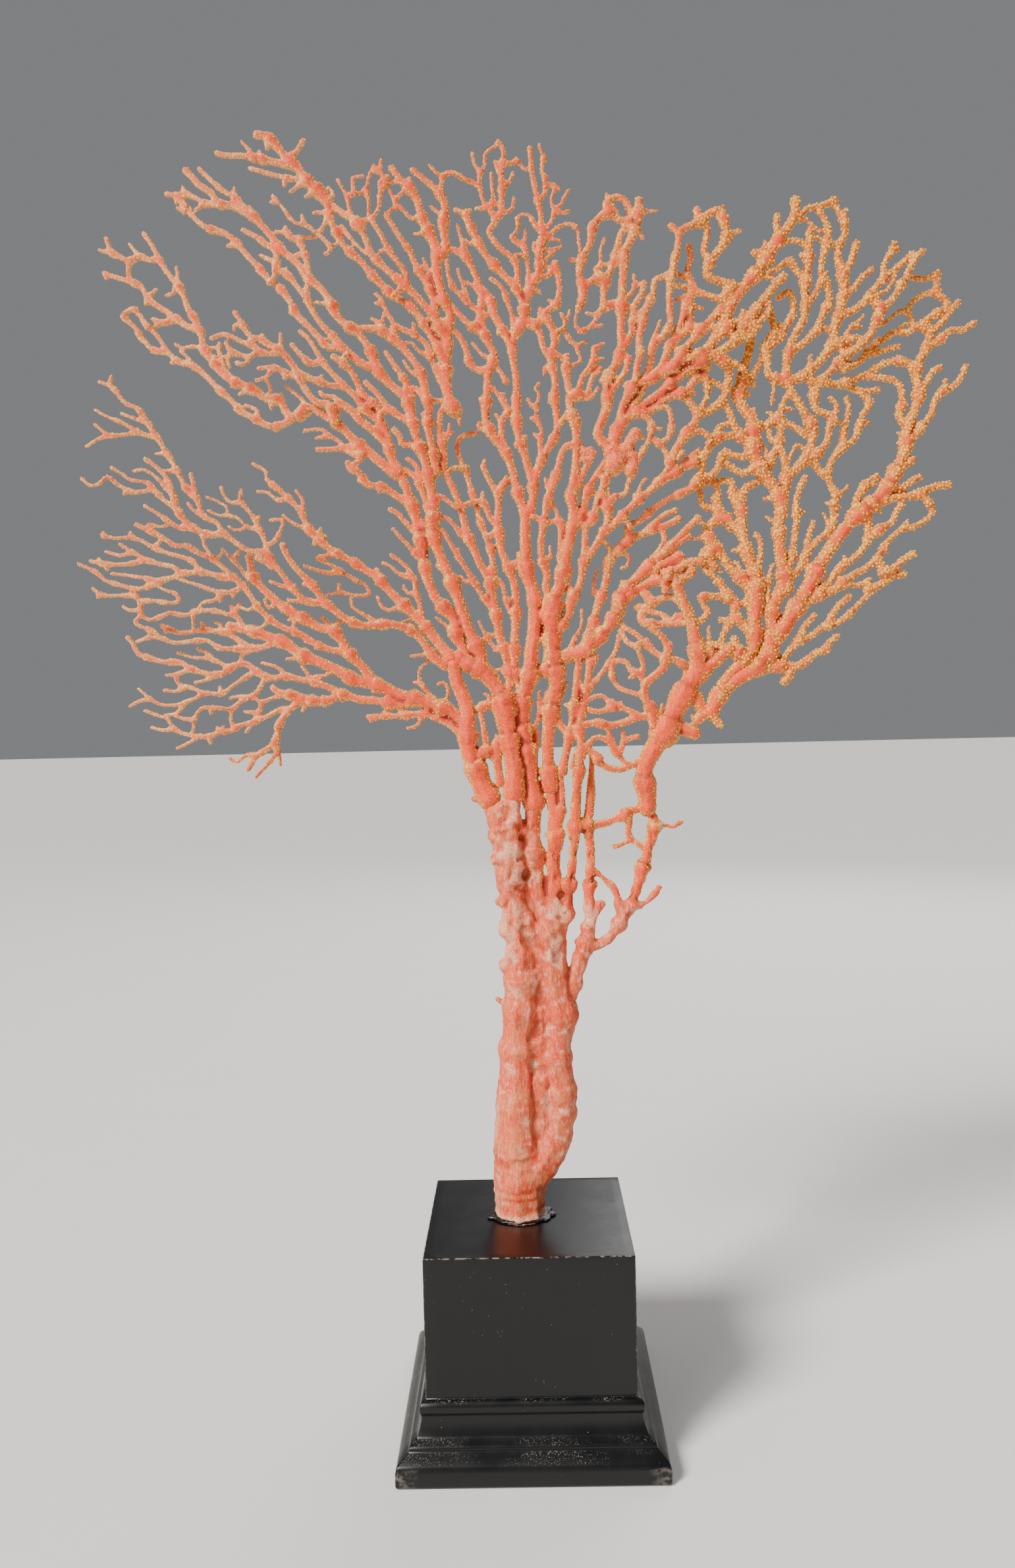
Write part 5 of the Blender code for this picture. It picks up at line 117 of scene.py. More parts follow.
# Routes: "radius at the root, radius at the tip (or the usual taper), x,z x,z ..." and "/" between
# routes, in millimetres; a route with no radius is a plain twig
ROUTES = {}
ROUTES["stem"] = """
11 6.8 -3,80 -3,92 -3.5,104 -4,116 -4,128 -3.5,140 -3,150 / 6.8 6.4 -3,150 -2,160 -1,170 -0.8,178 / 5.6
4.8 -1,176 -1,186 -2.5,196 -2.8,204 / 5.6 4.9 -2.6,203 -3.5,212 -5.5,222 -7,232 -9,242 -12,252 / 6.2 4.6
-4.5,222 -4.5,232 -4,243 -2,254 / 8.5 6.6 2,100 8,107 11.5,114 14,124 / 6.2 6.6 14,124 13.8,135 12.3,145
13,155 14.5,164 / 7.6 6.4 14.5,164 12.5,173 11.2,182 11,191 11,198 / 5.4 5 10.5,197 8,206 6,216 5,227
5,238 6,250 / 4.4 3.6 12,198 13,208 13.3,218 13.6,228 14.2,237 13.6,247 13,257 / 3.4 2.7 15,197 18.5,206
19.8,216 21,226 22,236 22.5,245 23,252 24,260 25,268 / 2.6 4 18,168 21,178 23.5,186 25.5,193 / 3.2
25.5,193 27,201 27,212 28,222 28,232 27.8,241 28.8,250 29.3,258 29.8,266 30.5,269 / 3 3 27,191.5
32.5,192.5 38,198 42.5,205 46.5,214 50,224.5 53,234.5 54.5,241 52,246.5 / 2.4 2.4 27,200 30,204 32,208.5
/ 2.4 2.8 22.5,241 29,240.5 35.5,241.5 41,244 46,246.3 51,246.5 / 2 1.8 40,200 39.5,206 38.5,212
35.5,217 31.5,220.5 28,223 / 2.6 2 14,237 17,250 17.3,262 / 4.4 2.6 4.5,112 5.6,124 6,136 5.6,148
5.6,160 5.8,173 6,186 3.5,196 0.5,206 -2,214 / 2.6 2.2 6.5,218 2,226 -3,232 / -7,168 -10.5,170.5 /
-13,250 -18.5,252 / 47,207.5 52,210 56,214.5 / 44.5,243 44,236 48,232 51.5,229 / 43.5,233.5 38,231.5 /
53.5,240 58,240 62,239 65,241 / 28,241 29.2,244.8
"""
ROUTES["fork_centre"] = """
5.2 5 -2,254 -1.5,262 -2.5,270 -3.5,277 -4.5,284 -4.5,290 / 5 3.7 -4.5,288 -7,295 -11,301 -14.5,304
-19,306.5 -22.5,309.5 / 5.2 3.9 6,250 4.5,258 4,266 3,274 2,281 2,288 3,294 5,300 6,306 6.5,312 7.5,318
8,324 8.2,330 / 3.4 4.2 13,256 12.2,264 12,271 12.5,278 13.5,285 14.5,291 16,297 16,303 15,309 14.5,315
14.5,321 14.2,328 / 3 2.8 16.5,303 11,303 8,302 6,300 / 2.6 2.3 3.5,291 1,297 -0.5,303 -0.5,309 -0.5,315
/ 2.5,303 1,302 / 10.5,303 11.5,307 12,312 12.5,316 / 7,280 8.5,285 9,290 9,294.5 / 9,290 11,290.3 /
7.5,272 8,278.5 / -4,304 -7.5,303.7
"""
ROUTES["fork_left"] = """
5.2 3.9 -12,252 -15,258 -17,264 -19.5,270 -20,276 -20,282 -20,288 -22,294.5 -24,300 -25,306 / 2.8 2.4
-17,268 -13,271 -9,268 -8,263 -7.5,258 / 1.7 1.6 -12.5,270.5 -13,276 -14,283 -14.8,288.5 / 2.2 2
-8.5,268 -8.5,273 -7,276.2 -3.5,275 / 1.7 2.4 -14.8,288.5 -12,289.5 -9,288 -6,285 / -15,288.5
-14.2,290.6 / -11.5,289.5 -11,293 -12.8,294 / -8.5,275 -8.7,277.5 / -17.5,264.5 -21.5,266
"""
ROUTES["limb_left_low"] = """
3.6 -20,281 -27,287.5 -34,290 -41,293 -47,294.5 -52,297 -57,299 -65,301 -71,304.5 -78,308 -86,311.5
-92,316 -99,319 -106,321.5 -114.5,323.5 / 2.9 -57,299 -60,304 -64,308.5 -67,312 -70,317 -73,321 -78,322
-84,325.5 -90,329 -96,333.5 -102,339.5 -105,344 -106,351 / 1.9 -67,312 -73,313 -79,315 -85,319 -94,323
-99,326.5 -103,331 -106,335.5 -109,340 -115,345.5 -121,351 -126,353 -131,356 -136,356.5 -141,360
-146,362.5 -151,365 / 1.6 -112.5,343 -116,343 -121,344.5 -126,345.5 -133,345.5 -137,348 -142,349
-147,350.5 -155,349.5 -163,349.5 -170,351 / 1.4 -126,346 -129,350 -134,352 -139,353.5 -144,355.5
-149,358.5 -154,360 -160,360 -165,361 / 1.4 -133,345.5 -137,343.8 -142,342.5 -146,340.5 -152,339.5
-158,341 -164,343 -168,346.5 -175,350 / 1.4 -106,321.5 -109,323.5 -112,327.5 -116,328.5 -121,330
-127,330 -133,328.5 -139,329.5 -143,328 -147,327 -150,329 -150.5,333 -152,337 -152,340 / 1.8 -95,317
-100,315.5 -105,314.5 -110,317 -115,320.5 -119,321.5 -125,322.5 -135,321.5 -142,324.5 / 1.5 -106,314.5
-113,314.5 -119,315 -124,318 -130,318 -137,317.5 -142,319.5 -146,322.5 -151,324.5 -153,326.5 -150,329 /
2.6 -43,291.5 -50,291 -56,292.5 -63,293 -70,295 -76,293 -82,293 -86,294.5 -91,295.5 -96,297 -98,298.5 /
1.9 -87,293.5 -91,290 -95,285.5 -96.5,281 -98,276.5 -102,273.5 -106,270.5 -109,266 / 1.5 -86,294
-91,290.5 -96,289.5 -100,287.5 -105,285.5 -111,284 -116,281.5 -120,281 -125,279.5 -130,280 -135,281
-139,283.5 -141,287 -145,288.5 -150,290.5 / 1.9 -71,295.5 -76,298.5 -82,300.5 -88,302 -93,303 -99,302.5
-104,305 -109,308.5 -114,307.5 -119,304.5 -125,305 -131,307 -135,309.5 -142,310 -147,311.5 -152,313.5
-154,317.5 -156,320 / 1.3 -105,305.5 -109,303 -114,300 -119,296.5 -125,297 -131,294.5 -138,292.5
-144,293 -148,295.5 -152.5,299.5 / 1.4 -101,302.5 -103.5,298.5 -106,295.5 -111,293.5 -115,290.5 -121,291
-127,291 -130,287 -131,281 / 1.9 -36,287 -42,286.5 -49,286 -55,286.3 -60,286 / 2.6 -22,278 -28,283
-34,285.5 -37,287.5 / -113,337.5 -113,335.3 / -109,339.5 -113,337.5 -119,337.5 -126,340 -132,342
-136,343.8 / -118.5,337 -118,333.8 / -118,336 -121,334 -125,333.5 -127.5,330.5 / -142,342.5 -150,344
-156,345 -161.5,345.8 / -164,349.3 -163.5,347.3 / -166,349.5 -166.5,351.5 / -147,350.5 -151,353
-155,355.5 -158,357.5 / -153,354 -158,353 -163.5,354.5 / -144,356 -141,359 / -153,360 -153.5,361.8 /
-164,360.5 -164.5,362 / -146.5,362.5 -146,365 -141,364 -138,365 / -150.5,334.5 -145,334.5 -139,333.5
-135,334 -136,337 -141,339 -144,341 / -152,336.5 -158,337 -164,337 -167,338 -169.5,340 / -166.5,337.8
-167.5,336.5 / -151,331 -155,331 -157.5,332.5 / -113,328 -114,332 / -112.5,329 -110.5,332.8 / -129.5,330
-129.5,326 -129.5,322.5 / -118,322 -118.5,324.5 -120.5,325.2 / -125,322.5 -126,325.3 / -140,323.5
-141,321.8 / -107,313.8 -110.5,311.5 -110.5,309 / -147.5,320 -152.5,318.3 / -142,319.5 -147,320 /
-78.5,292.8 -77.5,290.8 / -92,295.5 -98,294.5 -103,293 -106,295 / -103,292.5 -104,289 -109.5,289.2 /
-104.5,289 -106,286 / -106,285.5 -109.5,281 / -114.5,283 -115.5,286.5 -115,290 / -139,283 -143,282.5
-147.5,283.7 / -128,280 -132,277.5 -137.5,275 / -124.5,279.5 -124,276.8 / -118.5,281 -119,283.2 /
-131,286.5 -135,287 -138,288.3 / -98,276 -96.5,272 -96,267.5 / -97,273 -101,268 -106,262.8 / -104,272
-110,271.5 -113.5,269 -116.5,270.5 / -96.5,284 -97.5,282.5 / -84,292.5 -86.5,289 / -121,304 -124,302.5
-129.5,301.3 / -132,306.5 -137,304.8 -141,304.6 / -137,304.5 -136.5,301.5 -134,300 / -116,307.3
-120,309.5 -125,311 -130,311.5 -136,313.5 / -121.5,310 -124,313 -128,314.8 / -119,297 -119.5,299.3 /
-148,295 -152,294.5 -156,292.5 / -126,297 -131,299.3 -136,300.2 / -133,299.8 -137,298 -142,298.5 /
-134,293 -137,289.5 -141.5,288.5 / -107,295 -111,295.5 -115.5,294.8 / -93,303.2 -95,306 -98,307.5
-102,308.6 / -82,301 -84,304 -86,307 -86.5,311 / -87,310 -92,310 / -81,302.5 -77,303 -73,304.5 /
-86,325.5 -91,325.5 / -89,320.8 -89,323.8 / -80,315.5 -84.5,316.8 / -75,321.5 -75.5,324.5 -78,326.5 /
-73,321.3 -71.5,324 -67,324.5 / -99,326 -101,323.5 -105,322 / -104,331.5 -107,330 -110,331 / -96,332
-99,330.5 -100.3,333.8 / -93,329.5 -95,331 / -54,286.2 -59,284.3 / -46,286.5 -48,289.5 -51,291 /
-38,285.5 -40.5,282 -44,281 / -123,291 -123.5,289 / -107,343 -110,347 -113,350.5 -117,354.5 / -112,351
-110,353.5 / -31,290 -28,293 -27.5,296 -29,299 -31.5,298.5 / -33,292.5 -37,297 -39,301 -38.5,305 -35,308
/ -37.8,298.5 -41,299.3
"""
ROUTES["limb_left_arm"] = """
3.2 1 -26,309 -31,315 -35.5,321 -40,326 -45,331 -50,336 -54,341 -59,344.5 -65,348.5 -72,352.5 -78,357.5
-82,362 -84,367 -86,370 -90,374.5 -94,378 -98,381.5 -98.5,385 -103.5,388 / 1.2 -71,352 -76,350.5 -79,350
-74,347.5 -69,344.5 -64,341 -59.5,338.5 -58.5,335 -64,334.8 -70,336 -75.5,335 / 1.6 -36.5,322 -38,330
-39.5,336 -40,341 -44,346.5 -49,350.5 / -84,368 -84,373 -86.5,377 / -90,373.8 -94,373.5 -98,376.5
-102,377 / -82,362 -86,363 -90,365.5 -92,367.2 / -79,357.5 -80,355.5 / -77,358.5 -75,358.5 / -77.8,358.8
-77,361.7 / -69,343.8 -74,343.8 -80,345.5 -84,347 / -70,336.3 -70.5,339.3 / -46,330 -51,328.5 -54,331
-55,334 / -41,341 -46,343 -49.5,346 -52.5,347.5 / -40,335 -43,335.3 -44.5,338 / -53,342 -55,345
"""
ROUTES["limb_left_mid"] = """
2.5 -28.5,306 -33,309.5 -36,314 -39,318 -44,321.5 -52,323 -60,322.5 -67,325 -73,329.5 -77,333.5 -80,338
-84,342.5 -88,347 -91,351.5 -92.5,355.5 / 1.8 -76,332 -82,332.5 -86,335 -89,338.5 -92,342.5 -96,348
-99,352 -103,353 -107,354 -112,357.5 -116,361 -118.5,365 -122,366.5 -124.5,369 -126,374 -127.5,380
-128.5,384.5 / 1.8 -116,360.7 -122,360.5 -128,363 -132,367 -134.5,371 -136,378 -138,383 -142,387.5
-146.5,391 / 1.6 -126.5,375 -130,378 -133,384 -136,390 -140,397 -143,402 -146,407 -149,411 -154,413.5
-157,417.5 -159.5,421 -159,424 / 1.4 -134,370.5 -139,374 -142,377 -145,378.5 -152,378 -156,380 -159,382
-162,384.5 -165,382 -169,381 -172.5,384 / 1.3 -142,399.5 -147,400.8 -151,403 -156,406 -161,408 -166,411
/ 1.5 -99,353 -99.5,357 -101.5,362 -104,367 -107,371 -109,374 -108.5,377.5 / 1.4 -129,363.5 -134,363.5
-138,366 -142,369 -147.5,372.5 / -82,340 -84.5,339.5 / -84,332.7 -88,333 -91,333.6 / -90,338 -94,339.5
-98,341.2 / -54,323 -59,326 -65,330 -65.5,334 / -136,376 -140,381 -144,385 -148,387 -151.5,386.3 /
-142,377 -144,380 -147,382 -153,383 -157,386 -160.5,388 / -124.5,368 -128,370.3 -130,373 / -145,405
-150,407 -155.5,409.3 / -150,401.5 -156,400.8 -161,401 -166.5,405.3 / -159.5,400.8 -165,399.5 -170,396.6
/ -138,393 -142,393 / -135.5,386 -138,386 -140.5,386.5 / -158,419 -160,420.5 -164,422 / -154,379
-155.5,377.5 / -124.5,361 -124,356.5 -121.5,352 / -109,373 -113,373 -115.5,376 -116.5,379 / 1 0.9
-102,361.5 -107,363.5 -110,366.5 -114,368 -114.5,371 -118,373.5 -122.5,375.3 / 1 0.9 -114,368 -118,368
-122,370 / 1 0.9 -107,363.5 -109,362 -112,362 -114,363.5 / -99,355 -95,358 -93,362 -92,365.5 -97,365.5 /
-103,366 -101.5,366.8 / -103,350.5 -99,348 -97,346 / -121,351.5 -118.5,351.3 -117,353 / -42,321 -46,323
-41,325 / -35,310.5 -42,310
"""
ROUTES["limb_centre_left"] = """
3.4 2.9 -15,305 -14,309 -16,314 -18.7,320 -20.5,326 -22.5,332 -24.5,338 -27,344 -29.5,350 -31.5,356
-32,361 -31.5,367 -31,372 / 3 2.6 -19.5,308 -21.5,313 -24,318.5 -24,323 -27,327.5 -31,332 -33.5,337
-35.3,343 -36,349 -37,356 -38.3,362 -39.2,367 -41,373 -43,379 -45,382.5 / 2.4 2.2 -24,322 -21,322.5
-19,321 / 2.4 1.9 -32,358 -35,361 -38,364.5 / 1.6 1 -35.5,346 -38,349 -42,354 -45.3,357.5 -48,361 / 1.7
1.4 -37.2,357 -41,361 -44,364.5 -46,367 -49,368.6 / 1.6 1.3 -31.5,373 -28,373 -25.5,371 -22,368.5 / 2
1.6 -32,366 -34.5,371 -36.5,377 -39,381.5 -42.5,384 / 1.5 1.4 -36.5,379.5 -36.8,382 -38.5,386
-41.5,388.3 / 1.7 1.3 -45,382.5 -44,378 / 2.1 1.6 -41.5,371 -45,373 -50,376.5 -53,378 -57,378.5
-60,381.5 -61.5,384 -65,385.5 -65.5,387.5 / 1.5 1.2 -63,386.5 -61,388 -59.5,389.5 / -26,320 -28.5,322.5
-31.5,325 / -22,308 -20.5,303.5 / -25.5,340 -28,343 -31,346 / -53,377 -53,375.8 / -60,381 -61,380
"""
ROUTES["limb_top_left"] = """
2.6 2.3 -31.5,371 -32.5,377 -33.5,383 -35,389 -37,394.5 -38.5,400 -39.5,406 -41.5,412 -46,416.5
-50,420.5 -53.5,424.3 -58,426 -62,429 -66.5,433 / 1.9 1.4 -66.5,433 -70.5,438 -75,443 -78,448 -80,452.5
-83.5,457 -87,461.5 -91.5,464 -93,461 -95,459 / 2 1.5 -67,433.5 -71.5,433 -75.5,437 -79.5,441.5 -84,446
-87,452 -91,457.3 -95,460.5 -99,465.5 -104,471 -107.5,475.5 -112,479 -119,481.3 -123,484.5 -126.5,489
-129,492.3 -130.5,494 -134.5,494.8 / 2.2 1.9 -52.5,424.5 -54.5,430 -58,436 -61,439.5 -65,442 -68.5,446
-70.5,451 -74.5,456.5 -79.5,461 -84,467 -88.5,471 -92,475.5 -96.5,481 -100,485 -104,487 -109,489.7
-113.5,490.5 -117,495 -121.5,498 -124,501 -126.5,503.7 / 1.6 1.3 -114,490.5 -119,490.7 -123,493
-127.5,494.8 -130.5,494 / 1.6 1.3 -103,487 -105,490.5 -108,493 -112,495.5 -116,499 -119,502 -121.3,504.3
/ 1.6 1.4 -92,472 -95.5,474 -99,477 -104.5,480 / 1.6 1.6 -92,464 -91.5,468 -92,472 / 1.6 1.5 -80,453
-79.8,457 -79,461 / 1.5 1.4 -79,462 -79.3,466 -80.5,471 -82.5,475 -86,477 -87.5,480.3 / 1.9 1.4
-41.5,414.5 -41,418 -43.5,422 -46.5,426.5 -49,430.5 / 1.9 1.8 -36.5,394 -40,394 -43.5,394.5 -44.5,397.5
-46.5,400 / 2 1.5 -39,403 -43,404.5 -47.5,408 -50.5,411 -53.5,415 -57.5,419 / 1.8 1.6 -47.5,408
-51.5,407 -52,404 / -70.5,450 -73,450.5 -76,451 / -88,462 -88,464.5 / -95,468.5 -98,469.9 / -92,467
-95,468.5 / -80.7,469.5 -83.3,470 / -82.5,475 -83,477 -79,476.3 -75,477 / -87,478.5 -91.5,479 / -86,449
-86.8,447 / -109,474.3 -110.8,474 / -120,490.5 -123.3,488.3 / -127.5,495 -128,497.3 / -130,494
-131,491.5 / -128,488.5 -130.5,489.3 / -101,486.5 -101.5,489 / -108,493 -107.5,496.5 / -38.5,412.5
-39,416 -36.5,416 / -37,421.5 -39.5,423 -42,427
"""
ROUTES["limb_left_top"] = """
2.6 2.2 -45,383.5 -47.5,388 -49,393 -52,397 -56,401 -60,404 -64,408.5 -68.5,411.5 / 1.5 1.3 -68.5,411.5
-70,413.5 -74,414 -75.7,415.5 / 2.2 1.9 -49,393.5 -49.5,398 -52,403 -55.5,406 -59,410 -62,414 -66,418 /
1.9 1.3 -66,417.5 -69,421 -72.5,425 -75.5,429.5 -78,434 -80,437 -83,439.7 / 1.6 1.4 -74.5,428 -79,427
-82.5,430 -86.5,434.5 / 1.9 1.8 -52,403 -52,408 -55,411 -59,415 -61,419.5 -63.5,424 -66.5,427 -70,429.5
/ 1.6 1.4 -68.5,411.5 -69,407 -70,403.5 / -66.5,427 -66,429.5 -64.5,431 / -59.5,408.5 -61,408.2
-62.5,407.5
"""
ROUTES["limb_upper_left"] = """
2.9 2 -45.5,382.5 -49,384.5 -53,388 -57,391.5 -61,394.5 -65,399 -70,403.5 -75,407 -79,409.5 -82,410 /
2.2 1.9 -82,410 -84,407 -88,406.5 -90,409 -92,413 -97,413.5 -101,416.5 -106,419 -111,421 -115,424.5
-118,428.5 -121.5,434 -122.5,440 / 1.9 1.4 -88,405 -92,403 -97,403 -102,406 -107,408.5 -111,413
-116,417.5 -120,422 -125,426.5 -131,428.8 -134,431 -137.5,433.3 / 1.9 1.4 -122.5,440 -124.5,445
-127.5,450 -129,455 -131,459 -134,462.5 -137,467 -139,471 -141,475 -144,479.5 / 1.9 1.3 -122.5,441
-128,443 -132.5,446.3 -137,449.5 -142,453 -144.3,456 -146,459 -151,461.3 -156,463 -160.5,464.6 / 1.5 1.3
-137.5,433.3 -142,434 -146,438.5 -149,443 -153.3,447.8 -149.5,450.3 -147,448 -144.5,444 -141,440.5
-138.5,437 -136,433 / 1.5 1.3 -139,469.5 -142.5,469.5 -146,470.8 -150.5,469.2 -153.5,470.8 -157,472.5
-159.2,478 / 1.4 1.3 -150.3,469 -150.8,465 -150.3,461.5 / 1.8 -133,446 -137,444.6 -141.5,446 / 1.9 1.4
-61,394 -66,393.5 -72,393 -77.5,393 / 2 1.8 -60,390 -63,391 -67,393.3 / -131.5,459.5 -131,462 -131.7,466
/ -132.5,458 -133,456.3 -135.8,455.2 / -146.2,471 -148,473 -150,475.8 / -157.5,472.5 -162.2,473.8 /
-160,464.5 -159.8,462.8 / -142.5,455.5 -140,457.8 / -144,453.5 -144.3,452.2 / -138,444.5 -141,443 /
-148,440.5 -146.5,437.5 / -121.5,434 -126,435 -130,434.5 -133,436 / -126,427 -128,430.5 -131,433.3 /
-133,430 -134.5,428.8 / -118,428.5 -117.7,431 / -97,414 -95.5,417 -97,421 -99,421.8 / -93.5,413
-91,415.3 / -95.5,412.5 -95.5,409.8 / -104,417.5 -108,415.7 / -101.5,406.5 -101,409 -105.5,411.3 /
-94,402.5 -94,401 / -85,407.5 -82,407 -80,407 / -81.5,410 -83,413 -86.5,416 -89.5,418.3 / -67.5,393.5
-68.5,396 -72,398 -75,400.7 -79,401 -82.5,400.5 / -73,398.3 -78,397.5 / -110,421.5 -113.5,426 -115,430.5
-116,434 -118.5,434.3 / -114,430 -112,431 / -115.5,433.5 -115.3,436
"""
ROUTES["limb_left_crown"] = """
2.1 1.9 -70,404 -71,408 -73,411 -77,411.5 -81,416 -83.5,421 -85,424.5 -88,429 -91.5,433 / 1.9 1.3
-91.5,433 -95.5,434.8 -99,437.3 -102.5,438 -105,441.5 -107,445 -109,448 / 1.6 1.3 -91.5,431.8
-95.5,431.3 -100,432 -104,430.5 -109,431.8 -111.5,433.5 -112.5,436 / 1.5 1.3 -99.5,431.8 -102,434.8
-106,436 -109.5,438 -114,439.5 -118.5,438 / 1.5 1.2 -83.5,422 -87,422.5 -90,424 -94,426 -100,425.7 / 1.7
1.7 -84,423.5 -80,421.5 -74,419 -70,418 -67.5,418 / -91,433 -90.8,439 / -106.5,443 -109,443 -109.5,441 /
-98.5,437.3 -98,438.5 / -94.5,425.5 -97,422.3 -101.2,421 / -90,424 -89.8,421.5 / -75,419.5 -75,422 /
-111,432.5 -112.3,429 -111.5,426.5 / -108.5,428 -106,427.5 -103,430
"""
ROUTES["limb_centre_fan"] = """
2.6 2 -5,292 -2.5,298 -3,304 -4,310 -6,316 -7,322 -8,329 -9,335 -10,340 -13,345 -15.5,351 -18,357
-19.5,363 -21,369 -23.5,376 -26.5,382.5 / 1.8 1.5 -9.5,339 -8.5,345 -9,351 -11,357 -13,363 -14.5,369
-16.5,376 -18.5,383 -21,389 -21.5,394 -19.5,396.8 -14,398 / 1.5 1.3 -18.5,356.5 -21.5,359 -24.5,363
-28,365.2 -31.5,364.5 / 1.6 1.4 -8.5,327 -12,332 -15.5,338 -19,344 -22.5,349.5 -26,356 -28.5,360
-31.5,360 / 1.7 1.5 -18,384 -22,384.5 -26,383 / 2.4 2.1 -0.5,313 0,320 0.5,327 0.5,334 -0.5,340 -3,346
-5,352 -5.5,358 -6,364 -5.5,370 -6,374 / 1.7 1.5 -6,374 -8.5,378 -11.5,384.5 / 1.7 1.6 -5,374 -3.5,377.5
0,379 / 1.6 1.5 -6,361 -9,364 -11,369.5 -14.5,371 -18,370 -21,368.5 / 1.7 1.5 -6.5,359 -9,357.3 -11,357
/ 1.4 1.3 -2,327 -3.5,332 -5,338 -8,341 / 1.9 1.7 -2,345 1,345.5 4,346 / -18,339 -20,339.5 -21.5,341.3 /
-22.5,350 -22,352 / -12,371 -11.8,374.3 / -11.3,384.5 -10.8,387 / -3,378 -2.3,380.3 / -8,311.5 -11.5,317
-14.5,323 / -12,317 -13.8,313.5 / -7,317.3 -11,318
"""
ROUTES["limb_crown_left"] = """
2.3 2 -30.5,383 -31,389 -32,395 -33,401 -32.5,407 -33,412 -34,417 -35.5,422.5 -38.5,427.5 -42.5,432.5
-46.5,436.5 -51,439.3 -56,440.3 -60.5,440 / 1.9 1.6 -33.5,411.5 -37,415.5 -39,416.5 -41,415 / 1.4 1.2
-33.5,403 -35,406 / 1.5 1.3 -46,437 -45.5,441 -48,446 -50,450 / 1.6 1.4 -45.5,441 -41,439 -37,437
-33.5,434 -31.5,430 -30,424 -28,419 / -51,439.5 -50,443 -49.5,445.8 / -51,442 -54.3,444 / -37,437
-38,441.8 / -50,450 -52.5,450 / -50,450 -50.5,452 -52.7,453.7 / -32,428 -36,431 -39,434.3 -41.5,433.8
"""
ROUTES["limb_crown"] = """
2.2 1.9 -27.5,384 -27,390 -28,396 -28.5,402 -27.5,407 -24.5,408.5 / 2.9 2.4 -22,407 -24,410 -25.5,415
-27,419 -29,424 / 2.3 2.2 -24.5,412 -24.8,418 -25,424 -24.5,430 -24,436 -23.5,440 / 1.7 1.5 -25,409.5
-28.5,411 -32,410.5 / 2.2 1.8 -25.5,424 -27.5,430 -30.5,436 -34,442 -38,447.5 -42,450.7 -46,453 -50,457
-54,461.5 -58,466.5 -62,470 -65,473.5 -67.5,478 -70,484 -70.5,489.5 / 2.4 2.1 -24,434 -27,439 -30,444.5
-34,449.5 -38,454 -41,456.5 / 2 1.8 -41,456 -44,459.5 -49,464 -53.5,469 -55.5,474 -58,480 / 1.9 1.5
-29,445 -29.5,450 -31.5,455.5 -34.5,461 -37,466 -38.5,470 -42,475 -45,480 -47.5,484 / 1.7 1.5 -40,456.5
-40.5,461.5 -43.5,466 -47,471 -50,477 -53,482 / 1.7 1.4 -41.5,456 -45.5,453 / 2.4 3 -23.5,440 -23,445
-25.5,450.5 -27,456.5 -28,462 -28,467.5 / 2.9 1.8 -28,467.5 -28.5,471.5 -31,477.5 -33.5,483.5 -35,489.5
-38,494.5 -41.5,498 -45,502.5 / 2.7 1.6 -27,468 -24,470 -24.5,475 -25,480 -24,486 -25.5,491 -29,495
-32.5,498 -36.5,501.5 / 2.3 1.5 -58,480 -61,483 -65,485.7 -70.5,490 / 2.5 2.2 -70.5,490 -74.5,494.5
-79,499 -82,503.5 -86,507 -90,512 -94,516 -98,517 / 2 1.5 -86,505 -92,506.3 -98,507.7 -104,509
-110,509.2 -114,510.2 / 1.5 1.2 -79.5,499 -86,499.8 -92,501.3 -97,502.8 -101,504 / 1.6 1.4 -85.5,508
-82.5,510 -79.8,514 / -100.5,509.5 -101.5,511.5 -104,514.3 / -97.3,508 -97.2,510.6 / -94.3,514 -94,511.5
/ -81,497.5 -83,496 -85.3,494.4 / -87,499.5 -87.8,497 / -76.5,493.5 -79.2,492.5 / -70,490 -68.3,493
-70.2,495.7 / -71,486.2 -76.3,486 / -71,486 -72,482 -75,478 -79,481 -84,482.5 -87,486 -90,490 -93,490.7
/ -90.5,490.5 -92.3,493 / -80.3,482 -81,485 / -75,478 -73,476 -70,473 -66,474.5 / -70,473 -70.5,470.5
-72.2,470 / -60,482 -62,487 -63,492 -66.5,498.7 / -62.5,492 -60,493 -57.5,493 / -60,493.5 -60.5,497
-60.3,499.3 -56.3,499.8 / -58,482 -55,483 -54.3,488 -55,494 -54,499.5 -52,503.7 / -55,494 -56.3,494.5 /
-52,502.3 -49.5,501 -48.2,499 -48,496 / -49.5,501 -49,505.8 / -53.5,483 -51,486 -50,490 -50,497.3 /
-50,492 -48,496 -45,497 -42,497 / -48.3,498.5 -46,499.5 / -38.5,495.5 -38,498.5 / -34,483.5 -38,483
-41.5,487 -44.5,487 -47.5,484.5 / -43.5,487 -44.5,490.5 -46,494 / -44,490 -41.3,492.8 / -32,478.5
-33.5,476.7 -36.5,476.7 / -47,470.5 -50.3,470.6 / -65.3,480.2 -61,474.5 -56,469.5 / -31,456 -31,461
-33.2,466.7 / -26,493 -25,498 -27,500 -30,503.3 / -25,499 -20,500 -15,497 / -25,483 -29.5,487 /
-47.5,483.5 -48,485 / -25,442 -26.5,443 / -20.5,405 -20.3,401.5 / -26.5,395 -25,398 -24.3,401.7 /
-25,398 -23.5,398.3
"""
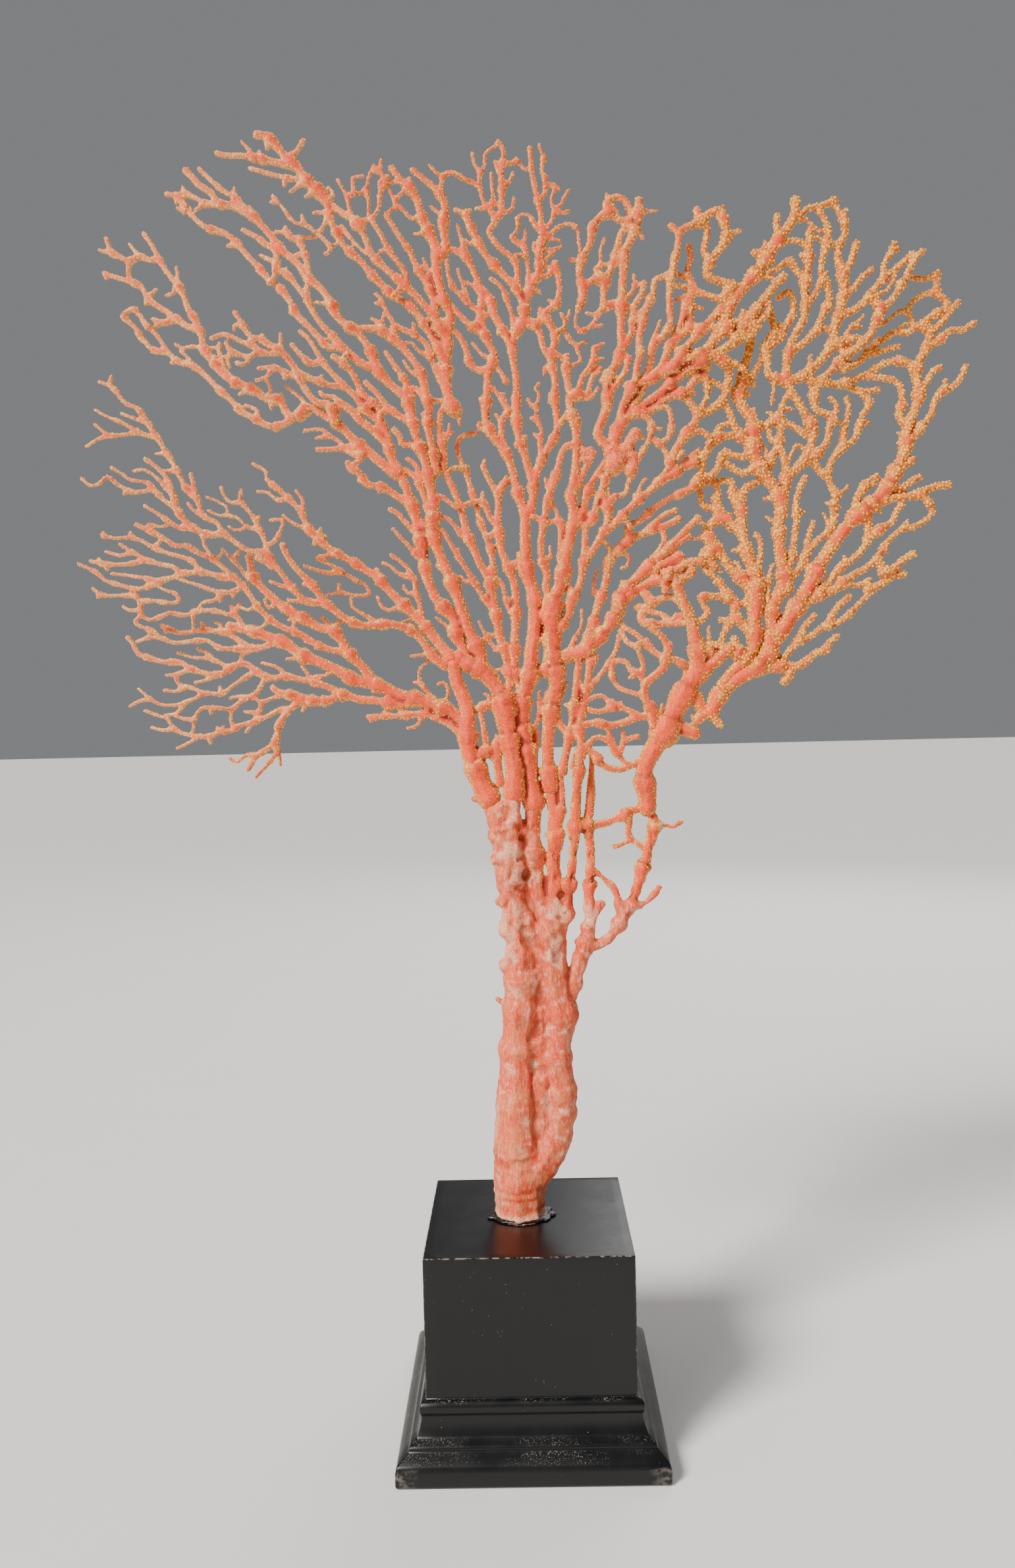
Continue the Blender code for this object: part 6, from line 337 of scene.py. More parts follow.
ROUTES["limb_centre"] = """
3.8 3 8.2,330 7,336 5,343 5,349 4.8,356 5,362 6,367 / 2.5 2.2 5,365 3,371 1.5,377 0,384 -2,389.5
-5.5,394 -8.5,399 -10,405 -9.5,411 -9,417 -8.5,422.5 / 2.4 2 7,366 8.3,372 8,378 6.5,384 5,390 3,396
2.5,402 2.5,408 2.5,414 2.5,420 1.5,426 1.5,432 3,437 / 2.2 2 8.5,377 10.5,383 13,388.5 16.5,394
18.5,399 18.2,405 17.5,411 18,417 17,423 16.5,428 / 2 1.9 1,431 -1.5,436.5 -4.5,441.5 -6,447 -8,452
-10,454 / 2.1 1.8 -8.5,422 -6,428 -8.5,434 -10.5,440 -11,446 -10,452 -12,458 -14.5,464 -17,469 -17,473 /
2.3 1.9 3,437 6,442 6,448 3.5,454 -1,459 -5,463.5 -9,468.5 -12,474 -14.5,480 -15.5,484.5 / 1.8 1.5
3.5,455 4,461 2.5,466 -1.5,469 -5,473 -7,477 -4.5,480 -5,483 -7,486 / 1.5 1.3 -4,482 -2,484 -1.5,490
-1.5,497 -1,503 -0.5,508 -2.5,511.5 / 1.9 1.5 6.5,447 9,454 12.5,460 12.5,466 14,472 14,478 13.5,484
12.5,489 11.5,494 10.5,500 10,508.8 / 1.9 1.8 6,441 10,440 12.5,436 13.5,431 16,427 / 2 1.5 16.5,428
18.5,434 16.5,440 14.5,444.5 19,447.5 20.5,453 20,459 18.5,464 / 1.7 1.4 17.5,428 20.5,427 23,423 / 2
1.7 -9,422.5 -13,423 -16,426 -17.5,432 -20,436.5 -23,439.5 / 1.9 1.7 -9.5,437 -14,439.5 -18,443
-21.5,447 -24,450 / 1.6 1.3 -9.5,444 -13.5,447 -18,451.5 -22,456 -23.5,461 -24,466 / 1.7 1.5 -17,468
-20,469.5 -23.5,471 / 1.6 1.4 -14.5,479 -16.5,484 -20,485.5 / 1.5 1.3 2.5,438 1.5,444 -0.5,450 -2.5,455
-6.5,458.3 / 1.5 1.3 8,454 8.5,459 8,464 7,470 5,472 2,474.5 / 1.5 1.2 -1.5,418 -3.5,421.5 -6.5,425.5 /
1.6 1.4 -2.5,391 -3.5,397 -3.5,402 -1,406 2,404.5 / 1.5 1.3 -1,406.5 -3.5,411.5 -7,415.5 / 11.5,387.5
11.5,393 12.3,398 10.5,403 10.5,408 11.5,413 10,414.5 11.5,417 / 10.5,408.5 8.5,408 7,411 / 11.5,395
9.3,397 / 10.2,402.5 8.2,403.2 / 5,394 6,396.3 / -3.7,402 -6,405 / -10,399 -13,400 -12.5,402 / -9.8,411
-12,411.5 / -3.5,412 -2.8,413 / 2,345.7 1.8,350 / 16,412 15.5,409.5 / 16.5,424 14,423 13.8,420 /
-8.5,427.5 -11,429 -14.5,433.2 / -7.5,450 -7,444 -4,441.5 / -4,437 -3,442 / -11.5,453 -13.5,455.5
-16.5,457.3 / -16.5,452 -18,457 -19.8,462.5 / -17,470 -18,474 -19.3,479.6 / -11,473 -15,472.5 -17.5,474
/ -16.5,484 -14,485.5 / -7,486 -9,489 -10,494 -10,499 -8,503 -7.8,507 -4,510 -2.5,511.5 / -10,494
-14,496.5 -18,498 -21,500.5 -25,499.5 / -10,500 -12,503 -13,507.5 / -7.3,486 -12,486 / -6,486 -5,490
-5.5,495 -5.5,499.6 / -1.3,497.5 -3,500.5 -4,504 / -1,494 1.5,496 3,499.3 / -2,484 2,485 3.3,489.5 /
-5,488.5 -2,486 / -0.5,504 2,503 5,504 7,501 10,500.5 / 5,503.5 4.5,504.8 / 13,489 15.5,491 15.5,496
14.5,500 15,505 13.5,510 / 15.5,505 16,504.2 / 15.5,498 16.3,497.2 / 16,494 19,494.5 21,492.5 / 14.5,477
17.5,479.5 19,484 18,488 19,492 19.5,494 / 19,484 22,487 23.5,490 25,492 / 20,484.5 22,483.3 25,483.8 /
13.5,476 11,479 9.5,482.5 6,483 3.8,481.3 / 4.5,481 4.5,477.5 2,474.5 3,472.5 6,470.5 / 6.5,471 7.3,474
7.3,477 / 2,466.3 4,467.5 6.5,467 / 12.5,468 10.5,469 10.8,472 / 14,473 17,473.5 21,472.5 / 13,469
17,469 21.5,470 / 13.5,464 16,466 18.5,468 / 13.5,459 16,459 18,462 15,462.5 / 18,461.5 19.3,464.3 /
10.5,454 13,452.5 / 13,440.5 12.2,443 12.8,446.5 / 19.5,448 16,449.3 / 19.5,437 22.5,439.5 21,444 /
14.5,476 17,475 21,478 25,479 28,476.5 28.5,472.5 29,468 / 25,465 27.5,464.5 29,464 / 23,423 27,424.5
28.5,426 27,429.5 28,432 31,432.5 / 27,431 24,434 22,438 23,441 24.5,445
"""
ROUTES["limb_centre_right"] = """
3.9 3.2 14.2,326 16,331.5 18.5,337 20,343 21,349 22.5,355 24,361 / 2.7 2.2 24,361 24.2,367 23.5,373
24.8,379 25.7,385 26,391 26,397 25.5,402 23.5,404.5 / 2.2 1.9 14.5,331 12.5,336 13.2,341 11.5,347 11,353
12,360 13.2,366 14.3,371 16.5,377 18.3,383 20,389 22,392 24.5,392 / 1.7 1.6 19.5,343 18.7,349 19,356
18.8,362 15.5,362 12.5,362 / 1.5 1.4 12.5,362 10,363.5 8,364.5 / 1.3 1.2 18.8,362 17.5,366 15.3,370.5 /
2 1.7 24.5,373 27,378 29.5,383 31.5,387.5 31,390 / 2.4 1.9 25,361 28,366 29.5,372 32,377.5 35,382
37.2,385 / 2.4 2 15,316 18,320 21.5,325 23,331 26,336.5 27.5,343 28.3,350 28.7,356 28.5,361 / 2 1.8
26,361 31,361.5 33,366.5 34,371 36.5,376 38.5,381 41,383 / 2.2 2 28.3,346.5 31.5,350 34.5,355 37,359.5
38,364 37.5,369 36,372.5 / 1.6 1.4 38,368 41,371.5 45,372.5 46.5,377 49,383 52,388.5 54.5,393 56,397 /
2.2 1.7 37,358 41.5,361.5 46,366 51,370.5 56,374.5 60,379 64,384 68,388 / 1.7 1.5 44.5,364 46,360.5
47,359 / 2.4 1.9 29,316 31.5,322 33,328 35.5,334 37,340 38,346 42,350 46,354 51,356 56,358.5 61,359.5
66,362 / 1.9 1.7 46,354.5 46.5,359.5 51,362 56,366 62,370 67,372.5 / 1.5 1.3 38.7,347 38.5,351 36,354 /
1.4 1.2 58,359 60.5,355 58,350 55,347 / 2 1.8 14.5,309 19,308 24,309 / 3.4 2.6 20,308.5 25,309.5 30,312
34.5,316.5 38,321 41,326.5 43,332 47,337 52,341.5 57,346 62,350.5 / 2.4 1.9 62,350.5 66.5,355 71,359.5
74,362 / 2.6 2.2 29.5,311.5 30.5,317 36,319 / 1.7 1.6 56,360 60,363.5 65,365.5 / 2.4 2.3 17.5,262
19,268.5 20.5,275 22,281 23,288 24,296 24.8,303 25.5,309 / 1.9 1.8 15,287 17,282 20,277.5 / 2.2 2 25,268
25.5,274 25,280 26.5,287 28,294 29,301 30.5,307 31,311.5 / 1.6 1.5 30,296.5 34,301 37.5,306 40.5,311
41.5,316 / 2.1 1.9 25.5,402 23.7,406 24,411 23,416 22.5,422 22.8,427 / 1.8 1.8 23.5,405 21,402.5
18.7,399.5 / 1.8 1.8 24,411 27,413 29,419 33,424 34,430 / 1.5 1.5 24.5,412 28,411 31,413 32.5,418 36,422
/ 15.5,372 13.8,376 13.4,379.3 / 13,347 14.8,348 14.6,352 / 22.3,334 22,338.7 / 31.5,333.5 32,338.5
33.4,342.5 / 43.5,349.5 46.3,347 45,343.8 43,343 / 22,312 24,316 26.5,320.5 26.7,326.8 / 50,372 51.5,376
53.5,378.3 / 50.5,371.8 48.5,371.7 / 32,388 29,391 27.5,394 / 31,390 33.5,389 / 41,322.5 44,325 / 31,307
33,308 / 20,277 16,281 14,283.5 15.5,285 / 21.5,289 19.5,289 / 18,292.5 20.3,298 / 46,335 43,337.8 /
29,313 30.5,315.3 / 34,317.5 34,319 / 34,430 37.5,432 / 33,425 37,426 / 28.5,411 32,410.5 35,414.5
"""
ROUTES["limb_right_arm"] = """
4.2 5.8 51.5,247 51.5,253 50.5,259 51.5,265 55,271.5 58.5,276.5 / 5.8 5.2 58.5,276.5 61.5,282 65,289
69,295.5 72.5,301 / 4.4 2.8 72.5,301 73,307 72,313 71,319 69,325 66.5,331 65,336 / 4.2 3.2 73.5,300
77,303.5 81,306 85,310 / 2.6 2.2 74.5,301.5 76.5,306.5 78.5,311 82,311.5 / 3.2 3.3 66.5,278.5 71,276.5 /
3 3.4 72,291 74,286.5 77.5,284.5 / 2.4 2.1 77.5,284.5 79.5,282 81.3,279.7 / 2 1.7 75,284 72,281.5 70,279
/ 71.5,281.5 70,283.5 / 78.5,311 77.5,315 77.5,318.8 / 77,311 74.5,313 75,314.3
"""
ROUTES["limb_right_web"] = """
1.9 2.2 25.5,280.5 31,281.5 37,280.5 43,281.5 49,283.5 54,283.5 / 1.5 1.8 28,287 33,286 38,287.5 43,287
48,284.5 / 1.4 1.4 28,290.5 31,292 35,292 37.5,288 / 2 2 26,272 30.5,269 34,264.5 40,262.5 45,264
49,265.5 / 1.6 1.6 28,272.5 31,275.5 35,275 38,271.5 41,267.5 44,264.5 / 1.6 1.5 35,281 37,277 38.5,273
/ 1.4 1.3 41,269.5 42.5,274 42.3,278 / 1.4 1.5 42.5,274 46,275.3 48.3,275.8 / 2.6 2.2 55,280 54,286
51.5,291 51.5,296 55,299.5 59,303 60,307 61.5,312 / 1.6 1.4 38,306 43.5,306 46,302.5 49.5,300.5 51,296 /
1.5 1.5 38.5,306 38.5,300 41,295.5 46.5,293.3 51.5,291.5 / 1.5 1.5 50,300.5 51,304.5 49.5,309 49.5,313 /
1.7 1.5 60,306.5 56,309 52,313 49,316 44,319.5 42,321.5 / 1.6 1.5 49,311.5 45,313.5 42,318 / 1.7 1.6
60,307 64,306 68,302.5 67,297 / 1.8 1.6 61,308 60,313 56,318 52,320.5 / 48.5,300.3 45.5,299.3 /
57.5,282.5 58.3,288.3 / 39,289.3 38,290.5 / 42,287.8 41.5,289.5 / 21.5,264 22.5,269 / 66.5,303.5
68,304.3
"""
ROUTES["limb_right_inner"] = """
2.4 2.6 43,331 48,334 53,336.5 58,338.5 64,341.5 70,344.5 75,345 / 3 3.2 56,342 61,344.5 66,347 / 2.8
2.6 58,338 63,336.5 68,338.5 71,341 / 2 2 66,334.5 67.5,330 70,325 71.5,320.5 / 1.9 1.8 52,333 55,329.5
58,330.5 63,331 67.5,327 / 1.8 1.8 49,327.5 54,327.5 58,330 / 2 1.8 50.5,324 51,321.5 56,320.5 61,320.5
67,320.5 70.5,320.5 / 1.7 1.7 51,326 56,325 60,323.5 63,321 / 1.5 1.4 64.5,323.5 67,323.5 / 1.9 1.8
55,319 59,315 61.5,310 61,307.5 / 1.5 1.5 52.5,314 55,309.5 58.5,307.5 / 1.9 1.7 62,350 66,352.5 70,355
"""
ROUTES["limb_right_low"] = """
3.4 4.4 78.5,286 80.5,290.5 84,294 88,297.5 93,300.5 97,303 100.5,307 103,311.5 105.5,316 / 4.2 3.4
105.5,316 109,320.5 112,325 115,330 118,335 121,341 125,347 129,352.5 133,357.5 137,361.5 / 3 1.9 98,302
103,302.5 108,302.5 113,302.5 117,305 120,307.5 124.5,308.5 / 1.7 1.6 124,309.5 126,312 128.5,314 / 1.9
1.5 106,303.5 109,308 113,312 118,314 122.5,317.5 127,318.5 131,320.5 135,324 139,328 143,332 / 2.4 2.3
110,302 109,298 107.5,296.5 / 1.8 1.7 113.5,313.5 115.5,318 119.5,322.3 / 1.8 1.8 125.5,320 128,324.5
131.5,328 133.5,329.5 / 2.6 1.8 114,326 118,328.5 122.5,331 127,332 131,335 135,338 140,340.5 145,344 /
1.5 1.5 132.5,335 137,334 141.5,336 / 2 1.6 122.5,332.5 126,336.5 130,341 134,343.5 138,347 141,351.5
141,357 141.5,362 / 3.6 3 101.5,309 102.5,315 102.5,321 103,326 105,330 108,334.5 107.5,340 106.5,346
106,352 106,358 107,364 / 2 1.7 107.5,340 111,345 111.5,350 112.5,356 113.5,362 / 1.9 1.6 108,334
111.5,338 115,343 117.5,347.5 121,352 125,355 127,359 / 1.6 1.6 116.5,346 117,351 118.5,356 119.5,359 /
1.7 1.4 102.5,325 101,330 101.5,335 100,337 / 2.2 1.9 145,344.5 146,342 148,340 / 2.3 1.9 147,338.8
151,340 155,343.5 159.3,346 / 2.2 1.9 141,332 147,334.5 151,337 155.3,338 / 101.5,336 102,339.5
103.3,343 / 131.5,342 132,345.5 / 106.5,357 104,360 101,362 / 126,357 124,362.5 / 126.5,358 129.5,362 /
143,331 142,334 / 148,347 148.7,349
"""
ROUTES["limb_right_back"] = """
3 4 82,292 83,296 86,300 90,304 94.5,309 95.5,314 95.5,320 96,326 95.5,332 / 3.4 2.4 95.5,330 97,336
95.5,341 93.5,346 92,352 91.5,358 91,364 90.5,370 / 2.6 2.3 94.5,333 91,337.5 87,341 83.5,346 80,351
77.5,356 79.5,360 84,361.5 87,358 / 2 1.8 92,353 89,357.5 86,361 82.5,366 80,370 / 2 1.9 93,317 90,320.5
87.5,324 89,327.5 93.5,328 / 1.9 1.7 88,323 86,321 82.5,321.5 / 1.9 1.7 86,320.5 83.5,316.5 82,312 / 1.8
1.8 87.5,329 84,330.5 79,331 75,330.5 76,326.5 77.5,325 74.5,321.5 72,320 / 1.8 1.6 84,331 83,335
79.5,339 76,342 79,345 / 2.4 2.8 92,306.5 88,309 85,309.5 / 1.9 2 87.5,309.5 87.5,313.5 / 1.6 1.5 97,342
98.5,347 98.5,352 97,355 / 2 1.8 98,336 102,336.5 / 3 2.8 79,349 76.5,345.5 79.5,343 / 1.9 1.8 90.5,366
88,370 87.3,376 82.5,376.5 77,376 / 1.8 1.7 82,365 82,371 81,376 / 1.9 1.7 84,362 80,365.5 76,367 75,371
74.5,375.5 / 2.2 2 91,369 93,373.5 97,375.5 101,378 / 91,349.3 87.5,349 / 89.5,339.5 90,343 88.5,344.3 /
77,346 75.5,349 / 79.5,343 82.5,340.8 / 77,358.5 74,361.5 73,363 / 77,354.5 72,354 70,356 / 84.5,333.5
87,332.3
"""
ROUTES["limb_right_far"] = """
3.4 2.8 136,361 141,364.5 145.5,368.5 150,374 153,380 156,386 157,391.5 157.5,397 / 2.6 2.2 157.5,397
160,402 162,407.5 161.5,413 161,418.5 163.5,424 166,429 166.5,434 / 2 1.8 161.5,419 158,421 153.5,422
148,421 144.5,419 / 2 1.7 157,397 154,400 155.3,405 155,411 152,414.5 147,415.5 142.5,416 / 1.9 1.6
162,410 165.5,414 167.5,417.5 170.5,419 / 2 1.6 158.5,390.5 162.5,395.5 167,401 168,405 171,409.5
175,411 178.5,414.5 180.5,419 / 2.2 2 153,379 156.5,381 159.5,383 / 2 1.7 151,372.5 155,372 158.5,374.5
162,376 / 2.3 2 146.5,367 151,368 157,368.7 162,369.5 167,372 173.5,373 / 1.6 1.5 163,369.5 165.5,366
167,362.3 164,359 159,356.5 155,356 151,353 148,349.5 145,345 / 2 1.8 141.5,361 141.5,356.5 141,353 /
1.9 1.8 142,353 147,356.5 151,359 152.5,362.5 154.5,365 / 2.2 1.8 138,362 136.5,366 138,370 141.5,374.5
145,376.8 / 1.9 1.7 166.5,434 162,435.5 158,433 153,433.5 149,431 145,428.5 / 1.9 1.6 165.5,428
170,429.5 175,433.5 179,433.3 184,436 / 1.8 1.5 167,433 170.5,435.5 174,440 177.8,444.3 / 1.8 1.6
164,436.5 169,440 173.5,442.5 173,445 170,447.5 169.5,452 170,456 / 1.5 1.5 170,455.7 165,453.7
159,454.5 / 1.6 1.5 169,448.5 164,447.5 159.5,444.5 158,441 / 156.5,392.5 153.8,393.7 / 172.3,410
172.5,414 / 141,374 144.3,373.7 / 144.5,365.5 146.5,362.7 / 154.5,356 157,359 / 158,441 155,441.5
150,438 147,436 / 158,440.5 160,437 156,436 154,434 / 142,374 145,377
"""
ROUTES["limb_right_mid"] = """
3 3.4 107,363 107,368 104.5,373 101,378 98,383 96,388.5 / 3.2 2.2 96,388 96.5,394 96,400 92.5,405
90.5,410 92.5,415 93,421 95,427 96,433 97,438 / 2 1.8 97,381.5 92,379.5 88,381.5 84,384.5 / 1.9 1.8
95,386.5 91,386 86.5,387 / 2.2 1.9 95,392 91.5,394 88.5,399 87,404 84.5,407 / 2 1.8 97,398 101,398
105,400 107,396 106.5,391 104,386.5 102.5,382 100,380 / 1.5 1.4 106,391.5 103.5,392 102.5,395.5 / 2.4
1.9 105,372 108.5,372 109,378 108.5,384 106.5,390 / 2.2 2.3 109,377.5 113,380.5 117,384.5 119,390
120.3,396 117.5,401 115,406 112,410.5 110,414.5 / 2 1.8 110,414.5 106,416.5 102.5,418 102.5,424 102,430
105.5,434.5 104.5,439 103.5,443.5 / 1.7 1.6 96,417 99,422 101,427 / 1.9 1.7 103,429 107,432 109.5,436.5
112.5,441 113,446.5 111,450 107,448 / 2.1 1.9 110.5,415 115,416.5 118.5,419 / 2 1.8 117,385 121.5,386.5
125.5,391 126.5,396.5 128,401 123.5,402.5 121,405 121,411 124,415 / 1.5 1.4 128.5,400.5 129.5,405
127.3,408 / 1.9 1.6 119.5,385 122,380 125.5,378.3 127,383 131,388 136,391.5 138.5,397 140,401.5
142.5,406 138,410.5 133,413 / 1.6 1.4 131.5,389 132,394 133.3,399 134.2,404 133.5,408 / 1.8 1.6
125.5,378.5 127,373.5 129,369.5 127.5,365 127.5,360 126.5,356 / 1.8 1.8 112.8,362 113,368 114.5,373
116.5,377 / 1.8 1.7 107.5,399 112,397.5 117,394 / 1.7 1.6 107.5,398 107,403 109,408 111,411 / 1.8 1.6
133.5,413 139,410.5 146,411 / 101,384 101.3,389.3 / 107,401.5 102.3,403 / 97,401 96.5,404.5 / 117,388
113.5,390 111.5,386.5 110,383 / 128.3,400.5 131,398 133,399.5 / 138.8,397.8 142.5,398 / 121,410
118.5,410 / 129.5,369.5 133.8,373.3 / 128,366 125,367 / 127.5,363 130,365 / 113.5,364.5 116,363.3 /
104,370 100.3,368.7 / 105,416 104.5,411 104,406.5 / 108,404.5 112,404 / 119,421 119.3,425 / 118,416
119.5,412.5 / 107,434 107.5,437.5 / 103,442 105,440.8 / 94,411 95,410 / 96,414.3 97,414
"""
ROUTES["limb_inner_right"] = """
2.9 2.2 41.5,388 37,392.5 34.5,396.5 36.5,402 38.5,407.5 38.5,413.5 39.5,419 43,425 44.5,431 44.5,437.5
45,443.5 / 2.4 2.3 45,443.5 45,449 45.5,455 46,461 46.5,467 49.5,473 51.5,478.5 52.5,484 52.5,487 / 1.9
1.9 45,448 41,447 38.2,446.5 38,452 39.5,457.5 42,463 43.5,469 45.5,475 48.5,479 / 1.9 1.9 38.5,457
34.5,457 31,454.5 29.5,449.5 28,446 / 2 1.9 29,448 29.5,454 28.5,460 30,466 33,471 34,477 37,481
41,482.5 44.5,480 48.5,479 / 1.9 1.8 41,483 40,486.5 44,489 48,486 48.5,480 / 1.9 1.8 44.5,429 48,434
49.5,440 50,446 53,451 54,455 / 1.8 1.7 51,441.5 55,446 57.5,451 58.3,456 62,457.5 65.5,459.5 / 1.9 1.8
65,457 66,463 67.5,469 68,474 65,477 / 2.4 2 41,394 43,401 45,407.5 47.5,412.5 50,418 51,424 52.5,429 /
2 1.8 52,427 51.5,433 53,439 54.5,444.5 / 2.2 1.9 43,399 48,406 52,412 54,418 56,424 57,430 61,434
64,438.5 64,445 64,451 64,457 / 2 1.8 38.5,411 43,416.5 46,421 47.5,426 / 3.4 3.4 40.5,383 43,388
46.5,392 49.5,396 / 3 3 47.5,381 48.5,387 46,391 / 1.8 1.6 52,404.5 56,400 55.5,395 60,391 62.5,386 /
1.6 1.5 59,391.5 63,395 64,401 62.5,406 58,406 / 35,461 37,463.5 37,468 38.7,473 / 35.5,459.5 38,462.5
42,463 / 46.5,449 50,453 50,458.3 / 50,454.5 54,455 / 52,476 54,472.5 / 53,483 59.3,483 / 40,486.5
40,490 / 42,485.5 44,482.5 / 56.5,431.5 58.5,436 60,440 / 34.5,479 32.5,476.5 / 38,446 34,443.5 31,444 /
37,445 34,440.5 29,436.5 26.5,440 27.5,446 / 28,437 33,438.5 37,439 / 55.5,398 60,397.8 / 49,395 53,394
/ 38,420.5 36,417 / 37,379 38,375 39,372
"""
ROUTES["limb_diagonal"] = """
2.4 2.3 41,393 43,399 47,403 53,407.5 59,411.5 65,416.5 71,420.5 77,424.5 83,427.5 88.5,430.5 92,436 /
2.3 2.2 45,402 50,404 56,405 62,409.5 68,411.5 72,407 74,403 / 2 1.7 70,411.5 73.5,417 76.5,419 79,421.5
/ 2.2 2.2 47,415 53,416.5 59,418.5 66,422.5 72,425 78,428.5 84,434 89,438.5 93.5,438.5 / 2.4 2.3
93,437.5 97,442 101,447 105,452 109,456 / 2.4 2.2 76,426 80,431 84,437.5 86.5,443 / 2.9 2.6 86.5,442.5
90,448 94.5,453.5 99,458.5 103,463.5 107,470 112,476.5 114,480 114.2,485.5 / 1.7 1.6 107.5,471.5
106.5,476 107,480 / 2 1.9 101,461 100.5,465 97.8,465.8 / 2.3 2 66,422.5 69,428 73.5,433 78,438 83,442.5
87,445 / 2.2 1.8 56.5,418 61,423.5 63.5,430 66.5,435.5 69,441 70.5,446 73,451 / 1.7 1.6 73,451 73.5,454
71,458 72.5,464 72,469 / 2 1.7 64,431 69,434.5 72,438.5 72,444 73,450 / 1.8 1.6 71.5,438 77,437 83,437 /
2 1.8 72.5,452 78,450 84,448 88,448 / 2.2 2 86,449 88.5,453 84,455 79,457.5 80,462 84,467.5 87,472
86,477.5 84.5,482.5 80.5,481.5 76,478 71,476.5 68,474 / 1.8 1.7 80.5,463 77.8,467 79,472 79.5,476 / 2.1
1.9 76,478 75.3,483 / 1.5 1.5 73,453 68,453.5 64.5,454 / 2.4 2.1 81,426.5 85.5,423 87,418 86,413
84.5,408 / 1.9 1.8 86,424 90,422 93,420 / 2.4 2.2 84.5,408 79,404.5 74.5,403 / 2.6 2.3 63,384.5 66,390
69.5,395.5 73.5,400.5 74.5,404 / 1.8 1.7 71,395.5 75,396.5 79,394 78.5,391 / 2.3 2 59,377 65,380.5
71,383.5 76,386 79.5,391 82.5,394 89,394.5 / 1.7 1.4 66,381.5 70,385.5 74.5,389 / 2.2 2 66,371.5 71,374
75,377.5 79.5,379 82.5,382.5 83.5,387 86,388 / 1.8 1.7 74,378 76,382 76,386 / 1.7 1.6 82,395 83,398
86.5,399 / 1.8 1.7 93,433 97,437.5 101,440 103.5,443.5 102.5,447 / 1.8 1.7 91,433 95,432.5 99,437 / 1.6
1.5 74,418 78,417 82,415 85,413 / 1.5 1.4 78,416.5 78.5,411 76,406 75,403 / 101.5,465 102,470 / 68.5,429
72,428 / 70,449.5 66.5,448 / 73,445.5 77,444.5 / 70,457 68,457.5 67.5,459 / 87,473 92.5,474.5 / 84,480
86,484 / 72,412 73.5,411.3 / 88,437 88,440 / 93,443 92,440 / 100,456.5 105,455.5 106.5,453 / 88.5,453
92.5,453.5
"""
ROUTES["limb_right_crown"] = """
2.2 2.2 118.5,419 123,422.5 127.5,428.5 129,434.5 130.5,440.5 132,446 133,452 132,457.5 130.7,463
131,468 / 1.8 1.6 131,467.5 133.5,472 133,478 130.5,482 129.5,485 / 1.9 1.6 129.5,485 124.5,483
120,482.7 115.5,479.5 / 2 2 132.5,457 135.5,460.5 137,465 138,468 / 1.8 1.5 133,448.5 137,451
139.5,454.5 144,458 / 2 1.6 131,440.5 136,442 141,445.5 145,450.5 149,454.5 154,458.5 160,463.5 / 1.5
1.4 148.5,454.5 148.8,460 151.5,464 153,468 / 2 1.6 143.5,447 148,443 152.5,447 156,452.5 158.5,457
161,461.5 164,464.6 / 2.2 2 148,443.5 145.5,437.5 143,432.5 138.5,428 133,424.5 129,420.5 124.5,416 / 2
2 124.5,416 121,414.5 119,417 / 2 1.9 124.5,414.5 130,413.3 136,415 141.5,417 145,419 / 2 1.8 132,419.5
137.5,421.5 142,425.5 146,430 / 1.9 1.6 128,430 133,429.5 137,431.5 141,430.5 / 1.5 1.5 144,425
149,426.5 154.3,427.7 / 2.2 1.9 109.5,416.5 110,422 111,428 113.5,433.5 117,439.5 117.5,445.5
117.5,451.5 118.5,457.5 119,463 119.5,468 119.5,473 / 2 1.8 112,427 117.5,430.5 122.5,435 128,435 / 1.8
1.6 122.5,436 124.5,441 127,446 126.5,452 124,456 124.5,462 126,467.5 127,472 126,477 123,482 / 1.8 1.7
118.5,446 121.5,449 124,455 / 1.7 1.6 117.5,455 114.5,458 111.5,462 107,459.5 103,457.5 / 1.6 1.5
119,467 116,469.5 111.5,470 108.5,469 / 132,478 134.3,481.7 / 153,466 154.8,465.2 / 144.5,447 150,450
153.3,455.3 / 132,430 135.5,435.5 140.5,439.8 / 137,436 139.5,435.7 / 135,430 135.5,432 / 131.5,427
135,427.5 / 126.5,445 124,444.3 / 126,469 122.5,471 120,471 / 118,464 116,464.3 / 127.3,469 131,467.5 /
121,474.5 118.5,478 116,477.5 / 126.5,473.5 123.5,473.5 120.5,476 / 125,455.5 126,457
"""

# Encrusted lumps on the limbs: (x, z, radius, how many balls)
LUMPS = {
    "limb_inner_right": ((45.0, 388.0, 4.0, 14),),
    "limb_right_web": ((62.0, 338.0, 3.6, 12),),
    "limb_centre_right": ((30.0, 389.0, 2.4, 6),),
    "limb_left_low": ((-120.0, 281.0, 2.2, 6),),
    "limb_left_crown": ((-127.0, 489.0, 2.0, 6),),
    "stem": ((-3.0, 206.0, 6.5, 14), (-4.5, 222.0, 6.5, 14), (-6.0, 240.0, 6.5, 16), (0.5, 236.0, 5.5, 10),
             (15.0, 158.0, 6.5, 6), (3.0, 212.0, 5.0, 8), (11.0, 178.0, 6.0, 7), (13.0, 196.0, 4.5, 6),
             (-2.0, 190.0, 6.0, 10), (27.0, 192.0, 3.4, 5)),
}

# Strands of the stem that start below this height are old wood, and keep the radius that was drawn
STEM = "stem"
OLD_TOP = 185.0

# Heights in millimetres where the stem's crust starts and is full, and where its lumps and fibres fade out
CRUST_START, CRUST_FULL = 172.0, 198.0
OLD_FADE, OLD_END = 225.0, 265.0

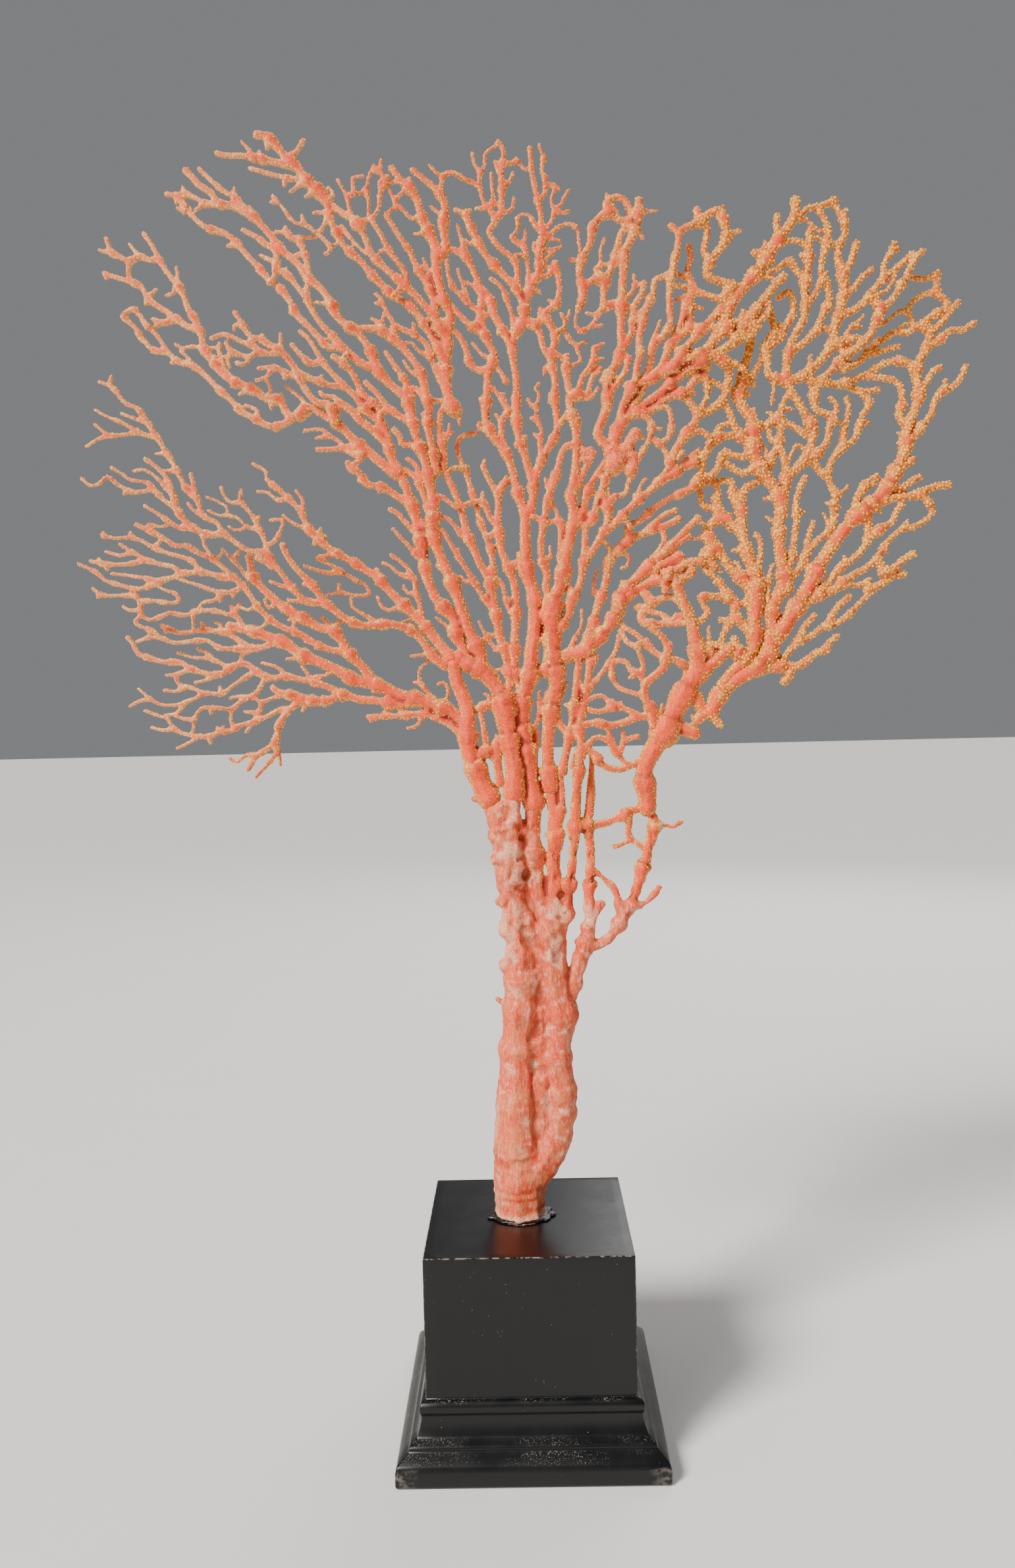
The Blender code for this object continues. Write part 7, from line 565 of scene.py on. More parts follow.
# Share of a bough's drawn radius that is rind under its calyx bumps, by radius in millimetres
SLIMMER = ((1.0, 3.0, 6.0), (0.86, 0.81, 0.84))
BUMP_ROOM = 0.88
LEAST_STEM_TWIG = 1.3

# How much of its swell a joint gets, by the bough's mean radius in millimetres
SWELL_SHARE = ((1.0, 2.4, 4.0, 7.0), (0.6, 1.0, 0.8, 0.1))
MOST_SWELL = 1.5
GRAIN_SEED = 7

# The glue round the stem's foot, millimetres: centre, half sizes, ring of crumbs and their number
GLUE_X = -3.0
GLUE_HALF = (12.6, 10.8, 1.7)
CRUMB_RING = (12.5, 10.6)
CRUMBS = 26
GLUE_GRID = 0.45

# The floor's half side in metres, and the way to the even light
FLOOR_HALF = 40.0
DAY_FROM = (-0.85, -0.85, 0.95)
WARM_WHITE = (1.0, 0.97, 0.93)
STUDIO_GREY = (0.80, 0.81, 0.83, 1.0)
STUDIO_STRENGTH = 0.27


def srgb(text):
    """Linear colour of an sRGB hex value."""
    channels = [int(text[i:i + 2], 16) / 255 for i in (1, 3, 5)]
    return [c / 12.92 if c <= 0.04045 else ((c + 0.055) / 1.055) ** 2.4 for c in channels]


def read_routes(text):
    """(radius at the root, radius at the tip, points) of every route in a limb's text."""
    routes = []
    for part in text.split("/"):
        words = part.split()
        radii = [float(w) for w in words if "," not in w]
        points = [tuple(float(v) for v in w.split(",")) for w in words if "," in w]
        if not radii:
            radii = TWIG_RADII
        elif len(radii) == 1:
            radii = (radii[0], round(max(LEAST_TIP, USUAL_TAPER * radii[0]), 2))
        routes.append((radii[0], radii[1], points))
    return routes


LIMBS = {name: read_routes(text) for name, text in ROUTES.items()}


class FanSettings(bpy.types.PropertyGroup):
    """Sizes and colours of the fan."""
    voxel: FloatProperty(name="Rind grid", description="Grid that the limbs are fused on",
                         default=0.0006, min=0.0003, unit="LENGTH", precision=5)
    keep: FloatProperty(name="Triangles kept", description="Share of the fused skin's triangles that is kept",
                        default=0.48, min=0.2, max=1.0)
    trunk_voxel: FloatProperty(name="Trunk grid", description="Grid that the stem is fused on",
                               default=0.0007, min=0.0003, unit="LENGTH", precision=5)
    swell: FloatProperty(name="Joint swell", description="Share by which a joint is wider than its bough",
                         default=0.72, min=0.0, max=0.9, subtype="FACTOR")
    calyx: FloatProperty(name="Calyx radius", description="Radius of a calyx bump",
                         default=0.00058, min=0.0002, unit="LENGTH", precision=5)
    calyx_gap: FloatProperty(name="Calyx spacing", description="Least distance between two calyx bumps",
                             default=0.00125, min=0.0006, unit="LENGTH", precision=5)
    rind: FloatVectorProperty(name="Rind", description="Smooth pink face of the boughs", size=3,
                              subtype="COLOR", default=srgb("#DA421A"))
    # The deep rind colour is the joints' own colour and also the painted shade in crevices and crotches
    rind_deep: FloatVectorProperty(name="Deep rind", description="Joints and crevices", size=3,
                                   subtype="COLOR", default=srgb("#8E2209"))
    flank: FloatVectorProperty(name="Flank", description="Orange flank between the calyx bumps", size=3,
                               subtype="COLOR", default=srgb("#CB6A22"))
    gold: FloatVectorProperty(name="Calyx", description="Yellow calyx bumps", size=3,
                              subtype="COLOR", default=srgb("#F8BE48"))
    cream: FloatVectorProperty(name="Pale calyx", description="Peach-cream twigs and bumps", size=3,
                               subtype="COLOR", default=srgb("#F7C380"))
    bark: FloatVectorProperty(name="Bark", description="Dull salmon of the stem", size=3,
                              subtype="COLOR", default=srgb("#DD6F44"))
    # The bark crevice colour is the fibres' own dark red and also the painted shade in the stem's hollows
    bark_deep: FloatVectorProperty(name="Bark crevices", description="Dark red between the fibres", size=3,
                                   subtype="COLOR", default=srgb("#8A2A18"))
    # The bare-patch colour also paints the light along the stem strands' side edges
    bark_pale: FloatVectorProperty(name="Bare patches", description="Pale lime where the rind wore off",
                                   size=3, subtype="COLOR", default=srgb("#EBC5A4"))


class PlinthSettings(bpy.types.PropertyGroup):
    """Sizes and colours of the plinth and its glue."""
    side: FloatProperty(name="Block side", description="Side of the square block", default=0.080,
                        unit="LENGTH")
    height: FloatProperty(name="Height", description="Height of block and foot", default=0.0816,
                          unit="LENGTH")
    edge: FloatProperty(name="Edge", description="Rounding of the edges", default=0.0005, unit="LENGTH",
                        precision=5)
    lacquer: FloatVectorProperty(name="Lacquer", description="Black satin lacquer", size=3,
                                 subtype="COLOR", default=srgb("#040405"))
    worn: FloatVectorProperty(name="Worn edge", description="Thin lacquer along the arrises", size=3,
                              subtype="COLOR", default=srgb("#8A8078"))
    glue: FloatVectorProperty(name="Glue", description="Dark set glue", size=3, subtype="COLOR",
                              default=srgb("#1B1512"))


class StageSettings(bpy.types.PropertyGroup):
    """Floor and light."""
    floor: FloatVectorProperty(name="Floor", description="Pale floor", size=3, subtype="COLOR",
                               default=srgb("#E4E2DE"))
    key: FloatProperty(name="Key light", description="Power of the soft boxes", default=13.0, unit="POWER")
    sun: FloatProperty(name="Daylight", description="Strength of the even light from the front left",
                       default=5.4)
    lens: FloatProperty(name="Lens", description="Focal length on a 36 mm sensor", default=27.14)


def add(tree, kind, values=None, **settings):
    """Add a shader node: settings are its properties, values its sockets' numbers or links."""
    node = tree.nodes.new("ShaderNode" + kind)
    for key, value in settings.items():
        setattr(node, key, value)
    for socket, value in (values or {}).items():
        if isinstance(value, bpy.types.NodeSocket):
            tree.links.new(value, node.inputs[socket])
        else:
            node.inputs[socket].default_value = value
    return node


def blended(tree, share, first, second):
    """Mixed colour of two colours or outputs."""
    ends = [tuple(c) + (1.0,) if not isinstance(c, bpy.types.NodeSocket) else c for c in (first, second)]
    return add(tree, "Mix", {0: share, 6: ends[0], 7: ends[1]}, data_type="RGBA").outputs[2]


def reckoned(tree, how, first, second):
    """Output of a Math node."""
    return add(tree, "Math", {0: first, 1: second}, operation=how).outputs[0]


def ranged(tree, value, low, high, start=0.0, end=1.0):
    """A value brought from low..high to start..end, clamped."""
    return add(tree, "MapRange", {0: value, 1: low, 2: high, 3: start, 4: end}).outputs[0]


def new_material(name):
    """Material with a Principled shader; returns the material, its tree and the shader."""
    mat = bpy.data.materials.new(name)
    mat.use_nodes = True
    tree = mat.node_tree
    return mat, tree, tree.nodes["Principled BSDF"]


def millimetres(tree, scale=(1.0, 1.0, 1.0)):
    """Object coordinates in millimetres, with a stretch along each axis."""
    place = add(tree, "TexCoord").outputs["Object"]
    return add(tree, "Mapping", {0: place, 3: tuple(s / MM for s in scale)}).outputs[0]


def noise(tree, place, size, detail=2.0, roughness=0.5):
    """Noise with patches about size millimetres across."""
    return add(tree, "TexNoise", {"Vector": place, "Scale": 1.0 / size, "Detail": detail,
                                  "Roughness": roughness}).outputs[0]


def mark(tree, name):
    """A value that the mesh carries at its points."""
    return add(tree, "Attribute", attribute_name=name).outputs["Fac"]


def rind_material(fan):
    """Dry limy rind of a gorgonian: a matt skin of fused spicules, about 0.3 mm grains.

    The eye gets salmon pink faces, deep orange joints, crotches darkened by painted shade, and rows of yellow
    calyces.
    """
    mat, tree, shader = new_material("limy_rind")
    place = millimetres(tree)
    grain = noise(tree, place, 0.55, 3.0, 0.6)
    cloud = noise(tree, place, 7.0, 3.0)
    pink = blended(tree, ranged(tree, cloud, 0.35, 0.7), fan.rind, [min(1.0, c * 1.25) for c in fan.rind])
    pink = blended(tree, ranged(tree, grain, 0.5, 0.8, 0.0, 0.38), pink, fan.cream)
    pink = blended(tree, ranged(tree, grain, 0.5, 0.25, 0.0, 0.45), pink, fan.rind_deep)
    cells = add(tree, "TexVoronoi", {"Vector": place, "Scale": 1.0 / 1.25, "Randomness": 0.85},
                feature="F1").outputs["Distance"]
    freckle = noise(tree, place, 1.1, 2.0)
    pale = mark(tree, "pale")
    bump_tone = blended(tree, pale, fan.gold, fan.cream)
    skirt = blended(tree, reckoned(tree, "MULTIPLY", pale, 0.55), fan.flank, fan.cream)
    side = blended(tree, ranged(tree, cells, 0.5, 0.28), skirt, bump_tone)
    side = blended(tree, ranged(tree, freckle, 0.56, 0.7, 0.0, 0.55), side, fan.rind_deep)
    face = blended(tree, mark(tree, "gold"), pink, side)
    face = blended(tree, reckoned(tree, "MULTIPLY", mark(tree, "joint"), 0.5), face, fan.rind_deep)
    # Painted shade: hollows and crotches are darkened towards the deep rind colour
    face = blended(tree, mark(tree, "hollow_shade"), face, fan.rind_deep)
    knob = blended(tree, ranged(tree, freckle, 0.4, 0.62, 0.0, 0.55), bump_tone, fan.flank)
    face = blended(tree, mark(tree, "calyx"), face, knob)
    face = blended(tree, reckoned(tree, "MULTIPLY", mark(tree, "scab"), 0.6), face,
                   blended(tree, ranged(tree, grain, 0.45, 0.75), fan.rind, fan.cream))
    bark, fibre = bark_tone(tree, fan, place, grain)
    old = mark(tree, "bark")
    tree.links.new(blended(tree, old, face, bark), shader.inputs["Base Color"])
    tree.links.new(ranged(tree, grain, 0.3, 0.7, 0.75, 0.52), shader.inputs["Roughness"])
    shader.inputs["Specular IOR Level"].default_value = 0.35
    relief = reckoned(tree, "ADD", grain, reckoned(tree, "MULTIPLY", mark(tree, "gold"),
                                                   ranged(tree, cells, 0.1, 0.5, 1.2, 0.0)))
    strands = reckoned(tree, "MULTIPLY", old, reckoned(tree, "MULTIPLY", fibre, 1.8))
    relief = reckoned(tree, "ADD", relief, strands)
    bump = add(tree, "Bump", {"Strength": 0.5, "Distance": 0.22 * MM, "Height": relief}).outputs[0]
    tree.links.new(bump, shader.inputs["Normal"])
    return mat


def bark_tone(tree, fan, place, grain):
    """Colour and fibre height of the stem's old rind: granular, streaked along, worn pale in patches, with
    painted light on the strands' side edges.
    """
    fibre = noise(tree, millimetres(tree, (1.0, 1.0, 0.25)), 0.9, 4.0, 0.65)
    cloud = noise(tree, place, 9.0, 4.0, 0.6)
    tone = blended(tree, ranged(tree, cloud, 0.38, 0.62), fan.bark, fan.rind)
    tone = blended(tree, ranged(tree, fibre, 0.46, 0.3, 0.0, 0.55), tone, fan.bark_deep)
    tone = blended(tree, ranged(tree, fibre, 0.54, 0.72, 0.0, 0.6), tone, fan.bark_pale)
    tone = blended(tree, ranged(tree, grain, 0.55, 0.75, 0.0, 0.5), tone, fan.bark_pale)
    # The pale mark is wear in patches and painted light along the strands' side edges
    tone = blended(tree, reckoned(tree, "MULTIPLY", mark(tree, "pale"), 0.75), tone,
                   blended(tree, ranged(tree, grain, 0.35, 0.6), fan.bark, fan.bark_pale))
    # Painted shade: the stem's hollows are darkened towards the bark crevice colour
    tone = blended(tree, mark(tree, "hollow_shade"), tone, fan.bark_deep)
    return blended(tree, reckoned(tree, "MULTIPLY", mark(tree, "calyx"), 0.8), tone, fan.gold), fibre


def lacquer_material(plinth):
    """Black satin lacquer on wood, rubbed by hand: soft reflections, dust and rubbed arrises."""
    mat, tree, shader = new_material("satin_lacquer")
    place = millimetres(tree)
    haze = noise(tree, place, 14.0, 4.0, 0.6)
    rub = noise(tree, place, 2.6, 4.0, 0.7)
    worn = reckoned(tree, "MULTIPLY", mark(tree, "arris"), ranged(tree, rub, 0.48, 0.6))
    dust = add(tree, "TexVoronoi", {"Vector": place, "Scale": 1.0 / 2.4, "Randomness": 1.0},
               feature="F1").outputs["Distance"]
    lie = reckoned(tree, "MULTIPLY", ranged(tree, dust, 0.075, 0.045),
                   ranged(tree, noise(tree, place, 11.0, 2.0), 0.5, 0.66))
    tone = blended(tree, ranged(tree, haze, 0.3, 0.75, 0.0, 0.35), plinth.lacquer,
                   [c * 2.6 for c in plinth.lacquer])
    tone = blended(tree, reckoned(tree, "MULTIPLY", worn, 0.8), tone, plinth.worn)
    tone = blended(tree, reckoned(tree, "MULTIPLY", lie, 0.5), tone, srgb("#B9B2A8"))
    height = add(tree, "SeparateXYZ", {"Vector": place}).outputs["Z"]
    faces_up = add(tree, "SeparateXYZ", {"Vector": add(tree, "TexCoord").outputs["Normal"]}).outputs["Z"]
    ledge = reckoned(tree, "MULTIPLY", ranged(tree, faces_up, 0.45, 0.9), ranged(tree, height, 31.0, 28.5))
    settled = reckoned(tree, "MULTIPLY", ranged(tree, noise(tree, place, 0.5, 2.0), 0.57, 0.68),
                       ranged(tree, noise(tree, place, 13.0, 3.0), 0.42, 0.7))
    settled = reckoned(tree, "MULTIPLY", settled, ledge)
    tone = blended(tree, reckoned(tree, "MULTIPLY", settled, 0.45), tone, srgb("#B9B2A8"))
    tree.links.new(tone, shader.inputs["Base Color"])
    tree.links.new(ranged(tree, haze, 0.25, 0.75, 0.26, 0.38), shader.inputs["Roughness"])
    shader.inputs["Specular IOR Level"].default_value = 0.4
    grain = noise(tree, millimetres(tree, (0.08, 1.0, 1.0)), 0.9, 3.0)
    relief = reckoned(tree, "ADD", reckoned(tree, "MULTIPLY", grain, 0.35), noise(tree, place, 3.5, 2.0))
    bump = add(tree, "Bump", {"Strength": 0.12, "Distance": 0.2 * MM, "Height": relief}).outputs[0]
    tree.links.new(bump, shader.inputs["Normal"])
    return mat


def glue_material(plinth):
    """Set epoxy glue with dust in it: dark, half glossy, pale where it is thin."""
    mat, tree, shader = new_material("set_glue")
    place = millimetres(tree)
    crumbs = noise(tree, place, 0.9, 4.0, 0.7)
    tone = blended(tree, ranged(tree, crumbs, 0.58, 0.7), plinth.glue, srgb("#8A7B6C"))
    tree.links.new(tone, shader.inputs["Base Color"])
    tree.links.new(ranged(tree, crumbs, 0.4, 0.7, 0.22, 0.6), shader.inputs["Roughness"])
    bump = add(tree, "Bump", {"Strength": 0.4, "Distance": 0.3 * MM, "Height": crumbs}).outputs[0]
    tree.links.new(bump, shader.inputs["Normal"])
    return mat


def floor_material(stage):
    """Pale matt paper floor."""
    mat, tree, shader = new_material("pale_floor")
    mist = noise(tree, millimetres(tree), 60.0, 2.0)
    tone = blended(tree, ranged(tree, mist, 0.3, 0.7, 0.0, 0.12), stage.floor, [c * 0.9 for c in stage.floor])
    tree.links.new(tone, shader.inputs["Base Color"])
    shader.inputs["Roughness"].default_value = 0.85
    return mat


def run_length(points):
    """Length of a route on the elevation."""
    return sum(hypot(a[0] - b[0], a[1] - b[1]) for a, b in zip(points, points[1:]))


def samples_of(route, depths):
    """Evenly spaced points of a route: x, z, depth, radius."""
    r0, r1, points = route
    total, run, out = run_length(points), 0.0, []
    for (a, b), (ya, yb) in zip(zip(points, points[1:]), zip(depths, depths[1:])):
        step = hypot(b[0] - a[0], b[1] - a[1])
        count = max(1, int(step / SAMPLE_STEP))
        for i in range(count):
            t = i / count
            radius = r0 + (r1 - r0) * (run + t * step) / total
            out.append((a[0] + (b[0] - a[0]) * t, a[1] + (b[1] - a[1]) * t, ya + (yb - ya) * t, radius))
        run += step
    out.append((points[-1][0], points[-1][1], depths[-1], r1))
    return out


def depth_near(net, point, reach):
    """Depth of the nearest drawn line, or None where there is none within reach."""
    if not len(net):
        return None
    gap = np.hypot(net[:, 0] - point[0], net[:, 1] - point[1])
    best = int(np.argmin(gap))
    return float(net[best, 2]) if gap[best] < reach + net[best, 3] else None


def drawn_depths():
    """Depth of every route point: rooted on its parent line, landed on the line it meets."""
    rng = random.Random(DEPTH_SEED)
    net, result = np.zeros((0, 4)), {}
    for name, routes in LIMBS.items():
        result[name] = []
        for route in routes:
            points = route[2]
            total = run_length(points)
            start = depth_near(net, points[0], ROOT_REACH)
            start = 0.0 if start is None else start
            lean = LEAN[name] + rng.uniform(-LEAN_SPREAD, LEAN_SPREAD)
            end = depth_near(net, points[-1], LANDING_REACH) if total > 6.0 else None
            if end is None or abs(end - start) > 0.6 * total:
                end = start + lean * total
            wave, phase = WAVE_DEPTH * min(1.0, total / 60.0), rng.uniform(0.0, 2.0 * pi)
            depths, run = [], 0.0
            for i, p in enumerate(points):
                if i:
                    run += hypot(p[0] - points[i - 1][0], p[1] - points[i - 1][1])
                t = run / total
                ripple = wave * sin(pi * t) * sin(run / WAVE_LENGTH + phase)
                depths.append(start + (end - start) * t + ripple)
            result[name].append(depths)
            net = np.vstack((net, samples_of(route, depths)))
    return result


def in_space(point, depth):
    """Push an elevation point along its sight line to a depth; millimetres."""
    k = (depth - EYE[1]) / -EYE[1]
    return (EYE[0] + (point[0] - EYE[0]) * k, depth, EYE[2] + (point[1] - EYE[2]) * k)


def smooth_line(knots, step):
    """Points about every step along a smooth curve through the knots (columns are carried along)."""
    p = np.vstack((2 * knots[0] - knots[1], knots, 2 * knots[-1] - knots[-2]))
    rows = []
    for a, b, c, d in zip(p, p[1:], p[2:], p[3:]):
        count = max(1, int(round(np.linalg.norm((c - b)[:3]) / step)))
        t = (np.arange(count) / count)[:, None]
        rows.append(0.5 * (2 * b + (c - a) * t + (2 * a - 5 * b + 4 * c - d) * t ** 2
                           + (3 * b - a - 3 * c + d) * t ** 3))
    rows.append(p[-2][None])
    return np.vstack(rows)


def joint_places(line, runs, mean, forks, rng):
    """Where the joints stand along a bough: at its forks, and between them where those lie far apart."""
    gaps = np.linalg.norm(line[None, :, :3] - forks[:, None], axis=2)
    near = gaps.argmin(axis=1)
    touching = gaps[np.arange(len(forks)), near] < line[near, 3] + 1.4
    length = runs[-1]
    wanted = sorted(r for r in runs[near[touching]] if 2.5 < r < length - 2.0)
    low, high = (11.0, 18.0) if mean > 2.2 else (8.0, 13.0) if mean > 1.5 else (6.0, 10.0)
    places, last = [], -0.4 * low
    for run in wanted + [length]:
        while run - last > 1.6 * high:
            last += rng.uniform(low, high)
            places.append(last)
        if run - last > 0.45 * low and run < length:
            places.append(run)
            last = run
    return [p for p in places if 1.0 < p < length - 1.5]


def bough_line(route, depths, rng, swell, forks, old, least):
    """Evenly spaced points of a bough in space, each with its radius and joint weight."""
    r0, r1, points = route
    total = run_length(points)
    knots, run = [], 0.0
    for i, (p, y) in enumerate(zip(points, depths)):
        if i:
            run += hypot(p[0] - points[i - 1][0], p[1] - points[i - 1][1])
        scale = (y - EYE[1]) / -EYE[1]
        knots.append((*in_space(p, y), (r0 + (r1 - r0) * run / total) * scale))
    line = smooth_line(np.array(knots), LINE_STEP)
    if not old:
        line[:, 3] = np.maximum(line[:, 3] * np.interp(line[:, 3], SLIMMER[0], SLIMMER[1]), least)
    runs = np.concatenate(([0.0], np.cumsum(np.linalg.norm(np.diff(line[:, :3], axis=0), axis=1))))
    radius, joint = line[:, 3] * (1.0 if old else BUMP_ROOM), np.zeros(len(line))
    mean = (r0 + r1) / 2
    for place in joint_places(line, runs, mean, forks, rng):
        size = swell * rng.uniform(0.6, 1.15) * np.interp(mean, SWELL_SHARE[0], SWELL_SHARE[1])
        reach = (1.6 + 0.75 * mean) * rng.uniform(0.8, 1.2)
        gap = runs - place
        shape = np.where(gap < 0, np.exp(-(gap / reach) ** 2), np.exp(-(gap / (0.32 * reach)) ** 4))
        radius += np.minimum(line[:, 3] * size, MOST_SWELL) * shape
        joint = np.maximum(joint, np.exp(-((gap - 0.42 * reach) / (0.22 * reach)) ** 2))
    radius *= 1.0 + np.array([rng.uniform(-0.035, 0.035) for _ in runs])
    if not old:
        radius *= 1.0 + 0.28 * np.exp(-(runs / (0.9 * mean + 1.0)) ** 2)
    tip = np.clip(1.0 - (runs[-1] - runs) / 2.2, 0.0, 1.0)
    radius *= 1.0 + 0.12 * tip
    return np.column_stack((line[:, :3], radius, joint))


def add_ball(bm, centre, radius):
    """Closed ball, millimetres."""
    made = bmesh.ops.create_icosphere(bm, subdivisions=2, radius=radius * MM)
    bmesh.ops.translate(bm, verts=made["verts"], vec=Vector(centre) * MM)


def tube_object(name, lines, balls):
    """Round tubes along the lines and balls at their ends, as one mesh object."""
    curve = bpy.data.curves.new(name + "_line", "CURVE")
    curve.dimensions = "3D"
    curve.bevel_depth = MM
    curve.bevel_resolution = 2
    curve.use_fill_caps = True
    for line in lines:
        spline = curve.splines.new("POLY")
        spline.points.add(len(line) - 1)
        spline.points.foreach_set("co", np.column_stack((line[:, :3] * MM, np.ones(len(line)))).ravel())
        spline.points.foreach_set("radius", line[:, 3])
    ob = bpy.data.objects.new(name + "_line", curve)
    bpy.context.scene.collection.objects.link(ob)
    mesh = bpy.data.meshes.new_from_object(ob.evaluated_get(bpy.context.evaluated_depsgraph_get()))
    bpy.data.objects.remove(ob, do_unlink=True)
    bm = bmesh.new()
    bm.from_mesh(mesh)
    for line in lines:
        for row in (line[0], line[-1]):
            add_ball(bm, row[:3], row[3])
    for centre, radius in balls:
        add_ball(bm, centre, radius)
    bm.to_mesh(mesh)
    bm.free()
    ob = bpy.data.objects.new(name, mesh)
    bpy.context.scene.collection.objects.link(ob)
    return ob


def apply_modifiers(ob):
    """Bake the modifiers of an object into its mesh."""
    mesh = bpy.data.meshes.new_from_object(ob.evaluated_get(bpy.context.evaluated_depsgraph_get()))
    ob.modifiers.clear()
    ob.data = mesh


def fuse(ob, voxel, passes, keep=1.0):
    """Fuse shells into one skin on a voxel grid, ease its steps and keep a share of its triangles."""
    mod = ob.modifiers.new("fuse", "REMESH")
    mod.mode = "VOXEL"
    mod.voxel_size = voxel
    ease = ob.modifiers.new("ease", "SMOOTH")
    ease.factor = 0.5
    ease.iterations = passes
    thin = ob.modifiers.new("thin", "DECIMATE")
    thin.ratio = keep
    apply_modifiers(ob)


def cloud_noise(points, size, seed):
    """Smooth noise from about -1 to 1 at points, lumps about size across; size may differ per axis."""
    places = points / np.array(size) + seed * 17.31
    return 1.5 * np.array([perlin(place) for place in places.tolist()])


def step_up(values, low, high):
    """Smooth step from 0 at low to 1 at high."""
    t = np.clip((values - low) / (high - low), 0.0, 1.0)
    return t * t * (3.0 - 2.0 * t)


def mesh_points(mesh):
    """Places and normals of a mesh's points, millimetres."""
    co, no = np.zeros(len(mesh.vertices) * 3), np.zeros(len(mesh.vertices) * 3)
    mesh.vertices.foreach_get("co", co)
    mesh.vertex_normals.foreach_get("vector", no)
    return co.reshape(-1, 3) / MM, no.reshape(-1, 3)


def neighbour_mean(edges, values):
    """Mean of the neighbours' values at every point."""
    count = np.bincount(edges.ravel(), minlength=len(values))
    total = np.bincount(edges[:, 0], values[edges[:, 1]], len(values))
    total += np.bincount(edges[:, 1], values[edges[:, 0]], len(values))
    return total / np.maximum(count, 1)


def store(mesh, name, values):
    """Keep a value at every point of a mesh."""
    layer = mesh.attributes.get(name) or mesh.attributes.new(name, "FLOAT", "POINT")
    layer.data.foreach_set("value", np.asarray(values, np.float32))


def nearest_rows(points, rows):
    """The line sample nearest to each point."""
    tree = KDTree(len(rows))
    for i, row in enumerate(rows):
        tree.insert(row[:3], i)
    tree.balance()
    return rows[[tree.find(p)[1] for p in points]]


def crust_marks(points, scabs):
    """How far each point lies in a crusted lump."""
    crust = np.zeros(len(points))
    for x, z, size, _ in scabs:
        gap = np.hypot(points[:, 0] - x, points[:, 2] - z)
        crust = np.maximum(crust, step_up(gap, size * 2.4, size * 1.3))
    return crust


def stem_crust(z):
    """How far the stem is lumpy and fibrous at a height, and how far it is crusted over."""
    high = step_up(z, OLD_END, OLD_FADE)
    return high, step_up(z, CRUST_START, CRUST_FULL) * high


def skin_lift(points, radius, old, crust):
    """Lift of the skin in millimetres: grain everywhere, and swellings, fibres and pits on the stem."""
    lift = 0.13 * cloud_noise(points, 2.4, 3) + 0.10 * cloud_noise(points, 1.25, 5)
    lift = lift * np.clip(radius / 2.0, 0.5, 1.4)
    if old:
        high, crusted = stem_crust(points[:, 2])
        lift += 0.45 * cloud_noise(points, 12.0, 11) + 0.17 * high * cloud_noise(points, (1.6, 1.6, 8.0), 13)
        lift += (0.1 + 0.5 * crusted) * cloud_noise(points, 4.3, 17)
        lift -= 0.8 * crusted * step_up(cloud_noise(points, (3.2, 3.2, 5.0), 19), 0.45, 0.8)
    return lift - crust * 0.5 * step_up(cloud_noise(points, 1.5, 23), 0.1, 0.5)


def hollow_shade_marks(mesh, points, normals):
    """How far each point lies in a dip between swellings: the mask for the painted shade in such hollows."""
    edges = np.zeros(len(mesh.edges) * 2, np.int64)
    mesh.edges.foreach_get("vertices", edges)
    edges = edges.reshape(-1, 2)
    mean = np.column_stack([neighbour_mean(edges, points[:, i]) for i in range(3)])
    bend = ((mean - points) * normals).sum(axis=1)
    for _ in range(3):
        bend = neighbour_mean(edges, bend)
    return step_up(bend, 0.004, 0.035)


def calyx_marks(points, side, patch, radius, right, far_left):
    """How thickly calyces grow at each point: on the flanks, all over at the right, thinly at far left."""
    x, z = points[:, 0], points[:, 2]
    mid = step_up(x + 7.0 * patch, 18.0, 45.0) * step_up(z, 290.0, 330.0)
    slender = step_up(radius, 3.4, 1.2)
    gold = step_up(side + 0.10 * patch, 0.60 - 0.26 * slender, 0.78 - 0.24 * slender)
    cover = step_up(cloud_noise(points, 4.0, 31) + 1.1 * step_up(radius, 2.6, 1.3) + 0.5 * side, 0.05, 0.6)
    gold = np.maximum(gold, right * cover)
    gold = np.maximum(gold, mid * step_up(patch + 0.4 * slender, 0.25, 0.6) * 0.8)
    gold = gold * np.clip(1.2 - 0.10 * radius, 0.45, 1.0) * step_up(z, 195.0, 235.0)
    wash = np.clip(far_left * step_up(radius, 1.9, 1.05) * (0.4 + 0.5 * patch), 0.0, 0.85)
    return np.maximum(gold, wash)


def wear_and_rim_light_marks(points, side, patch):
    """How far the stem's rind is pale: worn at the crust, one bare patch and the foot, and painted light
    along the side edges of the strands.
    """
    x, z = points[:, 0], points[:, 2]
    blotch = cloud_noise(points, 8.0, 41) + 0.8 * cloud_noise(points, 2.1, 43) + 0.4 * stem_crust(z)[1]
    # Painted light: the strands' side edges, as seen from the front, are made pale where light catches them
    rim = step_up(side, 0.88, 0.98) * step_up(cloud_noise(points, 14.0, 47), 0.0, 0.4)
    pale = np.clip(np.maximum(step_up(blotch, 0.5, 0.95), 0.85 * rim), 0.0, 1.0)
    bare = step_up(np.hypot((x + 9.0) / 6.0, (z - 196.0) / 12.0) + 0.3 * patch, 1.2, 0.6)
    return np.maximum(np.maximum(pale, 0.8 * bare), step_up(z + 1.3 * patch, 85.5, 84.0))


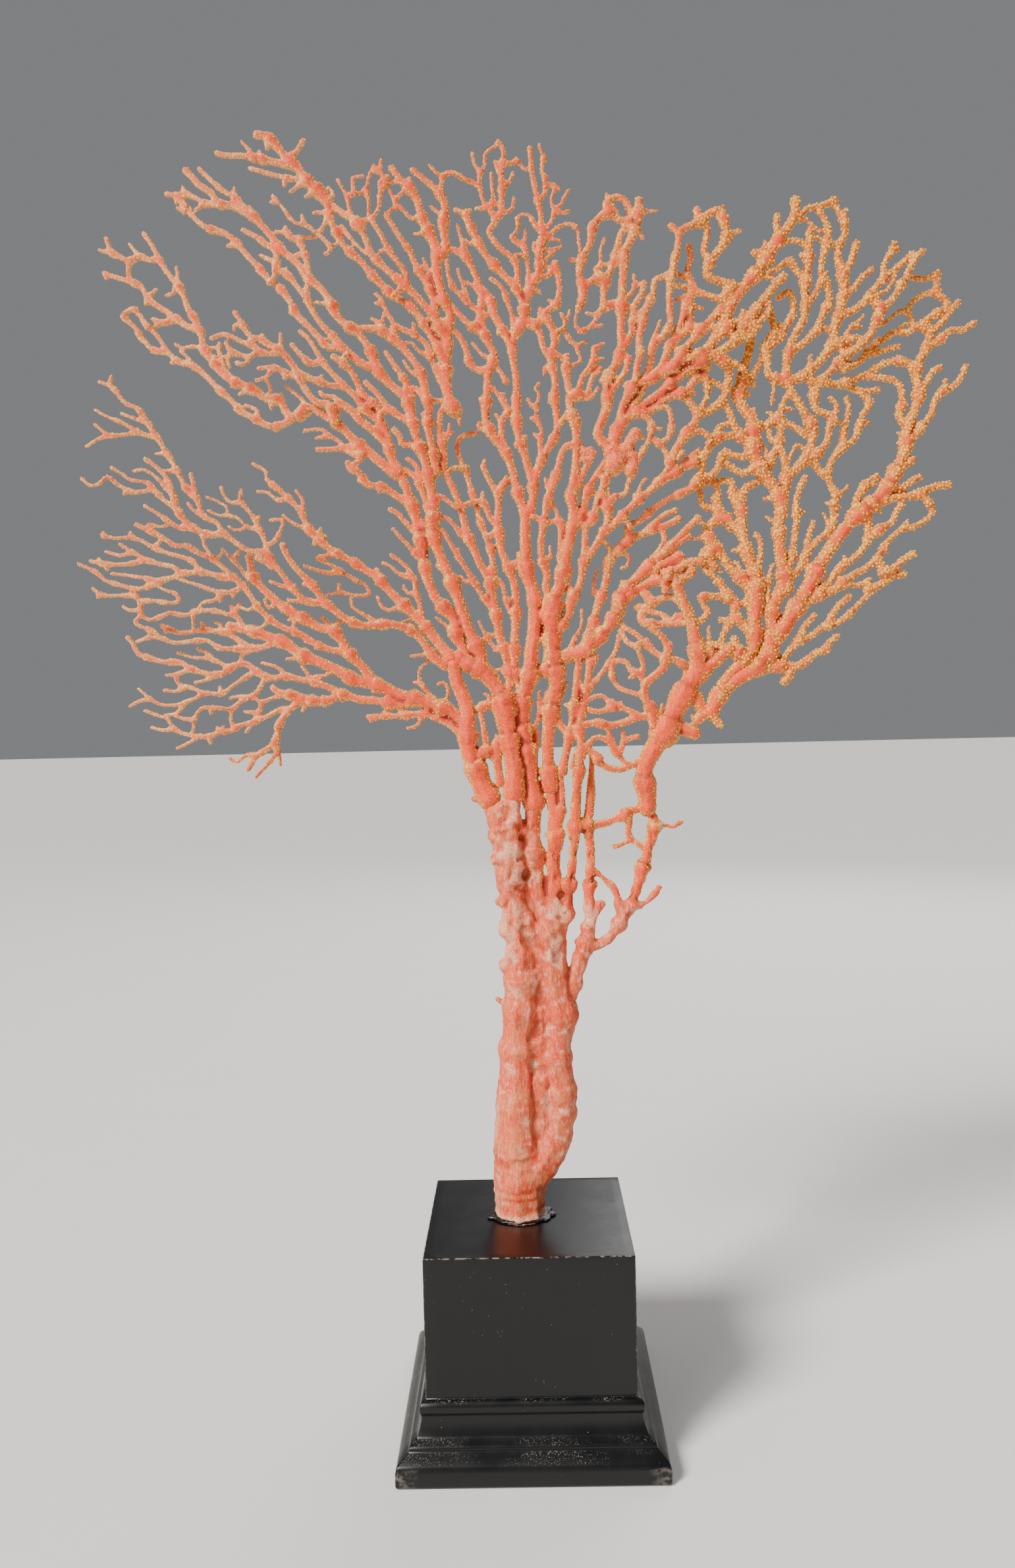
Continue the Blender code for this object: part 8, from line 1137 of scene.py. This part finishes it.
def dress(ob, rows, old, scabs):
    """Raise the skin of a rind and mark it; returns where calyces grow, how pale and how big they are."""
    mesh = ob.data
    points, normals = mesh_points(mesh)
    near = nearest_rows(points, rows)
    radius, joint = near[:, 3], near[:, 4]
    crust = crust_marks(points, scabs)
    points = points + normals * skin_lift(points, radius, old, crust)[:, None]
    mesh.vertices.foreach_set("co", (points * MM).ravel())
    mesh.update()
    points, normals = mesh_points(mesh)
    # Painted shade mask: how deep each point lies in the hollows between swellings
    hollow_shade = hollow_shade_marks(mesh, points, normals)
    side = np.sqrt(np.clip(1.0 - normals[:, 1] ** 2, 0.0, 1.0))
    patch = cloud_noise(points, 6.0, 29)
    x, z = points[:, 0], points[:, 2]
    right = step_up(x + 9.0 * patch, 62.0, 84.0) * step_up(z, 205.0, 240.0)
    far_left = step_up(-x + 0.25 * (z - 380.0) + 14.0 * cloud_noise(points, 22.0, 37), 55.0, 110.0)
    gold = calyx_marks(points, side, patch, radius, right, far_left)
    pale = np.clip(0.2 + 0.4 * far_left - 0.3 * right, 0.0, 1.0)
    bark = np.zeros(len(points))
    if old:
        edge = 262.0 - 52.0 * step_up(x, 2.0, 10.0) + 7.0 * patch
        bark = step_up(z, edge + 5.0, edge - 5.0)
        gold = gold * (1.0 - bark) * 0.9
        hollow_shade = hollow_shade * (1.0 - 0.55 * bark)
        pale = wear_and_rim_light_marks(points, side, patch)
    for name, values in (("joint", joint), ("gold", gold), ("pale", pale), ("hollow_shade", hollow_shade),
                         ("calyx", np.zeros(len(points))), ("scab", crust), ("bark", bark)):
        store(mesh, name, values)
    return gold, pale, 0.66 + 0.34 * right


def calyx_places(mesh, weight, gap, seed):
    """Spread places on a rind where it is heavy enough, at least gap apart: place, normal, point index."""
    points, normals = mesh_points(mesh)
    mesh.calc_loop_triangles()
    tris = np.zeros(len(mesh.loop_triangles) * 3, np.int64)
    mesh.loop_triangles.foreach_get("vertices", tris)
    tris = tris.reshape(-1, 3)
    a, b, c = (points[tris[:, i]] for i in range(3))
    area = np.linalg.norm(np.cross(b - a, c - a), axis=1) / 2.0
    share = area * np.clip(weight[tris].mean(axis=1) - 0.25, 0.0, 1.0)
    draw = np.random.default_rng(seed)
    count = int(share.sum() / gap ** 2 * 4.5)
    if count < 1:
        return np.zeros((0, 3)), np.zeros((0, 3)), np.zeros(0, np.int64)
    chosen = draw.choice(len(tris), count, p=share / share.sum())
    u, v = draw.random(count), draw.random(count)
    u, v = np.where(u + v > 1, 1 - u, u)[:, None], np.where(u + v > 1, 1 - v, v)[:, None]
    spots = a[chosen] + (b - a)[chosen] * u + (c - a)[chosen] * v
    grid, kept = {}, []
    cells = np.floor(spots / gap).astype(int)
    around = [(i, j, k) for i in (-1, 0, 1) for j in (-1, 0, 1) for k in (-1, 0, 1)]
    for n, (cell, spot) in enumerate(zip(cells.tolist(), spots.tolist())):
        close = False
        for i, j, k in around:
            for o in grid.get((cell[0] + i, cell[1] + j, cell[2] + k), ()):
                if (o[0] - spot[0]) ** 2 + (o[1] - spot[1]) ** 2 + (o[2] - spot[2]) ** 2 < gap * gap:
                    close = True
                    break
            if close:
                break
        if not close:
            grid.setdefault(tuple(cell), []).append(spot)
            kept.append(n)
    index = tris[chosen[kept], 0]
    return spots[kept], normals[index], index


def dome_shape():
    """Corners and triangles of a closed dome one unit wide at its foot: a cap of three over a ring of six."""
    cap = [(0.55 * cos(a), 0.55 * sin(a), 0.88) for a in (0.0, pi / 1.5, pi / 0.75)]
    ring = [(cos(k * pi / 3), sin(k * pi / 3), -0.25) for k in range(6)]
    faces = [(0, 1, 2), (3, 5, 4), (3, 6, 5), (3, 7, 6), (3, 8, 7)]
    for k in range(3):
        low, mid, high, after = 3 + 2 * k, 4 + 2 * k, 3 + (2 * k + 2) % 6, (k + 1) % 3
        faces += [(low, mid, k), (mid, after, k), (mid, high, after)]
    return np.array(cap + ring), np.array(faces)


def calyx_object(name, spots, normals, pale, radius, seed):
    """Small closed domes at the places, as one mesh object."""
    ball, faces = dome_shape()
    draw = np.random.default_rng(seed)
    count = len(spots)
    sizes = radius * draw.uniform(0.72, 1.18, count)
    spin = np.cross(normals, draw.normal(size=(count, 3)))
    spin /= np.linalg.norm(spin, axis=1)[:, None]
    other = np.cross(normals, spin)
    tall = sizes * draw.uniform(0.6, 0.9, count)
    verts = (spots[:, None] + ball[None, :, 0:1] * (spin * sizes[:, None])[:, None]
             + ball[None, :, 1:2] * (other * sizes[:, None])[:, None]
             + (ball[None, :, 2:3] * tall[:, None, None] - 0.05 * sizes[:, None, None]) * normals[:, None])
    index = (faces[None] + np.arange(count)[:, None, None] * len(ball)).reshape(-1, 3)
    mesh = bpy.data.meshes.new(name)
    mesh.from_pydata((verts * MM).reshape(-1, 3), [], index.tolist())
    flat = np.ones(len(ball) * count)
    for key, values in (("joint", flat * 0), ("gold", flat), ("pale", np.repeat(pale, len(ball))),
                        ("hollow_shade", flat * 0), ("calyx", flat), ("scab", flat * 0), ("bark", flat * 0)):
        store(mesh, key, values)
    ob = bpy.data.objects.new(name, mesh)
    bpy.context.scene.collection.objects.link(ob)
    return ob


def join(ob, other):
    """Join an object into the first."""
    with bpy.context.temp_override(active_object=ob, selected_editable_objects=[ob, other]):
        bpy.ops.object.join()


def finish_piece(ob, name, material, node):
    """Name, finish and seat a piece on the frame."""
    ob.name = ob.data.name = name
    ob.data.materials.clear()
    ob.data.materials.append(material)
    ob.data.polygons.foreach_set("use_smooth", np.ones(len(ob.data.polygons), bool))
    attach(ob, BODY)
    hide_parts(node)


def lump_balls(name, depths):
    """Balls that make the encrusted lumps of a limb: centre and radius."""
    rng = random.Random("lumps " + name)
    rows = np.vstack([samples_of(route, ys) for route, ys in zip(LIMBS[name], depths)])
    balls = []
    for x, z, size, count in LUMPS.get(name, ()):
        near = rows[int(np.argmin(np.hypot(rows[:, 0] - x, rows[:, 1] - z)))]
        for _ in range(count):
            r = size * rng.uniform(0.32, 0.6)
            px, pz = x + rng.uniform(-0.7, 0.7) * size, z + rng.uniform(-1.2, 1.2) * size
            balls.append((in_space((px, pz), near[2] + rng.uniform(-0.4, 0.4) * size), r))
    return balls


def grow_limb(name, depths, forks, fan, material):
    """One limb of the fan: fused rind, grain, and calyx bumps."""
    stem = name == STEM
    rng = random.Random("joints " + name)
    lines = [bough_line(route, ys, rng, fan.swell, forks, stem and route[2][0][1] < OLD_TOP,
                        LEAST_STEM_TWIG if stem else 0.0)
             for route, ys in zip(LIMBS[name], depths)]
    ob = tube_object(name, lines, lump_balls(name, depths))
    fuse(ob, fan.trunk_voxel if stem else fan.voxel, 4 if stem else 2, fan.keep)
    gold, pale, bulk = dress(ob, np.vstack(lines), stem, () if stem else LUMPS.get(name, ()))
    seed = GRAIN_SEED + len(bpy.data.objects)
    spots, normals, index = calyx_places(ob.data, gold, fan.calyx_gap / MM, seed)
    if len(spots):
        sizes = bulk[index] * fan.calyx / MM
        join(ob, calyx_object(name + "_calyces", spots, normals, pale[index], sizes, seed))
    finish_piece(ob, name + "_rind", material, name)


class SEAFAN_OT_limbs(bpy.types.Operator):
    """Grow the stem, forks and limbs of the fan"""
    bl_idname = "seafan.limbs"
    bl_label = "Grow limbs"

    def execute(self, context):
        fan = context.scene.sea_fan
        rind = rind_material(fan)
        depths = drawn_depths()
        forks = np.array([in_space(route[2][0], ys[0]) for name in LIMBS
                          for route, ys in zip(LIMBS[name], depths[name])])
        for name in LIMBS:
            grow_limb(name, depths[name], forks, fan, rind)
        return {"FINISHED"}


class SEAFAN_OT_plinth(bpy.types.Operator):
    """Make the moulded foot and the square block"""
    bl_idname = "seafan.plinth"
    bl_label = "Make plinth"

    def execute(self, context):
        plinth = context.scene.sea_plinth
        corner = 2.0 ** 0.5
        half, top = plinth.side / 2, plinth.height
        profile = [(0.0, 0.0)] + [(w * MM * corner, z * MM) for w, z in MOULDING]
        profile += [(half * corner, (MOULDING[-1][1] + 0.3) * MM), (half * corner, top), (0.0, top)]
        bm = bmesh.new()
        verts = [bm.verts.new((r, 0.0, z)) for r, z in profile]
        edges = [bm.edges.new(pair) for pair in zip(verts, verts[1:])]
        bmesh.ops.spin(bm, geom=verts + edges, cent=(0, 0, 0), axis=(0, 0, 1), angle=2 * pi, steps=4,
                       use_merge=True)
        bmesh.ops.rotate(bm, verts=bm.verts, cent=(0, 0, 0), matrix=Matrix.Rotation(pi / 4, 3, "Z"))
        bmesh.ops.remove_doubles(bm, verts=bm.verts, dist=0.02 * MM)
        bmesh.ops.recalc_face_normals(bm, faces=bm.faces)
        sharp = [e for e in bm.edges if len(e.link_faces) == 2 and e.calc_face_angle() > 0.3]
        bmesh.ops.bevel(bm, geom=sharp, offset=plinth.edge, offset_type="OFFSET", segments=3, profile=0.5,
                        affect="EDGES", clamp_overlap=True, material=-1)
        bmesh.ops.subdivide_edges(bm, edges=[e for e in bm.edges if e.calc_length() > 12 * MM], cuts=11,
                                  use_grid_fill=True)
        mesh = bpy.data.meshes.new("plinth_block")
        bm.to_mesh(mesh)
        bm.free()
        mesh.set_sharp_from_angle(angle=0.5)
        ob = bpy.data.objects.new("plinth_block", mesh)
        context.scene.collection.objects.link(ob)
        points, _ = mesh_points(mesh)
        rim = (half - 0.35 * MM) / MM
        upright = np.minimum(np.abs(points[:, 0]), np.abs(points[:, 1])) > rim
        brow = (points[:, 2] > top / MM - 0.35) & (np.abs(points[:, :2]).max(axis=1) > rim)
        foot = (np.minimum(np.abs(points[:, 0]), np.abs(points[:, 1])) > 50.0) & (points[:, 2] < 7.0)
        store(mesh, "arris", np.maximum(brow, 0.5 * np.maximum(upright & (points[:, 2] > 28.0), foot)))
        finish_piece(ob, "plinth_block", lacquer_material(plinth), "plinth")
        return {"FINISHED"}


class SEAFAN_OT_glue(bpy.types.Operator):
    """Lay the dark glue under the stem"""
    bl_idname = "seafan.glue"
    bl_label = "Lay glue"

    def execute(self, context):
        plinth = context.scene.sea_plinth
        low = plinth.height / MM
        rng = random.Random("glue")
        bm = bmesh.new()
        made = bmesh.ops.create_uvsphere(bm, u_segments=48, v_segments=16, radius=1.0)
        bmesh.ops.scale(bm, verts=made["verts"], vec=Vector(GLUE_HALF) * MM)
        bmesh.ops.translate(bm, verts=made["verts"], vec=Vector((GLUE_X, 0.0, low + 0.7)) * MM)
        for _ in range(CRUMBS):
            turn = rng.uniform(0.0, 2 * pi)
            reach = rng.uniform(0.78, 1.0)
            place = (GLUE_X + CRUMB_RING[0] * reach * cos(turn), CRUMB_RING[1] * reach * sin(turn), low + 0.5)
            radius = rng.uniform(1.2, 2.4) * MM
            made = bmesh.ops.create_uvsphere(bm, u_segments=16, v_segments=8, radius=radius)
            bmesh.ops.scale(bm, verts=made["verts"], vec=(1.2, 1.0, 0.5))
            bmesh.ops.translate(bm, verts=made["verts"], vec=Vector(place) * MM)
        bmesh.ops.bisect_plane(bm, geom=bm.verts[:] + bm.edges[:] + bm.faces[:],
                               plane_co=(0, 0, (low + 0.02) * MM), plane_no=(0, 0, -1), clear_outer=True)
        bmesh.ops.holes_fill(bm, edges=[e for e in bm.edges if e.is_boundary], sides=0)
        mesh = bpy.data.meshes.new("glue_glob")
        bm.to_mesh(mesh)
        bm.free()
        ob = bpy.data.objects.new("glue_glob", mesh)
        context.scene.collection.objects.link(ob)
        fuse(ob, GLUE_GRID * MM, 2)
        points, normals = mesh_points(ob.data)
        lift = 0.22 * cloud_noise(points, 2.2, 53) * step_up(points[:, 2], low + 0.1, low + 0.6)
        ob.data.vertices.foreach_set("co", ((points + normals * lift[:, None]) * MM).ravel())
        finish_piece(ob, "glue_glob", glue_material(plinth), "glue_bead")
        return {"FINISHED"}


def soft_light(name, place, aim, size, power, colour=(1.0, 1.0, 1.0)):
    """Square area light at a place, metres, turned to a point."""
    light = bpy.data.lights.new(name, "AREA")
    light.shape = "SQUARE"
    light.size = size
    light.energy = power
    light.color = colour
    ob = bpy.data.objects.new(name, light)
    ob.location = place
    ob.rotation_euler = (Vector(aim) - Vector(place)).to_track_quat("-Z", "Y").to_euler()
    bpy.context.scene.collection.objects.link(ob)


class SEAFAN_OT_stage(bpy.types.Operator):
    """Set the floor, the soft lights and the camera"""
    bl_idname = "seafan.stage"
    bl_label = "Set stage"

    def execute(self, context):
        stage = context.scene.sea_stage
        bm = bmesh.new()
        bmesh.ops.create_grid(bm, x_segments=1, y_segments=1, size=FLOOR_HALF)
        mesh = bpy.data.meshes.new("floor")
        bm.to_mesh(mesh)
        bm.free()
        floor = bpy.data.objects.new("floor", mesh)
        floor.data.materials.append(floor_material(stage))
        context.scene.collection.objects.link(floor)
        sun = bpy.data.lights.new("day", "SUN")
        sun.energy, sun.angle, sun.color = stage.sun, 0.3, WARM_WHITE
        ob = bpy.data.objects.new("day", sun)
        ob.rotation_euler = Vector(DAY_FROM).to_track_quat("Z", "Y").to_euler()
        context.scene.collection.objects.link(ob)
        soft_light("key", (-0.9, -1.25, 1.0), (0.0, 0.0, 0.3), 0.7, stage.key, WARM_WHITE)
        soft_light("rear", (0.6, 1.4, 1.2), (0.0, 0.0, 0.3), 1.2, stage.key)
        world = bpy.data.worlds.new("studio")
        context.scene.world = world
        world.use_nodes = True
        back = world.node_tree.nodes["Background"]
        back.inputs["Color"].default_value = STUDIO_GREY
        back.inputs["Strength"].default_value = STUDIO_STRENGTH
        camera = bpy.data.cameras.new("camera")
        camera.lens = stage.lens
        camera.clip_start = 0.01
        ob = bpy.data.objects.new("camera", camera)
        turn = (Matrix.Rotation(CAMERA_YAW, 3, "Z") @ Matrix.Rotation(CAMERA_PITCH, 3, "X")
                @ Matrix.Rotation(CAMERA_ROLL, 3, "Y"))
        right, ahead, up = turn.col
        facing = Matrix((right, up, -ahead)).transposed()
        ob.matrix_world = Matrix.Translation(Vector(EYE) * MM) @ facing.to_4x4()
        context.scene.collection.objects.link(ob)
        context.scene.camera = ob
        return {"FINISHED"}


class SEAFAN_PT_panel(bpy.types.Panel):
    """Steps that make the sea fan"""
    bl_label = "Sea Fan"
    bl_idname = "SEAFAN_PT_panel"
    bl_space_type = "VIEW_3D"
    bl_region_type = "UI"
    bl_category = "Sea Fan"

    def draw(self, context):
        for step in STEPS:
            self.layout.operator(step.bl_idname)


STEPS = (SEAFAN_OT_stage, SEAFAN_OT_plinth, SEAFAN_OT_glue, SEAFAN_OT_limbs)
CLASSES = (FanSettings, PlinthSettings, StageSettings, *STEPS, SEAFAN_PT_panel)


def register():
    """Register the classes and their settings."""
    for cls in CLASSES:
        bpy.utils.register_class(cls)
    bpy.types.Scene.sea_fan = PointerProperty(type=FanSettings)
    bpy.types.Scene.sea_plinth = PointerProperty(type=PlinthSettings)
    bpy.types.Scene.sea_stage = PointerProperty(type=StageSettings)


def unregister():
    """Take the settings and classes away."""
    for name in ("sea_fan", "sea_plinth", "sea_stage"):
        delattr(bpy.types.Scene, name)
    for cls in reversed(CLASSES):
        bpy.utils.unregister_class(cls)


def main():
    """Make every piece in order."""
    register()
    bpy.ops.seafan.stage()
    bpy.ops.seafan.plinth()
    bpy.ops.seafan.glue()
    bpy.ops.seafan.limbs()


if __name__ == "__main__":
    main()
